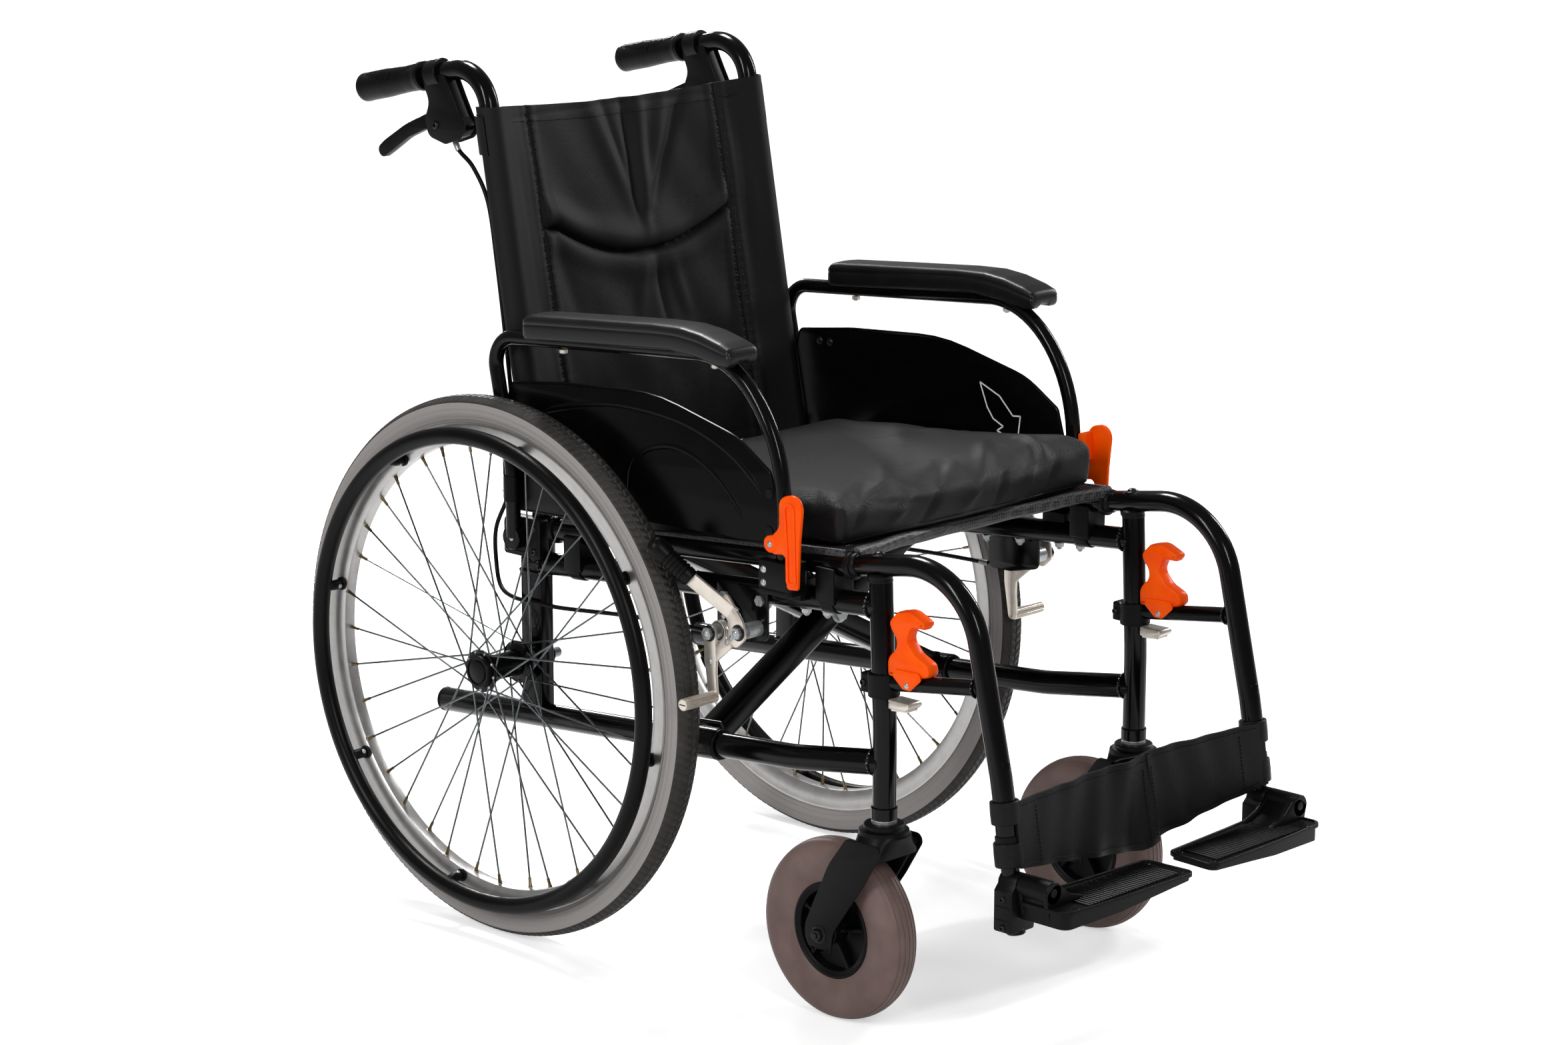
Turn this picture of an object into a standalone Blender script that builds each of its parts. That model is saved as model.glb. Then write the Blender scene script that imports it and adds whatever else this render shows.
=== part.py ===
"""Folding wheelchair with a cross brace, made of separate named parts.

Metres, +Z up, front towards -Y, the user's right hand on the -X side. Stations (y) count from the rear
axle and heights (z) from the floor. Widths (x) count outwards from the middle, and a side sign of -1 or
+1 gives the right or the left part. At the end everything is carried by one empty, which puts the origin
under the middle of the chair.
"""
from math import asin, atan2, cos, pi, radians, sin, sqrt, tan

import bmesh
import bpy
from mathutils import Matrix, Vector

MODEL = "folding_wheelchair"
RIGHT, LEFT = -1, 1
SIDES = ((RIGHT, "right"), (LEFT, "left"))

# Gaps between pieces
GAP = 0.0003
RUN = 0.0003
WELD = 0.00001

# Rear wheels
TYRE_RADIUS = 0.305
TYRE_TUBE = 0.0175
TREAD_HALF = 0.0085
TYRE_SEAT = 0.013
RIM_WIDTH = 0.025
RIM_DEPTH = 0.0237
WHEEL_STEPS = 36
WHEEL_X = 0.2623
HUB_RADIUS = 0.015
HUB_SIDES = 9
FLANGE_RADIUS = 0.024
FLANGE_THICK = 0.003
FLANGE_SPREAD = 0.055
CAP_RADIUS = 0.0185
AXLE_RADIUS = 0.006
NUT_RADIUS = 0.0115
NUT_LENGTH = 0.0099
AXLE_TAIL = 0.0135
SPOKE_RADIUS = 0.0009
SPOKES = 36
SPOKE_CROSS = radians(60)
RIM_STAGGER = 0.003
HAND_RIM_INSET = 0.0423
HAND_RIM_TUBE = 0.0095
HAND_RIM_OUT = 0.0329
HAND_RIM_SIDES = 6
HAND_RIM_STEPS = 26
STANDOFFS = 8
STANDOFF_RADIUS = 0.006
STANDOFF_PHASE = radians(30)

# Castors
CASTOR_RADIUS = 0.0979
CASTOR_HALF = 0.0212
CASTOR_BORE = 0.0523
CASTOR_STEPS = 24
CASTOR_TRAIL = 0.0606
CORE_THICK = 0.030
CORE_RING = 0.009
CORE_HUB = 0.014
CORE_HUB_LENGTH = 0.045
CORE_SPOKES = 5
CORE_SPOKE_WIDTH = 0.009
CORE_PHASE = radians(97)
CASTOR_PIN = 0.005
CASTOR_PIN_HEAD = 0.0075
FORK_SIDE_GAP = 0.0043
FORK_ARM = 0.007
FORK_CROWN_GAP = 0.004
FORK_CROWN = 0.0192
STEM_RADIUS = 0.006
STEM_LENGTH = 0.045
COLLAR_RADIUS = 0.0215
COLLAR_HEIGHT = 0.0078
COLLAR_NECK = 0.0135

# Side frames
FRAME_X = 0.2045
SLOPE = radians(4.5)
LOWER_RADIUS = 0.0135
UPPER_RADIUS = 0.0125
SEAT_RADIUS = 0.0125
POST_RADIUS = 0.0125
LOWER_Z = 0.2382
UPPER_ABOVE_LOWER = 0.1749
SEAT_ABOVE_UPPER = 0.0395
LOWER_REAR = 0.150
LOWER_BEND = -0.398
LOWER_RISE = 0.0105
STEM_Y = -0.5235
POST_SETBACK = 0.0072
POST_STRAIGHT = 0.0918
POST_ABOVE_UPPER = 0.0279
REAR_POST_Y = -0.0025
REAR_POST_DEPTH = 0.033
REAR_POST_WIDTH = 0.020
SEAT_RAIL_FRONT = -0.479
SEAT_RAIL_REAR = -0.038
SADDLE_STATIONS = (-0.452, -0.075)
SADDLE_LENGTH = 0.026
SADDLE_WALL = 0.0025
SADDLE_WRAP = 0.003

# Cross brace
CROSS_STATION = -0.2475
BRACE_WIDTH = 0.026
BRACE_DEPTH = 0.030
BRACE_CLEAR = 0.001
SLEEVE_WALL = 0.0040
SLEEVE_LENGTH = 0.050
CROSS_BOLT = 0.006
CROSS_BOLT_HEAD = 0.011
CROSS_BOLT_HEAD_THICK = 0.006

# Back canes, push handles and their brakes
CANE_X = 0.2022
CANE_RADIUS = 0.011
CANE_Y = -0.0095
CANE_RECLINE = radians(10.3)
CANE_ABOVE_UPPER = 0.0087
CANE_STRAIGHT = 0.0682
CANE_BEND_RADIUS = 0.12
CANE_SOCKET_DEPTH = 0.0442
CANE_SOCKET_WALL = 0.0031
HANDLE_HEIGHT = 0.5360
HANDLE_BEND = 0.045
HANDLE_DROOP = radians(12)
GRIP_START = 0.0965
GRIP_LENGTH = 0.107
GRIP_RADIUS = 0.016
CLAMP_START = 0.066
CLAMP_LENGTH = 0.020
CLAMP_WALL = 0.005
PERCH_WIDTH = 0.020
LEVER_AHEAD = 0.0059
LEVER_DROP = 0.0560
LEVER_PIN = 0.003
LEVER_WIDTH = 0.012
CABLE_RADIUS = 0.0025

# Armrests
ARM_X = 0.2325
ARM_RADIUS = 0.00825
ARM_PIVOT_Y = 0.004
ARM_PIVOT_RISE = 0.0319
ARM_HEIGHT = 0.2222
ARM_FRONT = -0.407
ARM_BEND_REACH = 0.119
ARM_BEND_DROP = 0.1272
ARM_BEND_STEPS = 5
ARM_FOOT_RISE = 0.0229
ARM_FOOT_DEEP = 0.016
SOCKET_DEPTH = 0.020
SOCKET_HALF = 0.023
ARM_FOOT_PLAY = 0.0022
ARM_PIVOT_BARREL = 0.0135
ARM_BARREL_SETBACK = 0.0035
ARM_PIN = 0.004
PAD_X = 0.2405
PAD_HALF = 0.0225
PAD_THICK = 0.0235
PAD_REAR = -0.045
PAD_SHORT_OF_ARM = 0.050
PAD_NOSE_LENGTH = 0.057
PANEL_X = 0.2300
PANEL_THICK = 0.0026
PANEL_SLEEVE_WALL = 0.0020
PANEL_ABOVE_PIVOT = 0.0315
PANEL_REAR = 0.0247
ARM_LATCH_BACK = 0.006
ARM_LATCH_RISE = 0.040
ARM_LATCH_THICK = 0.005

# Footrests
HANGER_RADIUS = 0.0116
HANGER_OVERHANG = 0.0303
HANGER_ABOVE_POST = 0.0098
HANGER_REACH = 0.1152
HANGER_RISE = 0.0225
KNEE_REACH = 0.0520
KNEE_DROP = 0.2220
HANGER_BEND = 0.085
HANGER_RAKE = radians(7.7)
HANGER_FOOT_DROP = 0.0525
HANGER_PIN = 0.006
HANGER_PIN_DEPTH = 0.030
COLLAR_DROP = 0.1222
COLLAR_LENGTH = 0.025
CROSSBAR_RADIUS = 0.0085
CROSSBAR_START = 0.0087
CROSSBAR_RISE = 0.0156
CROSSBAR_LENGTH = 0.1265
CROSSBAR_CLIMB = 0.0181
LATCH_ALONG = 0.030
LATCH_CHEEK = 0.003
LATCH_SWING = radians(18)
LATCH_PIN = 0.0033
EXTENSION_RADIUS = 0.0095
EXTENSION_BELOW = 0.0902
EXTENSION_INSIDE = 0.082
EXTENSION_SPARE = 0.011
PLATE_PIVOT_ABOVE = 0.0507
PLATE_PIVOT_RADIUS = 0.012
PLATE_PIN = 0.0045
PLATE_BELOW_PIVOT = 0.0135
PLATE_THICK = 0.020
PLATE_INNER = 0.0245
PLATE_LENGTH = 0.061
BLOCK_LENGTH = 0.024
BLOCK_AHEAD = 0.0157
SLEEVE_RUN = 0.040
STRAP_THICK = 0.003
STRAP_BELOW_KNEE = 0.0095
STRAP_WIDTH = 0.0665
STRAP_LAP = 0.030
STRAP_SAG = 0.016

# Wheel locks
LOCK_PLATE_X = 0.2189
LOCK_PLATE_THICK = 0.0032
LOCK_ARM_X = 0.2425
LOCK_LEVER_X = 0.2480
LOCK_PLATE_GAUGE = 0.0036
LOCK_ROLLER_CLEAR = 0.0117
LOCK_ROLLER_BELOW = 0.0861
LOCK_PIVOT_AHEAD = 0.0422
LOCK_PIVOT_RISE = 0.078
LOCK_SHOE_BACK = 0.0058
LOCK_SHOE_RISE = 0.068
LOCK_LINK_BACK = 0.0048
LOCK_LINK_RISE = 0.037
LOCK_BEND_CLEAR = 0.0318
LOCK_BEND_RISE = 0.051
LOCK_TIP_CLEAR = 0.0189
LOCK_TIP_RISE = 0.0865
LOCK_ROLLER_RADIUS = 0.0065
LOCK_ROLLER_OUT = 0.2905
LOCK_PIN = 0.0038
LOCK_BOSS = 0.0085
LOCK_GRIP_RADIUS = 0.0118

# Upholstery
SEAT_CLOTH = 0.003
SLING_HALF = 0.2085
SLING_REST = 0.2015
SLING_FRONT = -0.481
SLING_CURVE = 0.036
SLING_REAR = -0.046
SLING_SAG = 0.0165
CUSHION_HALF = 0.2035
CUSHION_FRONT = -0.459
CUSHION_REAR = -0.050
CUSHION_THICK = 0.050
CUSHION_CROWN = 0.007
CUSHION_TUCK = 0.005
CUSHION_EDGE = 0.006
BACK_ABOVE_BEND = 0.010
BACK_BELOW_HANDLE = 0.0448
BACK_SAG = 0.026
BACK_CREASE_DEPTH = 0.006
BACK_PLEAT = 0.090

# Places worked out from the sizes
AXLE_Z = TYRE_RADIUS * cos(pi / WHEEL_STEPS)
HAND_RIM_RADIUS = TYRE_RADIUS - HAND_RIM_INSET
CASTOR_Y = STEM_Y + CASTOR_TRAIL
CASTOR_Z = CASTOR_RADIUS * cos(pi / CASTOR_STEPS)
UPPER_Z = LOWER_Z + UPPER_ABOVE_LOWER
SEAT_Z = UPPER_Z + SEAT_ABOVE_UPPER
POST_TOP_Y = STEM_Y + POST_SETBACK
POST_TOP_Z = UPPER_Z - STEM_Y * tan(SLOPE) + POST_ABOVE_UPPER
POST_BEND_Z = LOWER_Z + POST_STRAIGHT
POST_LEAN = POST_SETBACK / (POST_TOP_Z - POST_BEND_Z)
CANE_FOOT_Z = UPPER_Z + CANE_ABOVE_UPPER
CANE_BEND_Z = CANE_FOOT_Z + CANE_STRAIGHT
CANE_SOCKET_TOP = CANE_FOOT_Z + CANE_SOCKET_DEPTH
HANDLE_CORNER_Z = CANE_FOOT_Z + HANDLE_HEIGHT
ARM_PIVOT = (ARM_PIVOT_Y, UPPER_Z + ARM_PIVOT_RISE)
ARM_TOP = ARM_PIVOT[1] + ARM_HEIGHT
ARM_CORNER = ARM_FRONT + ARM_BEND_REACH
ARM_CORNER_LOW = ARM_TOP - ARM_BEND_DROP
ARM_FOOT = UPPER_Z - ARM_FRONT * tan(SLOPE) + ARM_FOOT_RISE
SOCKET_TOP = ARM_FOOT + SOCKET_DEPTH
PAD_FRONT = ARM_FRONT + PAD_SHORT_OF_ARM
PAD_NOSE = PAD_FRONT + PAD_NOSE_LENGTH
PANEL_FOOT = ARM_PIVOT[1] + PANEL_ABOVE_PIVOT
ARM_LATCH_PIN = (ARM_FRONT + ARM_LATCH_BACK, ARM_FOOT + ARM_LATCH_RISE)
HANGER_START = POST_TOP_Y + HANGER_OVERHANG
HANGER_START_Z = POST_TOP_Z + HANGER_ABOVE_POST
HANGER_TOP_FRONT = (POST_TOP_Y - HANGER_REACH, HANGER_START_Z + HANGER_RISE)
HANGER_KNEE = (HANGER_TOP_FRONT[0] - KNEE_REACH, HANGER_TOP_FRONT[1] - KNEE_DROP)
HANGER_FOOT_Z = HANGER_KNEE[1] - HANGER_FOOT_DROP
COLLAR_LOW = POST_TOP_Z - COLLAR_DROP
COLLAR_HIGH = COLLAR_LOW + COLLAR_LENGTH
CROSSBAR_REAR = (STEM_Y - CROSSBAR_START, COLLAR_LOW + CROSSBAR_RISE)
CROSSBAR_FRONT = (CROSSBAR_REAR[0] - CROSSBAR_LENGTH, CROSSBAR_REAR[1] + CROSSBAR_CLIMB)
LATCH_STATION = CROSSBAR_REAR[0] - LATCH_ALONG
EXTENSION_FOOT_Z = HANGER_FOOT_Z - EXTENSION_BELOW
EXTENSION_HEAD_Z = HANGER_FOOT_Z + EXTENSION_INSIDE
EXTENSION_BORE_Z = EXTENSION_HEAD_Z + EXTENSION_SPARE
PLATE_PIVOT_Z = EXTENSION_FOOT_Z + PLATE_PIVOT_ABOVE
PLATE_TOP = PLATE_PIVOT_Z - PLATE_BELOW_PIVOT
BLOCK_FRONT = HANGER_KNEE[0] - (HANGER_KNEE[1] - PLATE_PIVOT_Z) * tan(HANGER_RAKE) - BLOCK_AHEAD
BLOCK_REAR = BLOCK_FRONT + BLOCK_LENGTH
SLEEVE_FRONT = BLOCK_FRONT - SLEEVE_RUN
PLATE_FRONT = BLOCK_FRONT - PLATE_LENGTH
STRAP_TOP = HANGER_KNEE[1] - STRAP_BELOW_KNEE
STRAP_FOOT = STRAP_TOP - STRAP_WIDTH
BACK_FOOT = CANE_BEND_Z + BACK_ABOVE_BEND
BACK_HEAD = HANDLE_CORNER_Z - BACK_BELOW_HANDLE
ORIGIN_Y = (PLATE_FRONT + AXLE_Z) / 2
FOLD_AXIS = Vector((0, -cos(SLOPE), sin(SLOPE)))
LIFT = Vector((0, sin(SLOPE), cos(SLOPE)))
ACROSS = Vector((1, 0, 0))
RAIL_LIFT = (SEAT_Z - LOWER_Z) * cos(SLOPE)


def clear_scene():
    """Start from an empty file."""
    for item in list(bpy.data.objects):
        bpy.data.objects.remove(item, do_unlink=True)
    for group in list(bpy.data.collections):
        bpy.data.collections.remove(group)


def new_collection(name):
    group = bpy.data.collections.new(name)
    bpy.context.scene.collection.children.link(group)
    return group


clear_scene()
PARTS = new_collection(MODEL)
CUTTERS = new_collection("cutters")
CHAIR = bpy.data.objects.new("chair_origin", None)
PARTS.objects.link(CHAIR)
CHAIR.location = (0, -ORIGIN_Y, 0)


def material(name, colour, roughness, metallic=0.0):
    """A plain surface for one kind of part."""
    finish = bpy.data.materials.new(name)
    finish.use_nodes = True
    shader = finish.node_tree.nodes["Principled BSDF"]
    shader.inputs["Base Color"].default_value = (*colour, 1)
    shader.inputs["Roughness"].default_value = roughness
    shader.inputs["Metallic"].default_value = metallic
    return finish


BLACK_PAINT = material("black_powder_coat", (0.012, 0.012, 0.013), 0.28)
BLACK_PLASTIC = material("black_moulded_plastic", (0.016, 0.016, 0.017), 0.45)
BLACK_RUBBER = material("black_rubber", (0.018, 0.018, 0.018), 0.6)
TYRE_GREY = material("grey_tyre_rubber", (0.075, 0.066, 0.06), 0.75)
CASTOR_GREY = material("taupe_castor_rubber", (0.16, 0.125, 0.115), 0.55)
SILVER_RIM = material("silver_rim", (0.58, 0.58, 0.58), 0.35, 0.6)
ZINC = material("zinc_plate", (0.62, 0.62, 0.60), 0.3, 1.0)
NICKEL = material("nickel_plate", (0.66, 0.62, 0.57), 0.25, 1.0)
ORANGE = material("orange_moulded_plastic", (0.92, 0.13, 0.006), 0.35)
PAD_SKIN = material("black_pad_skin", (0.014, 0.014, 0.015), 0.4)
CLOTH = material("black_seat_cloth", (0.010, 0.010, 0.011), 0.85)
WEBBING = material("black_webbing", (0.011, 0.011, 0.012), 0.8)


def mesh_piece(name, bm):
    """A working object from a bmesh, with its faces pointing out."""
    bmesh.ops.recalc_face_normals(bm, faces=bm.faces)
    mesh = bpy.data.meshes.new(name)
    bm.to_mesh(mesh)
    bm.free()
    item = bpy.data.objects.new(name, mesh)
    CUTTERS.objects.link(item)
    item.hide_render = True
    item.display_type = "WIRE"
    return item


def baked(item):
    """The object with its modifiers or its bevel turned into a closed mesh."""
    bpy.context.view_layer.update()
    depsgraph = bpy.context.evaluated_depsgraph_get()
    mesh = bpy.data.meshes.new_from_object(item.evaluated_get(depsgraph))
    mesh.transform(item.matrix_world)
    bm = bmesh.new()
    bm.from_mesh(mesh)
    bmesh.ops.remove_doubles(bm, verts=bm.verts, dist=WELD)
    bmesh.ops.dissolve_degenerate(bm, edges=bm.edges, dist=WELD)
    bpy.data.meshes.remove(mesh)
    name = item.name
    bpy.data.objects.remove(item, do_unlink=True)
    return mesh_piece(name, bm)


def side_point(s, x, y, z):
    return Vector((s * x, y, z))


def bent(corners, steps=5):
    """Corner points (place, radius) as a path whose corners are round."""
    path = []
    for i, (place, radius) in enumerate(corners):
        if radius == 0 or i in (0, len(corners) - 1):
            path.append(Vector(place))
            continue
        path.extend(round_corner(corners[i - 1][0], place, corners[i + 1][0], radius, steps))
    return path


def round_corner(before, corner, after, radius, steps):
    """Points along the arc that replaces one corner."""
    corner = Vector(corner)
    back = (Vector(before) - corner).normalized()
    ahead = (Vector(after) - corner).normalized()
    turn = pi - back.angle(ahead)
    if turn < 0.001:
        return [corner]
    reach = radius * tan(turn / 2)
    centre = corner + (back + ahead).normalized() * (radius / cos(turn / 2))
    start = corner + back * reach - centre
    spin = back.cross(ahead).normalized() if len(back) == 3 else None
    points = []
    for k in range(steps + 1):
        angle = turn * k / steps
        if spin:
            points.append(centre + Matrix.Rotation(-angle, 3, spin) @ start)
        else:
            sense = -1 if back.x * ahead.y - back.y * ahead.x > 0 else 1
            points.append(centre + Matrix.Rotation(sense * angle, 2) @ start)
    return points


def tube(path, radius, name="tube", roundness=3):
    """A round bar along a path, its ends closed."""
    curve = bpy.data.curves.new(name, "CURVE")
    curve.dimensions = "3D"
    curve.bevel_depth = radius
    curve.bevel_resolution = roundness
    curve.use_fill_caps = True
    spline = curve.splines.new("POLY")
    spline.points.add(len(path) - 1)
    for point, place in zip(spline.points, path):
        point.co = (*place, 1)
    item = bpy.data.objects.new(name, curve)
    CUTTERS.objects.link(item)
    return baked(item)


def plate(outlines, thickness, frame, name="plate"):
    """A flat outline, with any holes, of one thickness; frame places its own XY plane."""
    curve = bpy.data.curves.new(name, "CURVE")
    curve.dimensions = "2D"
    curve.fill_mode = "BOTH"
    curve.extrude = thickness / 2
    for outline in outlines:
        spline = curve.splines.new("POLY")
        spline.points.add(len(outline) - 1)
        for point, place in zip(spline.points, outline):
            point.co = (place[0], place[1], 0, 1)
        spline.use_cyclic_u = True
    item = bpy.data.objects.new(name, curve)
    item.matrix_world = frame
    CUTTERS.objects.link(item)
    return baked(item)


def frame_of(x_axis, y_axis, place):
    """The matrix that lays a flat outline on two axes at a place."""
    z_axis = Vector(x_axis).cross(Vector(y_axis))
    turn = Matrix((x_axis, y_axis, z_axis)).transposed().to_4x4()
    return Matrix.Translation(place) @ turn


def side_plate(outlines, thickness, x, name="plate"):
    """A plate seen from the side: outline in (y, z), thickness along x."""
    return plate(outlines, thickness, frame_of((0, 1, 0), (0, 0, 1), (x, 0, 0)), name)


def floor_plate(outlines, thickness, z, name="plate"):
    """A plate seen from above: outline in (x, y), thickness along z."""
    return plate(outlines, thickness, frame_of((1, 0, 0), (0, 1, 0), (0, 0, z)), name)


def soft_outline(corners, steps=1):
    """A closed outline from (u, v, radius) corners."""
    points = []
    count = len(corners)
    for i, (u, v, radius) in enumerate(corners):
        before = corners[i - 1][:2]
        after = corners[(i + 1) % count][:2]
        if radius == 0:
            points.append(Vector((u, v)))
        else:
            points.extend(round_corner(before, (u, v), after, radius, steps))
    return points


def ring_outline(centre, radius, steps, phase=0.0):
    return [
        Vector((centre[0] + radius * cos(phase + 2 * pi * k / steps),
                centre[1] + radius * sin(phase + 2 * pi * k / steps)))
        for k in range(steps)
    ]


def rod(start, end, radius, steps=16, name="rod", tip=None):
    """A round bar between two points; a tip radius makes it a cone."""
    start, end = Vector(start), Vector(end)
    bm = bmesh.new()
    bmesh.ops.create_cone(bm, cap_ends=True, segments=steps, radius1=radius,
                          radius2=radius if tip is None else tip, depth=(end - start).length)
    turn = Vector((0, 0, 1)).rotation_difference(end - start).to_matrix().to_4x4()
    bmesh.ops.transform(bm, matrix=Matrix.Translation((start + end) / 2) @ turn, verts=bm.verts)
    return mesh_piece(name, bm)


def bore(start, end, radius, steps=12):
    """A cutter whose flats clear a pin of the given radius plus its running gap."""
    return rod(start, end, (radius + RUN) / cos(pi / steps), steps, "bore")


def block(low, high, edge=0.0, name="block"):
    """A box between two corners, its edges rounded if an edge size is given."""
    low, high = Vector(low), Vector(high)
    lows = Vector(map(min, low, high))
    highs = Vector(map(max, low, high))
    bm = bmesh.new()
    bmesh.ops.create_cube(bm, size=1)
    bmesh.ops.scale(bm, vec=highs - lows, verts=bm.verts)
    bmesh.ops.translate(bm, vec=(lows + highs) / 2, verts=bm.verts)
    if edge:
        bmesh.ops.bevel(bm, geom=bm.edges, offset=edge, segments=1, affect="EDGES")
    return mesh_piece(name, bm)


def turned(profile, centre, axis, steps, name="turned", closed=False, spin=0.0):
    """A lathe shape: (radius, height) points, heights along the axis from the centre."""
    bm = bmesh.new()
    verts = [bm.verts.new((radius, 0, height)) for radius, height in profile]
    for first, second in zip(verts, verts[1:]):
        bm.edges.new((first, second))
    if closed:
        bm.edges.new((verts[-1], verts[0]))
    mesh = bpy.data.meshes.new(name)
    bm.to_mesh(mesh)
    bm.free()
    item = bpy.data.objects.new(name, mesh)
    CUTTERS.objects.link(item)
    screw = item.modifiers.new("turn", "SCREW")
    screw.steps = steps
    screw.render_steps = steps
    screw.use_merge_vertices = True
    screw.merge_threshold = WELD
    turn = Vector((0, 0, 1)).rotation_difference(Vector(axis)).to_matrix().to_4x4()
    item.matrix_world = Matrix.Translation(centre) @ turn @ Matrix.Rotation(spin, 4, "Z")
    return baked(item)


def combine(base, other, operation):
    tool = base.modifiers.new(operation.lower(), "BOOLEAN")
    tool.operation = operation
    tool.solver = "EXACT"
    tool.object = other
    result = baked(base)
    bpy.data.objects.remove(other, do_unlink=True)
    return result


def fused(base, *others):
    for other in others:
        base = combine(base, other, "UNION")
    return base


def cut(base, *cutters):
    for cutter in cutters:
        base = combine(base, cutter, "DIFFERENCE")
    return base


def gathered(items, name):
    """Several separate solids as one object."""
    bm = bmesh.new()
    for item in items:
        bm.from_mesh(item.data)
        bpy.data.objects.remove(item, do_unlink=True)
    return mesh_piece(name, bm)


def part(item, name, finish, pivot=(0, 0, 0)):
    """Name a finished piece, move its origin to its joint and hang it on the chair."""
    pivot = Vector(pivot)
    item.name = name
    item.data.name = name
    item.data.transform(Matrix.Translation(-pivot))
    item.data.materials.clear()
    item.data.materials.append(finish)
    item.data.shade_smooth()
    item.data.set_sharp_from_angle(angle=radians(35))
    CUTTERS.objects.unlink(item)
    PARTS.objects.link(item)
    item.hide_render = False
    item.display_type = "TEXTURED"
    item.parent = CHAIR
    item.location = pivot
    return item


def rail_z(base, y):
    """Height of a sloping rail at a station, from its height at the axle's station."""
    return base - y * tan(SLOPE)


def post_y(z):
    """Station of the front post's axis at a height."""
    return STEM_Y + max(0.0, z - POST_BEND_Z) * POST_LEAN


def cane_y(z):
    """Station of the reclined cane's axis at a height."""
    return CANE_Y + max(0.0, z - CANE_BEND_Z) * tan(CANE_RECLINE)


def hanger_y(z):
    """Station of the hanger's lower leg, below its knee."""
    return HANGER_KNEE[0] - (HANGER_KNEE[1] - z) * tan(HANGER_RAKE)


def arm_z(y):
    """Height of the armrest tube's axis at a station."""
    return ARM_TOP - y * tan(SLOPE)


def tyre_front(z, clear):
    """Station in front of the rear tyre at a height, with a clearance to its tread."""
    return -sqrt((TYRE_RADIUS + clear) ** 2 - (z - AXLE_Z) ** 2)


def lock_point(ahead, rise):
    """A point (y, z) of the wheel lock, from the place of its roller."""
    z = UPPER_Z - LOCK_ROLLER_BELOW
    return (tyre_front(z, LOCK_ROLLER_CLEAR) - ahead, z + rise)


LOCK_ROLLER = lock_point(0, 0)
LOCK_PIVOT = lock_point(LOCK_PIVOT_AHEAD, LOCK_PIVOT_RISE)
LOCK_SHOE_PIVOT = lock_point(-LOCK_SHOE_BACK, LOCK_SHOE_RISE)
LOCK_LINK = lock_point(-LOCK_LINK_BACK, LOCK_LINK_RISE)
LEVER_PLACE = CLAMP_START + CLAMP_LENGTH / 2
LEVER_PIVOT = (cane_y(HANDLE_CORNER_Z) + LEVER_PLACE * cos(HANDLE_DROOP) - LEVER_AHEAD,
               HANDLE_CORNER_Z - LEVER_PLACE * sin(HANDLE_DROOP) - LEVER_DROP)


# Rear wheels


def rear_tyre(s, word):
    centre = TYRE_RADIUS - TYRE_TUBE
    seat = centre - TYRE_SEAT
    seat_half = sqrt(TYRE_TUBE ** 2 - TYRE_SEAT ** 2)
    half = [(seat, seat_half), (centre, TYRE_TUBE), (TYRE_RADIUS, TREAD_HALF)]
    profile = half + [(radius, -height) for radius, height in reversed(half)]
    tyre = turned(profile, side_point(s, WHEEL_X, 0, AXLE_Z), ACROSS, WHEEL_STEPS, closed=True,
                  spin=pi / WHEEL_STEPS)
    part(tyre, word + "_rear_tyre", TYRE_GREY, wheel_centre(s))


def wheel_centre(s):
    return side_point(s, WHEEL_X, 0, AXLE_Z)


def rim_outer():
    return TYRE_RADIUS - TYRE_TUBE - TYRE_SEAT - GAP


def rim_inner():
    return rim_outer() - RIM_DEPTH


def rear_rim(s, word):
    half = RIM_WIDTH / 2
    side = [(rim_outer(), half), (rim_inner(), half * 0.56)]
    profile = side + [(radius, -height) for radius, height in reversed(side)]
    rim = turned(profile, wheel_centre(s), ACROSS, WHEEL_STEPS, closed=True, spin=pi / WHEEL_STEPS)
    part(rim, word + "_rear_rim", SILVER_RIM, wheel_centre(s))


FLANGE_INNER = WHEEL_X - 0.0303
FLANGE_OUTER = FLANGE_INNER + FLANGE_SPREAD
HUB_END = FLANGE_INNER - 0.0058
HUB_CAP = FLANGE_OUTER + 0.0069
HUB_BORE_END = FLANGE_OUTER - 0.0038


def rear_hub(s, word):
    """The hub with both flanges, its cap and its spokes, bored from the inner end."""
    flange = FLANGE_THICK / 2
    bore_radius = (AXLE_RADIUS + RUN) / cos(pi / HUB_SIDES)
    profile = [
        (0, HUB_CAP),
        (CAP_RADIUS - 0.001, HUB_CAP),
        (CAP_RADIUS, FLANGE_OUTER + flange),
        (FLANGE_RADIUS, FLANGE_OUTER + flange),
        (FLANGE_RADIUS, FLANGE_OUTER - flange),
        (HUB_RADIUS, FLANGE_OUTER - flange),
        (HUB_RADIUS, FLANGE_INNER + flange),
        (FLANGE_RADIUS, FLANGE_INNER + flange),
        (FLANGE_RADIUS, FLANGE_INNER - flange),
        (HUB_RADIUS, FLANGE_INNER - flange),
        (HUB_RADIUS, HUB_END),
        (bore_radius, HUB_END),
        (bore_radius, HUB_BORE_END),
        (0, HUB_BORE_END),
    ]
    hub = turned(profile, (0, 0, AXLE_Z), ACROSS * s, HUB_SIDES)
    part(fused(hub, spokes(s)), word + "_rear_hub", ZINC, wheel_centre(s))


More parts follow.
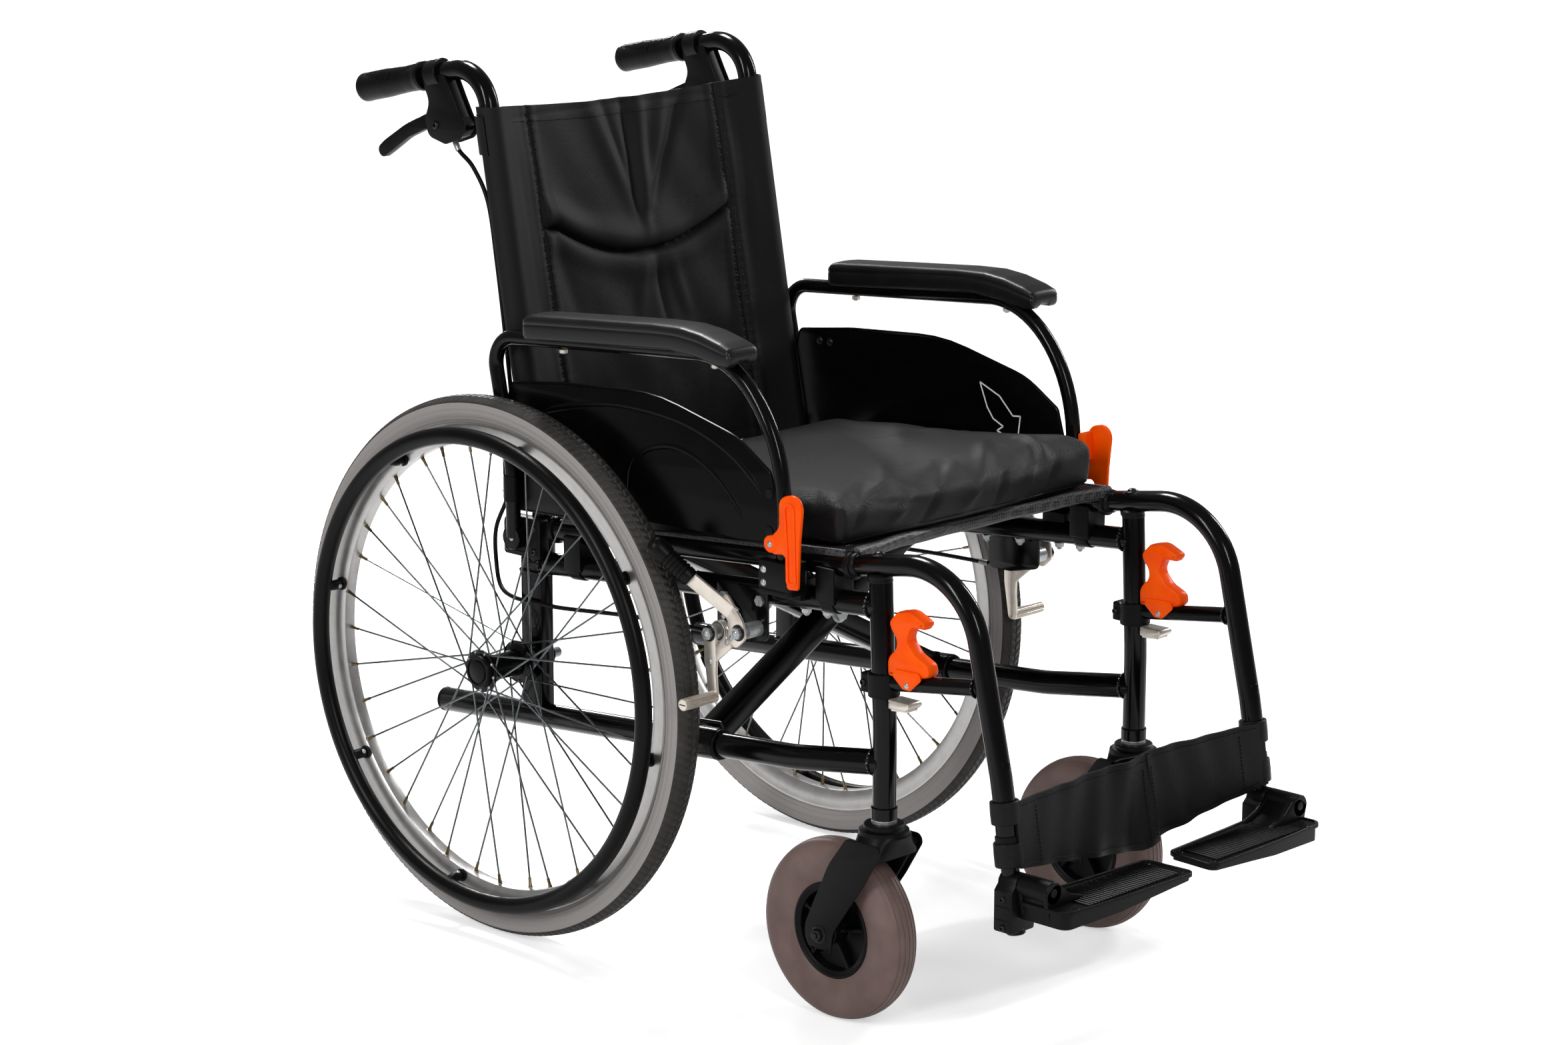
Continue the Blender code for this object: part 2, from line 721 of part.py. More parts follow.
def spokes(s):
    """Crossed spokes as one group, from the hub's flanges to just short of the rim's flats."""
    pieces = []
    lead = FLANGE_THICK / 2
    hub_radius = FLANGE_RADIUS * cos(pi / HUB_SIDES) - 2 * SPOKE_RADIUS
    rim_radius = rim_inner() * cos(pi / WHEEL_STEPS) - 2 * GAP
    per_flange = SPOKES // 2
    for flange_x, sense, turn in ((FLANGE_INNER, -1, 0.0), (FLANGE_OUTER, 1, pi / per_flange)):
        for i in range(per_flange):
            way = 1 if i % 2 else -1
            angle = 2 * pi * i / per_flange + turn
            far = angle + way * SPOKE_CROSS
            shift = way * lead
            start = side_point(s, flange_x + shift, hub_radius * cos(angle),
                               AXLE_Z + hub_radius * sin(angle))
            end = side_point(s, WHEEL_X + sense * RIM_STAGGER + shift, rim_radius * cos(far),
                             AXLE_Z + rim_radius * sin(far))
            pieces.append(rod(start, end, SPOKE_RADIUS, 3))
    return gathered(pieces, "spokes")


def hand_rim(s, word):
    """The hand rim with its standoffs, which end just off the wheel rim's side."""
    x = WHEEL_X + HAND_RIM_OUT
    profile = [
        (HAND_RIM_RADIUS + HAND_RIM_TUBE * cos(2 * pi * k / HAND_RIM_SIDES),
         HAND_RIM_TUBE * sin(2 * pi * k / HAND_RIM_SIDES))
        for k in range(HAND_RIM_SIDES)
    ]
    ring = turned(profile, side_point(s, x, 0, AXLE_Z), ACROSS, HAND_RIM_STEPS, closed=True)
    share = (HAND_RIM_RADIUS + STANDOFF_RADIUS - rim_inner()) / RIM_DEPTH
    foot_x = WHEEL_X + RIM_WIDTH / 2 * (0.56 + 0.44 * share) + 3 * GAP
    for k in range(STANDOFFS):
        angle = STANDOFF_PHASE + 2 * pi * k / STANDOFFS
        y = HAND_RIM_RADIUS * cos(angle)
        z = AXLE_Z + HAND_RIM_RADIUS * sin(angle)
        ring = fused(ring, rod(side_point(s, foot_x, y, z), side_point(s, x, y, z), STANDOFF_RADIUS, 4))
    part(ring, word + "_hand_rim", BLACK_RUBBER, wheel_centre(s))


def rear_axle(s, word):
    """The axle bolt with its nut inside the post and its spacer outside."""
    post_in = FRAME_X - REAR_POST_WIDTH / 2 - GAP
    post_out = FRAME_X + REAR_POST_WIDTH / 2 + GAP
    nut_end = post_in - NUT_LENGTH
    profile = [
        (0, nut_end - AXLE_TAIL),
        (AXLE_RADIUS, nut_end - AXLE_TAIL),
        (AXLE_RADIUS, nut_end),
        (NUT_RADIUS, nut_end),
        (NUT_RADIUS, post_in),
        (AXLE_RADIUS, post_in),
        (AXLE_RADIUS, post_out),
        (HUB_RADIUS - 0.003, post_out),
        (HUB_RADIUS - 0.003, HUB_END - GAP),
        (AXLE_RADIUS, HUB_END - GAP),
        (AXLE_RADIUS, HUB_BORE_END - GAP),
        (0, HUB_BORE_END - GAP),
    ]
    axle = turned(profile, (0, 0, AXLE_Z), ACROSS * s, 8)
    part(axle, word + "_rear_axle", ZINC)


# Castors


def castor_centre(s):
    return side_point(s, FRAME_X, CASTOR_Y, CASTOR_Z)


def castor_tyre(s, word):
    depth = CASTOR_RADIUS - CASTOR_BORE
    side = [
        (CASTOR_BORE, CASTOR_HALF * 0.72),
        (CASTOR_BORE + depth * 0.6, CASTOR_HALF),
        (CASTOR_RADIUS, CASTOR_HALF * 0.38),
    ]
    profile = side + [(radius, -height) for radius, height in reversed(side)]
    tyre = turned(profile, castor_centre(s), ACROSS, CASTOR_STEPS, closed=True, spin=pi / CASTOR_STEPS)
    part(tyre, word + "_castor_tyre", CASTOR_GREY, castor_centre(s))


def castor_core(s, word):
    """The spoked core: a ring, a hub and spokes cut from one plate, and a longer hub barrel."""
    outer = CASTOR_BORE - GAP
    window_out = outer - CORE_RING
    window_in = CORE_HUB + 0.002
    middle = (CASTOR_Y, CASTOR_Z)
    outlines = [ring_outline(middle, outer, CASTOR_STEPS, pi / CASTOR_STEPS + pi / 2)]
    for k in range(CORE_SPOKES):
        first = CORE_PHASE + 2 * pi * k / CORE_SPOKES
        last = first + 2 * pi / CORE_SPOKES
        outlines.append(core_window(middle, first, last, window_in, window_out))
    core = side_plate(outlines, CORE_THICK, s * FRAME_X, "core")
    half = CORE_HUB_LENGTH / 2
    ends = [side_point(s, FRAME_X + k * half, *middle) for k in (-1, 1)]
    core = fused(core, rod(*ends, CORE_HUB, 10))
    far = [side_point(s, FRAME_X + k * half * 1.2, *middle) for k in (-1, 1)]
    core = cut(core, bore(*far, CASTOR_PIN, 10))
    part(core, word + "_castor_core", BLACK_PLASTIC, castor_centre(s))


def core_window(middle, first, last, inner, outer):
    """One opening between two spokes of the castor core."""
    half = CORE_SPOKE_WIDTH / 2
    points = []
    for radius, order in ((outer, 1), (inner, -1)):
        slack = asin(half / radius)
        count = 2 if order > 0 else 1
        angles = [first + slack + (last - first - 2 * slack) * k / count for k in range(count + 1)]
        for angle in angles[::order]:
            points.append(Vector((middle[0] + radius * cos(angle), middle[1] + radius * sin(angle))))
    return points


FORK_INSIDE = CASTOR_HALF + FORK_SIDE_GAP
FORK_OUTSIDE = FORK_INSIDE + FORK_ARM
CROWN_LOW = 2 * CASTOR_Z + FORK_CROWN_GAP
CROWN_TOP = CROWN_LOW + FORK_CROWN
NECK_LOW = CROWN_TOP + COLLAR_HEIGHT
POST_FOOT = NECK_LOW + 0.0040


def castor_fork(s, word):
    """The fork: a side outline at full width with the wheel's slot cut out, its stem and its pin."""
    boss = 0.0165
    y, z = CASTOR_Y, CASTOR_Z
    outline = soft_outline([
        (STEM_Y - 0.032, CROWN_TOP, 0.008),
        (STEM_Y + 0.031, CROWN_TOP, 0.008),
        (STEM_Y + 0.047, CROWN_LOW - 0.020, 0.030),
        (y + boss, z + 0.004, 0.012),
        (y + boss, z - boss, 0.012),
        (y - boss, z - boss, 0.012),
        (y - boss, z + 0.004, 0.020),
        (STEM_Y - 0.026, CROWN_LOW - 0.018, 0.030),
        (STEM_Y - 0.044, CROWN_LOW + 0.003, 0.006),
    ])
    fork = side_plate([outline], 2 * FORK_OUTSIDE, s * FRAME_X, "fork")
    slot = block(side_point(s, FRAME_X - FORK_INSIDE, STEM_Y - 0.08, z - 0.03),
                 side_point(s, FRAME_X + FORK_INSIDE, CASTOR_Y + 0.05, CROWN_LOW))
    fork = cut(fork, slot)
    stem = [
        (CROWN_TOP - 0.004, CROWN_TOP + COLLAR_HEIGHT, COLLAR_RADIUS, 12),
        (CROWN_TOP, POST_FOOT - GAP, COLLAR_NECK, 8),
        (CROWN_TOP, POST_FOOT + STEM_LENGTH, STEM_RADIUS, 8),
    ]
    for low, high, radius, steps in stem:
        fork = fused(fork, rod(side_point(s, FRAME_X, STEM_Y, low), side_point(s, FRAME_X, STEM_Y, high),
                               radius, steps))
    reach = FORK_OUTSIDE + 0.005
    fork = fused(fork, rod(side_point(s, FRAME_X - reach, y, z), side_point(s, FRAME_X + reach, y, z),
                           CASTOR_PIN, 10))
    for sense in (-1, 1):
        head = [side_point(s, FRAME_X + sense * x, y, z) for x in (FORK_OUTSIDE - 0.001, reach - 0.001)]
        fork = fused(fork, rod(*head, CASTOR_PIN_HEAD, 6))
    part(fork, word + "_castor_fork", BLACK_PLASTIC, side_point(s, FRAME_X, STEM_Y, CROWN_TOP))


# Side frames


def lower_rail_path(s):
    post_z = rail_z(LOWER_Z, LOWER_BEND) + LOWER_RISE + 0.0090
    points = [(LOWER_REAR, rail_z(LOWER_Z, LOWER_REAR), 0),
              (LOWER_BEND, rail_z(LOWER_Z, LOWER_BEND), 0.25),
              (STEM_Y, post_z, 0)]
    return bent([(side_point(s, FRAME_X, y, z), r) for y, z, r in points], 2)


def post_path(s):
    points = [(STEM_Y, POST_FOOT, 0), (STEM_Y, POST_BEND_Z, 0.3), (POST_TOP_Y, POST_TOP_Z, 0)]
    return bent([(side_point(s, FRAME_X, y, z), r) for y, z, r in points], 1)


def seat_rail_ends(s):
    return [side_point(s, FRAME_X, y, rail_z(SEAT_Z, y)) for y in (SEAT_RAIL_REAR, SEAT_RAIL_FRONT)]


def saddle(s, y):
    """The cradle between the upper rail and the seat rail, open at the top."""
    top = rail_z(SEAT_Z, y) - SADDLE_WRAP
    half = SEAT_RADIUS + SADDLE_WALL
    return block(side_point(s, FRAME_X - half, y - SADDLE_LENGTH / 2, rail_z(UPPER_Z, y)),
                 side_point(s, FRAME_X + half, y + SADDLE_LENGTH / 2, top))


def side_frame(s, word):
    frame = tube(lower_rail_path(s), LOWER_RADIUS)
    upper = [side_point(s, FRAME_X, y, rail_z(UPPER_Z, y)) for y in (REAR_POST_Y, post_y(0.45))]
    low_y = REAR_POST_Y
    rear_post = block(
        side_point(s, FRAME_X - REAR_POST_WIDTH / 2, low_y - REAR_POST_DEPTH / 2, rail_z(LOWER_Z, low_y)),
        side_point(s, FRAME_X + REAR_POST_WIDTH / 2, low_y + REAR_POST_DEPTH / 2, UPPER_Z + 0.007))
    socket_radius = CANE_RADIUS + RUN + CANE_SOCKET_WALL
    socket = rod(side_point(s, CANE_X, CANE_Y, CANE_FOOT_Z - 0.015),
                 side_point(s, CANE_X, CANE_Y, CANE_SOCKET_TOP), socket_radius, 12)
    frame = fused(frame, tube(post_path(s), POST_RADIUS), tube(upper, UPPER_RADIUS), rear_post, socket)
    frame = fused(frame, *[saddle(s, y) for y in SADDLE_STATIONS])
    frame = fused(frame, arm_hinge(s), arm_hinge_pin(s), arm_socket(s))
    rear, front = seat_rail_ends(s)
    along = (front - rear).normalized() * 0.03
    frame = cut(
        frame,
        bore(rear - along, front + along, SEAT_RADIUS, 12),
        bore(side_point(s, 0.15, 0, AXLE_Z), side_point(s, 0.25, 0, AXLE_Z), AXLE_RADIUS),
        bore(side_point(s, FRAME_X, STEM_Y, POST_FOOT - 0.01),
             side_point(s, FRAME_X, STEM_Y, POST_FOOT + STEM_LENGTH + 0.002), STEM_RADIUS, 8),
        bore(hanger_pin_point(s, POST_TOP_Z - HANGER_PIN_DEPTH - 0.001),
             hanger_pin_point(s, POST_TOP_Z + 0.02), HANGER_PIN, 12),
        bore(side_point(s, CANE_X, CANE_Y, CANE_FOOT_Z - GAP),
             side_point(s, CANE_X, CANE_Y, CANE_SOCKET_TOP + 0.01), CANE_RADIUS),
        arm_foot_hole(s))
    part(frame, word + "_side_frame", BLACK_PAINT)


HINGE_PLATE_OUT = ARM_X - ARM_RADIUS - 0.0007
ARM_BARREL_OUT = ARM_X + ARM_RADIUS - ARM_BARREL_SETBACK
ARM_PIN_END = ARM_BARREL_OUT - GAP


def arm_hinge(s):
    """The block beside the rear post that carries the armrest's hinge pin."""
    y, z = ARM_PIVOT
    outline = soft_outline([(y - 0.032, z - 0.023, 0.004), (y + 0.026, z - 0.023, 0.004),
                            (y + 0.026, z + 0.022, 0.010), (y - 0.032, z + 0.022, 0.004)], 2)
    inside = FRAME_X + REAR_POST_WIDTH / 2 - 0.005
    return side_plate([outline], HINGE_PLATE_OUT - inside, s * (HINGE_PLATE_OUT + inside) / 2)


def arm_hinge_pin(s):
    return rod(side_point(s, HINGE_PLATE_OUT - 0.001, *ARM_PIVOT), side_point(s, ARM_PIN_END, *ARM_PIVOT),
               ARM_PIN, 12)


def arm_socket(s):
    """The open-topped socket for the armrest's front foot, on a web from the upper rail."""
    inside = FRAME_X + SEAT_RADIUS + 0.0008
    outside = ARM_X + ARM_RADIUS + ARM_FOOT_PLAY + 0.0025
    low = ARM_FOOT - ARM_FOOT_DEEP
    cup = block(side_point(s, inside, ARM_FRONT - SOCKET_HALF + 0.003, low),
                side_point(s, outside, ARM_FRONT + SOCKET_HALF + 0.004, SOCKET_TOP))
    web_top = rail_z(SEAT_Z, ARM_FRONT) - SEAT_RADIUS - 0.004
    web = block(side_point(s, FRAME_X, ARM_FRONT - 0.016, rail_z(UPPER_Z, ARM_FRONT)),
                side_point(s, inside + 0.006, ARM_FRONT + 0.016, web_top))
    return fused(cup, web)


def arm_foot_hole(s):
    return rod(side_point(s, ARM_X, ARM_FRONT, ARM_FOOT - 0.0008),
               side_point(s, ARM_X, ARM_FRONT, SOCKET_TOP + 0.01), ARM_RADIUS + ARM_FOOT_PLAY, 12)


# Cross brace and seat rails


def rail_point(s, base, station=CROSS_STATION):
    return side_point(s, FRAME_X, station, rail_z(base, station))


CROSS_LOW = rail_point(RIGHT, LOWER_Z)
CROSS_MIDDLE = Vector((0, CROSS_LOW.y, CROSS_LOW.z)) + LIFT * (RAIL_LIFT / 2)
BRACE_OFFSET = (BRACE_DEPTH + BRACE_CLEAR) / 2


def brace(s_low, offset, name):
    """One brace bar: a sleeve on the lower rail, a long bar, and the seat rail welded to its top."""
    place = CROSS_MIDDLE + FOLD_AXIS * offset
    low = Vector((s_low * FRAME_X, -RAIL_LIFT / 2))
    high = Vector((-s_low * FRAME_X, RAIL_LIFT / 2))
    along = (high - low).normalized()
    square = Vector((-along.y, along.x)) * (BRACE_WIDTH / 2)
    outline = [low + square, low - square, high - square, high + square]
    bar = plate([outline], BRACE_DEPTH, frame_of(ACROSS, LIFT, place), name)
    low_point = place + ACROSS * low.x + LIFT * low.y
    half = FOLD_AXIS * (SLEEVE_LENGTH / 2)
    sleeve = rod(low_point - half, low_point + half, LOWER_RADIUS + SLEEVE_WALL, 14)
    bar = fused(bar, sleeve, tube(seat_rail_ends(-s_low), SEAT_RADIUS, roundness=4))
    deep = FOLD_AXIS * 0.08
    bar = cut(bar, bore(low_point - deep, low_point + deep, LOWER_RADIUS, 12),
              bore(place - FOLD_AXIS * BRACE_DEPTH, place + FOLD_AXIS * BRACE_DEPTH, CROSS_BOLT))
    pivot = low_point if offset > 0 else CROSS_MIDDLE
    part(bar, name, BLACK_PAINT, pivot)


def brace_pivot_bolt():
    """The bolt on which the two bars turn, with a head at each end."""
    reach = BRACE_DEPTH + BRACE_CLEAR / 2 + GAP
    end = reach + CROSS_BOLT_HEAD_THICK
    profile = [(0, -end), (CROSS_BOLT_HEAD, -end), (CROSS_BOLT_HEAD, -reach), (CROSS_BOLT, -reach),
               (CROSS_BOLT, reach), (CROSS_BOLT_HEAD, reach), (CROSS_BOLT_HEAD, end), (0, end)]
    bolt = turned(profile, CROSS_MIDDLE, FOLD_AXIS, 12)
    part(bolt, "brace_pivot_bolt", ZINC, CROSS_MIDDLE)


# Back canes, handles and attendant brakes


def handle_corner():
    return Vector((0, cane_y(HANDLE_CORNER_Z), HANDLE_CORNER_Z))


HANDLE_WAY = Vector((0, cos(HANDLE_DROOP), -sin(HANDLE_DROOP)))


def handle_point(s, distance):
    """A point on the push handle's axis, at a distance behind its corner."""
    place = handle_corner() + HANDLE_WAY * distance
    return side_point(s, CANE_X, place.y, place.z)


def back_cane(s, word):
    grip_end = GRIP_START + GRIP_LENGTH - 0.012
    corners = [
        (side_point(s, CANE_X, CANE_Y, CANE_FOOT_Z), 0),
        (side_point(s, CANE_X, CANE_Y, CANE_BEND_Z), CANE_BEND_RADIUS),
        (handle_point(s, 0), HANDLE_BEND),
        (handle_point(s, grip_end), 0),
    ]
    part(tube(bent(corners, 3), CANE_RADIUS), word + "_back_cane", BLACK_PAINT)


def push_grip(s, word):
    length = GRIP_LENGTH
    profile = [
        (0, 0),
        (GRIP_RADIUS - 0.001, 0),
        (GRIP_RADIUS - 0.002, 0.030),
        (GRIP_RADIUS, 0.060),
        (GRIP_RADIUS, length - 0.006),
        (GRIP_RADIUS - 0.005, length),
        (0, length),
    ]
    grip = turned(profile, handle_point(s, GRIP_START), HANDLE_WAY, 12)
    grip = cut(grip, bore(handle_point(s, GRIP_START - 0.02),
                          handle_point(s, GRIP_START + length - 0.011), CANE_RADIUS))
    part(grip, word + "_push_grip", BLACK_RUBBER)


def lever_clamp(s, word):
    """The brake lever's perch: a split ring on the handle and a stem down to the lever's pin."""
    start = handle_point(s, CLAMP_START)
    end = handle_point(s, CLAMP_START + CLAMP_LENGTH)
    ring = rod(start, end, CANE_RADIUS + CLAMP_WALL, 8)
    middle = (start + end) / 2
    py, pz = LEVER_PIVOT
    top = middle.z - CANE_RADIUS - 0.001
    outline = soft_outline([
        (middle.y - 0.010, top, 0),
        (middle.y + 0.009, top, 0),
        (py + 0.004, pz + 0.016, 0.008),
        (py + 0.009, pz - 0.002, 0.006),
        (py - 0.006, pz - 0.017, 0.006),
        (middle.y - 0.030, pz - 0.016, 0.005),
        (middle.y - 0.030, pz + 0.002, 0.004),
        (middle.y - 0.014, pz + 0.012, 0.008),
    ])
    body = side_plate([outline], PERCH_WIDTH, s * CANE_X)
    slot = side_plate([[(py - 0.004, pz - 0.03), (py + 0.03, pz - 0.03), (py + 0.03, pz + 0.03),
                        (py - 0.004, pz + 0.010)]], LEVER_WIDTH + 2 * GAP, s * CANE_X)
    perch = cut(fused(ring, body), slot,
                bore(handle_point(s, CLAMP_START - 0.02), handle_point(s, CLAMP_START + 0.05), CANE_RADIUS))
    half = PERCH_WIDTH / 2
    pin = rod(side_point(s, CANE_X - half - 0.001, py, pz), side_point(s, CANE_X + half + 0.001, py, pz),
              LEVER_PIN, 8)
    barrel = rod(side_point(s, CANE_X, middle.y - 0.028, pz - 0.001),
                 side_point(s, CANE_X, middle.y - 0.047, pz + 0.001), 0.0058, 8)
    part(fused(perch, pin, barrel), word + "_lever_clamp", BLACK_PLASTIC)


def brake_lever(s, word):
    py, pz = LEVER_PIVOT
    outline = soft_outline([
        (py - 0.0035, pz + 0.005, 0.003),
        (py + 0.012, pz + 0.013, 0.006),
        (py + 0.056, pz - 0.004, 0.05),
        (py + 0.094, pz - 0.025, 0.02),
        (py + 0.104, pz - 0.036, 0.005),
        (py + 0.096, pz - 0.043, 0.004),
        (py + 0.078, pz - 0.037, 0.008),
        (py + 0.058, pz - 0.022, 0.03),
        (py + 0.022, pz - 0.007, 0.03),
        (py - 0.0015, pz - 0.006, 0.003),
    ])
    lever = side_plate([outline], LEVER_WIDTH, s * CANE_X)
    lever = cut(lever, bore(side_point(s, CANE_X - 0.02, py, pz), side_point(s, CANE_X + 0.02, py, pz),
                            LEVER_PIN, 8))
    part(lever, word + "_brake_lever", BLACK_PLASTIC, side_point(s, CANE_X, py, pz))


def cable_route(s):
    """The cable's own points, from the perch down behind the cane and along to the wheel lock."""
    middle = (handle_point(s, CLAMP_START) + handle_point(s, CLAMP_START + CLAMP_LENGTH)) / 2
    pz = LEVER_PIVOT[1]
    points = [
        (CANE_X, middle.y - 0.0255, pz - 0.0165 - GAP),
        (CANE_X, middle.y - 0.034, pz - 0.028),
        (CANE_X, 0.0940, 0.842),
        (CANE_X + 0.001, 0.0700, 0.806),
        (CANE_X + 0.002, 0.0560, 0.740),
        (CANE_X + 0.002, 0.0440, 0.660),
        (CANE_X + 0.003, 0.0330, 0.580),
        (CANE_X + 0.003, 0.0300, 0.520),
        (CANE_X + 0.002, 0.0450, 0.478),
        (CANE_X + 0.002, 0.0640, 0.440),
        (CANE_X + 0.002, 0.0640, 0.400),
        (CANE_X + 0.0100, 0.0480, 0.3780),
        (CANE_X + 0.0165, 0.0200, 0.3715),
        (CANE_X + 0.0165, -0.0200, 0.3715),
        (CANE_X + 0.0165, -0.0600, 0.3730),
        (CANE_X + 0.0165, -0.1530, 0.3820),
        (CANE_X + 0.0160, -0.2200, 0.3860),
        (CANE_X + 0.0160, LOCK_PIVOT[0] + 0.0606, LOCK_PIVOT[1] - 0.0170),
    ]
    return [side_point(s, *point) for point in points]


def smooth_path(points, per_span):
    """Points read from a smooth curve through the given ones."""
    path = []
    last = len(points) - 1
    for i in range(last):
        before, start, end, after = (points[max(0, min(last, i + k))] for k in (-1, 0, 1, 2))
        for k in range(per_span):
            t = k / per_span
            path.append(0.5 * (2 * start + (end - before) * t
                               + (2 * before - 5 * start + 4 * end - after) * t * t
                               + (3 * start - before - 3 * end + after) * t ** 3))
    path.append(points[last])
    return path


def brake_cable(s, word):
    path = smooth_path(cable_route(s), 1)
    part(tube(path, CABLE_RADIUS, roundness=1), word + "_brake_cable", BLACK_RUBBER)


# Armrests


def arm_bend_point(step):
    """A point (y, z) of the quarter ellipse at the armrest's front."""
    angle = pi / 2 * step / ARM_BEND_STEPS
    height = arm_z(ARM_CORNER) - ARM_CORNER_LOW
    return (ARM_CORNER - (ARM_CORNER - ARM_FRONT) * sin(angle), ARM_CORNER_LOW + height * cos(angle))


def arm_path(s):
    """The armrest tube's axis: hinge, rear leg, rear bend, top, a quarter ellipse, front leg."""
    py, pz = ARM_PIVOT
    start = [(py, pz, 0), (py, pz + 0.075, 0.08), (py + 0.0315, arm_z(py), 0.032)]
    corners = [(side_point(s, ARM_X, y, z), r) for y, z, r in start]
    corners.append((side_point(s, ARM_X, ARM_CORNER, arm_z(ARM_CORNER)), 0))
    path = bent(corners, 3)
    for step in range(1, ARM_BEND_STEPS + 1):
        path.append(side_point(s, ARM_X, *arm_bend_point(step)))
    path.append(side_point(s, ARM_X, ARM_FRONT, ARM_FOOT))
    return path


def armrest_tube(s, word):
    arm = tube(arm_path(s), ARM_RADIUS, roundness=2)
    inside, outside = HINGE_PLATE_OUT + GAP, ARM_BARREL_OUT
    barrel = rod(side_point(s, inside, *ARM_PIVOT), side_point(s, outside, *ARM_PIVOT), ARM_PIVOT_BARREL, 12)
    arm = fused(arm, barrel)
    arm = cut(arm, bore(side_point(s, inside - 0.01, *ARM_PIVOT), side_point(s, outside + 0.01, *ARM_PIVOT),
                        ARM_PIN, 12))
    part(arm, word + "_armrest_tube", BLACK_PAINT, side_point(s, ARM_X, *ARM_PIVOT))


def armrest_pad(s, word):
    """The pad: a side outline of the padded height, with rounded long edges."""
    seat = ARM_RADIUS / cos(SLOPE) + 2 * GAP
    first_bend = arm_bend_point(1)
    rise = PAD_THICK
    corners = [
        (PAD_REAR - 0.004, arm_z(PAD_REAR) + seat + 0.003, 0.004),
        (ARM_CORNER, arm_z(ARM_CORNER) + seat, 0),
        (first_bend[0], first_bend[1] + seat + 0.0012, 0),
        (PAD_FRONT, first_bend[1] + seat - 0.004, 0.003),
        (PAD_FRONT - 0.002, first_bend[1] + seat + 0.010, 0.004),
        (PAD_NOSE - 0.014, arm_z(PAD_NOSE) + seat + rise - 0.002, 0.05),
        (PAD_REAR, arm_z(PAD_REAR) + seat + rise, 0.009),
    ]
    pad = side_plate([soft_outline(corners, 2)], 2 * PAD_HALF, s * PAD_X, "pad")
    bm = bmesh.new()
    bm.from_mesh(pad.data)
    top_edges = [edge for edge in bm.edges if long_top_edge(edge)]
    bmesh.ops.bevel(bm, geom=top_edges, offset=0.005, segments=1, affect="EDGES", clamp_overlap=True)
    bpy.data.objects.remove(pad, do_unlink=True)
    part(mesh_piece("pad", bm), word + "_armrest_pad", PAD_SKIN, side_point(s, ARM_X, *ARM_PIVOT))


def long_top_edge(edge):
    """True for the pad's long upper edges, which are rounded."""
    first, second = (vert.co for vert in edge.verts)
    flat = abs(first.x - second.x) < WELD
    high = all(co.z > arm_z(co.y) + ARM_RADIUS + PAD_THICK * 0.4 for co in (first, second))
    return flat and high and len(edge.link_faces) == 2


def side_panel(s, word):
    """The skirt guard: a sheet between the legs, with a sleeve and a flange on the rear leg."""
    py = ARM_PIVOT[0]
    span = ARM_FRONT - py
    sleeve = ARM_RADIUS + GAP + PANEL_SLEEVE_WALL
    front = ARM_FRONT + ARM_RADIUS + GAP
    foot = PANEL_FOOT
    outline = soft_outline([
        (PANEL_REAR, foot + 0.006, 0.008),
        (PANEL_REAR, foot + 0.060, 0.02),
        (py + 0.011, foot + 0.110, 0.02),
        (py + 0.004, foot + 0.1425, 0.010),
        (py + span * 0.192, foot + 0.1525, 0.15),
        (py + span * 0.533, foot + 0.1610, 0.25),
        (py + span * 0.837, foot + 0.1310, 0.10),
        (front + 0.012, foot + 0.1010, 0),
        (front, foot + 0.0600, 0),
        (front, foot + 0.0250, 0),
        (py + span * 0.740, foot + 0.0190, 0),
        (py + span * 0.496, foot + 0.0080, 0),
        (py, foot, 0.05),
    ])
    sheet = side_plate([outline], PANEL_THICK, s * PANEL_X, "panel")
    low = side_point(s, ARM_X, py, foot + 0.010)
    high = side_point(s, ARM_X, py, ARM_PIVOT[1] + 0.066)
    wrap = rod(low, high, sleeve, 10)
    panel = fused(sheet, wrap)
    leg = tube(arm_path(s)[:10], ARM_RADIUS + 2 * GAP, roundness=2)
    part(cut(panel, leg), word + "_side_panel", BLACK_PLASTIC, side_point(s, ARM_X, *ARM_PIVOT))


LATCH_IN = ARM_X + ARM_RADIUS + ARM_FOOT_PLAY + 0.0025 + 0.0006


def armrest_latch(s, word):
    """The arm lock: a plate outboard of the leg, a web in front of it, and its pivot pin."""
    y, z = ARM_LATCH_PIN
    outline = soft_outline([
        (y + 0.002, z + 0.002, 0.006),
        (y - 0.014, z + 0.018, 0.008),
        (y - 0.018, z + 0.052, 0.005),
        (y - 0.043, z + 0.055, 0.008),
        (y - 0.043, z + 0.008, 0.02),
        (y - 0.040, z - 0.043, 0.003),
        (y - 0.026, z - 0.045, 0.003),
        (y - 0.024, z - 0.008, 0.004),
        (y - 0.006, z - 0.010, 0.006),
    ])
    mid = LATCH_IN + ARM_LATCH_THICK / 2
    latch = side_plate([outline], ARM_LATCH_THICK, s * mid)
    web_y = ARM_FRONT - ARM_RADIUS - 0.004
    web = block(side_point(s, ARM_X - 0.006, y - 0.042, z + 0.012),
                side_point(s, LATCH_IN + 0.002, web_y, z + 0.050), 0.0015)
    latch = fused(latch, web)
    boss = rod(side_point(s, LATCH_IN, y - 0.004, z), side_point(s, LATCH_IN + ARM_LATCH_THICK, y - 0.004, z),
               0.009, 12)
    latch = fused(latch, boss)
    part(latch, word + "_armrest_latch", ORANGE, side_point(s, ARM_X, y - 0.004, z))


# Footrests


def hanger_pin_point(s, z):
    return side_point(s, FRAME_X, post_y(z), z)


def hanger_path(s):
    foot = HANGER_FOOT_Z
    corners = [(HANGER_START, HANGER_START_Z, 0), (*HANGER_TOP_FRONT, HANGER_BEND),
               (*HANGER_KNEE, 0.3), (hanger_y(foot), foot, 0)]
    return bent([(side_point(s, FRAME_X, y, z), r) for y, z, r in corners], 3)


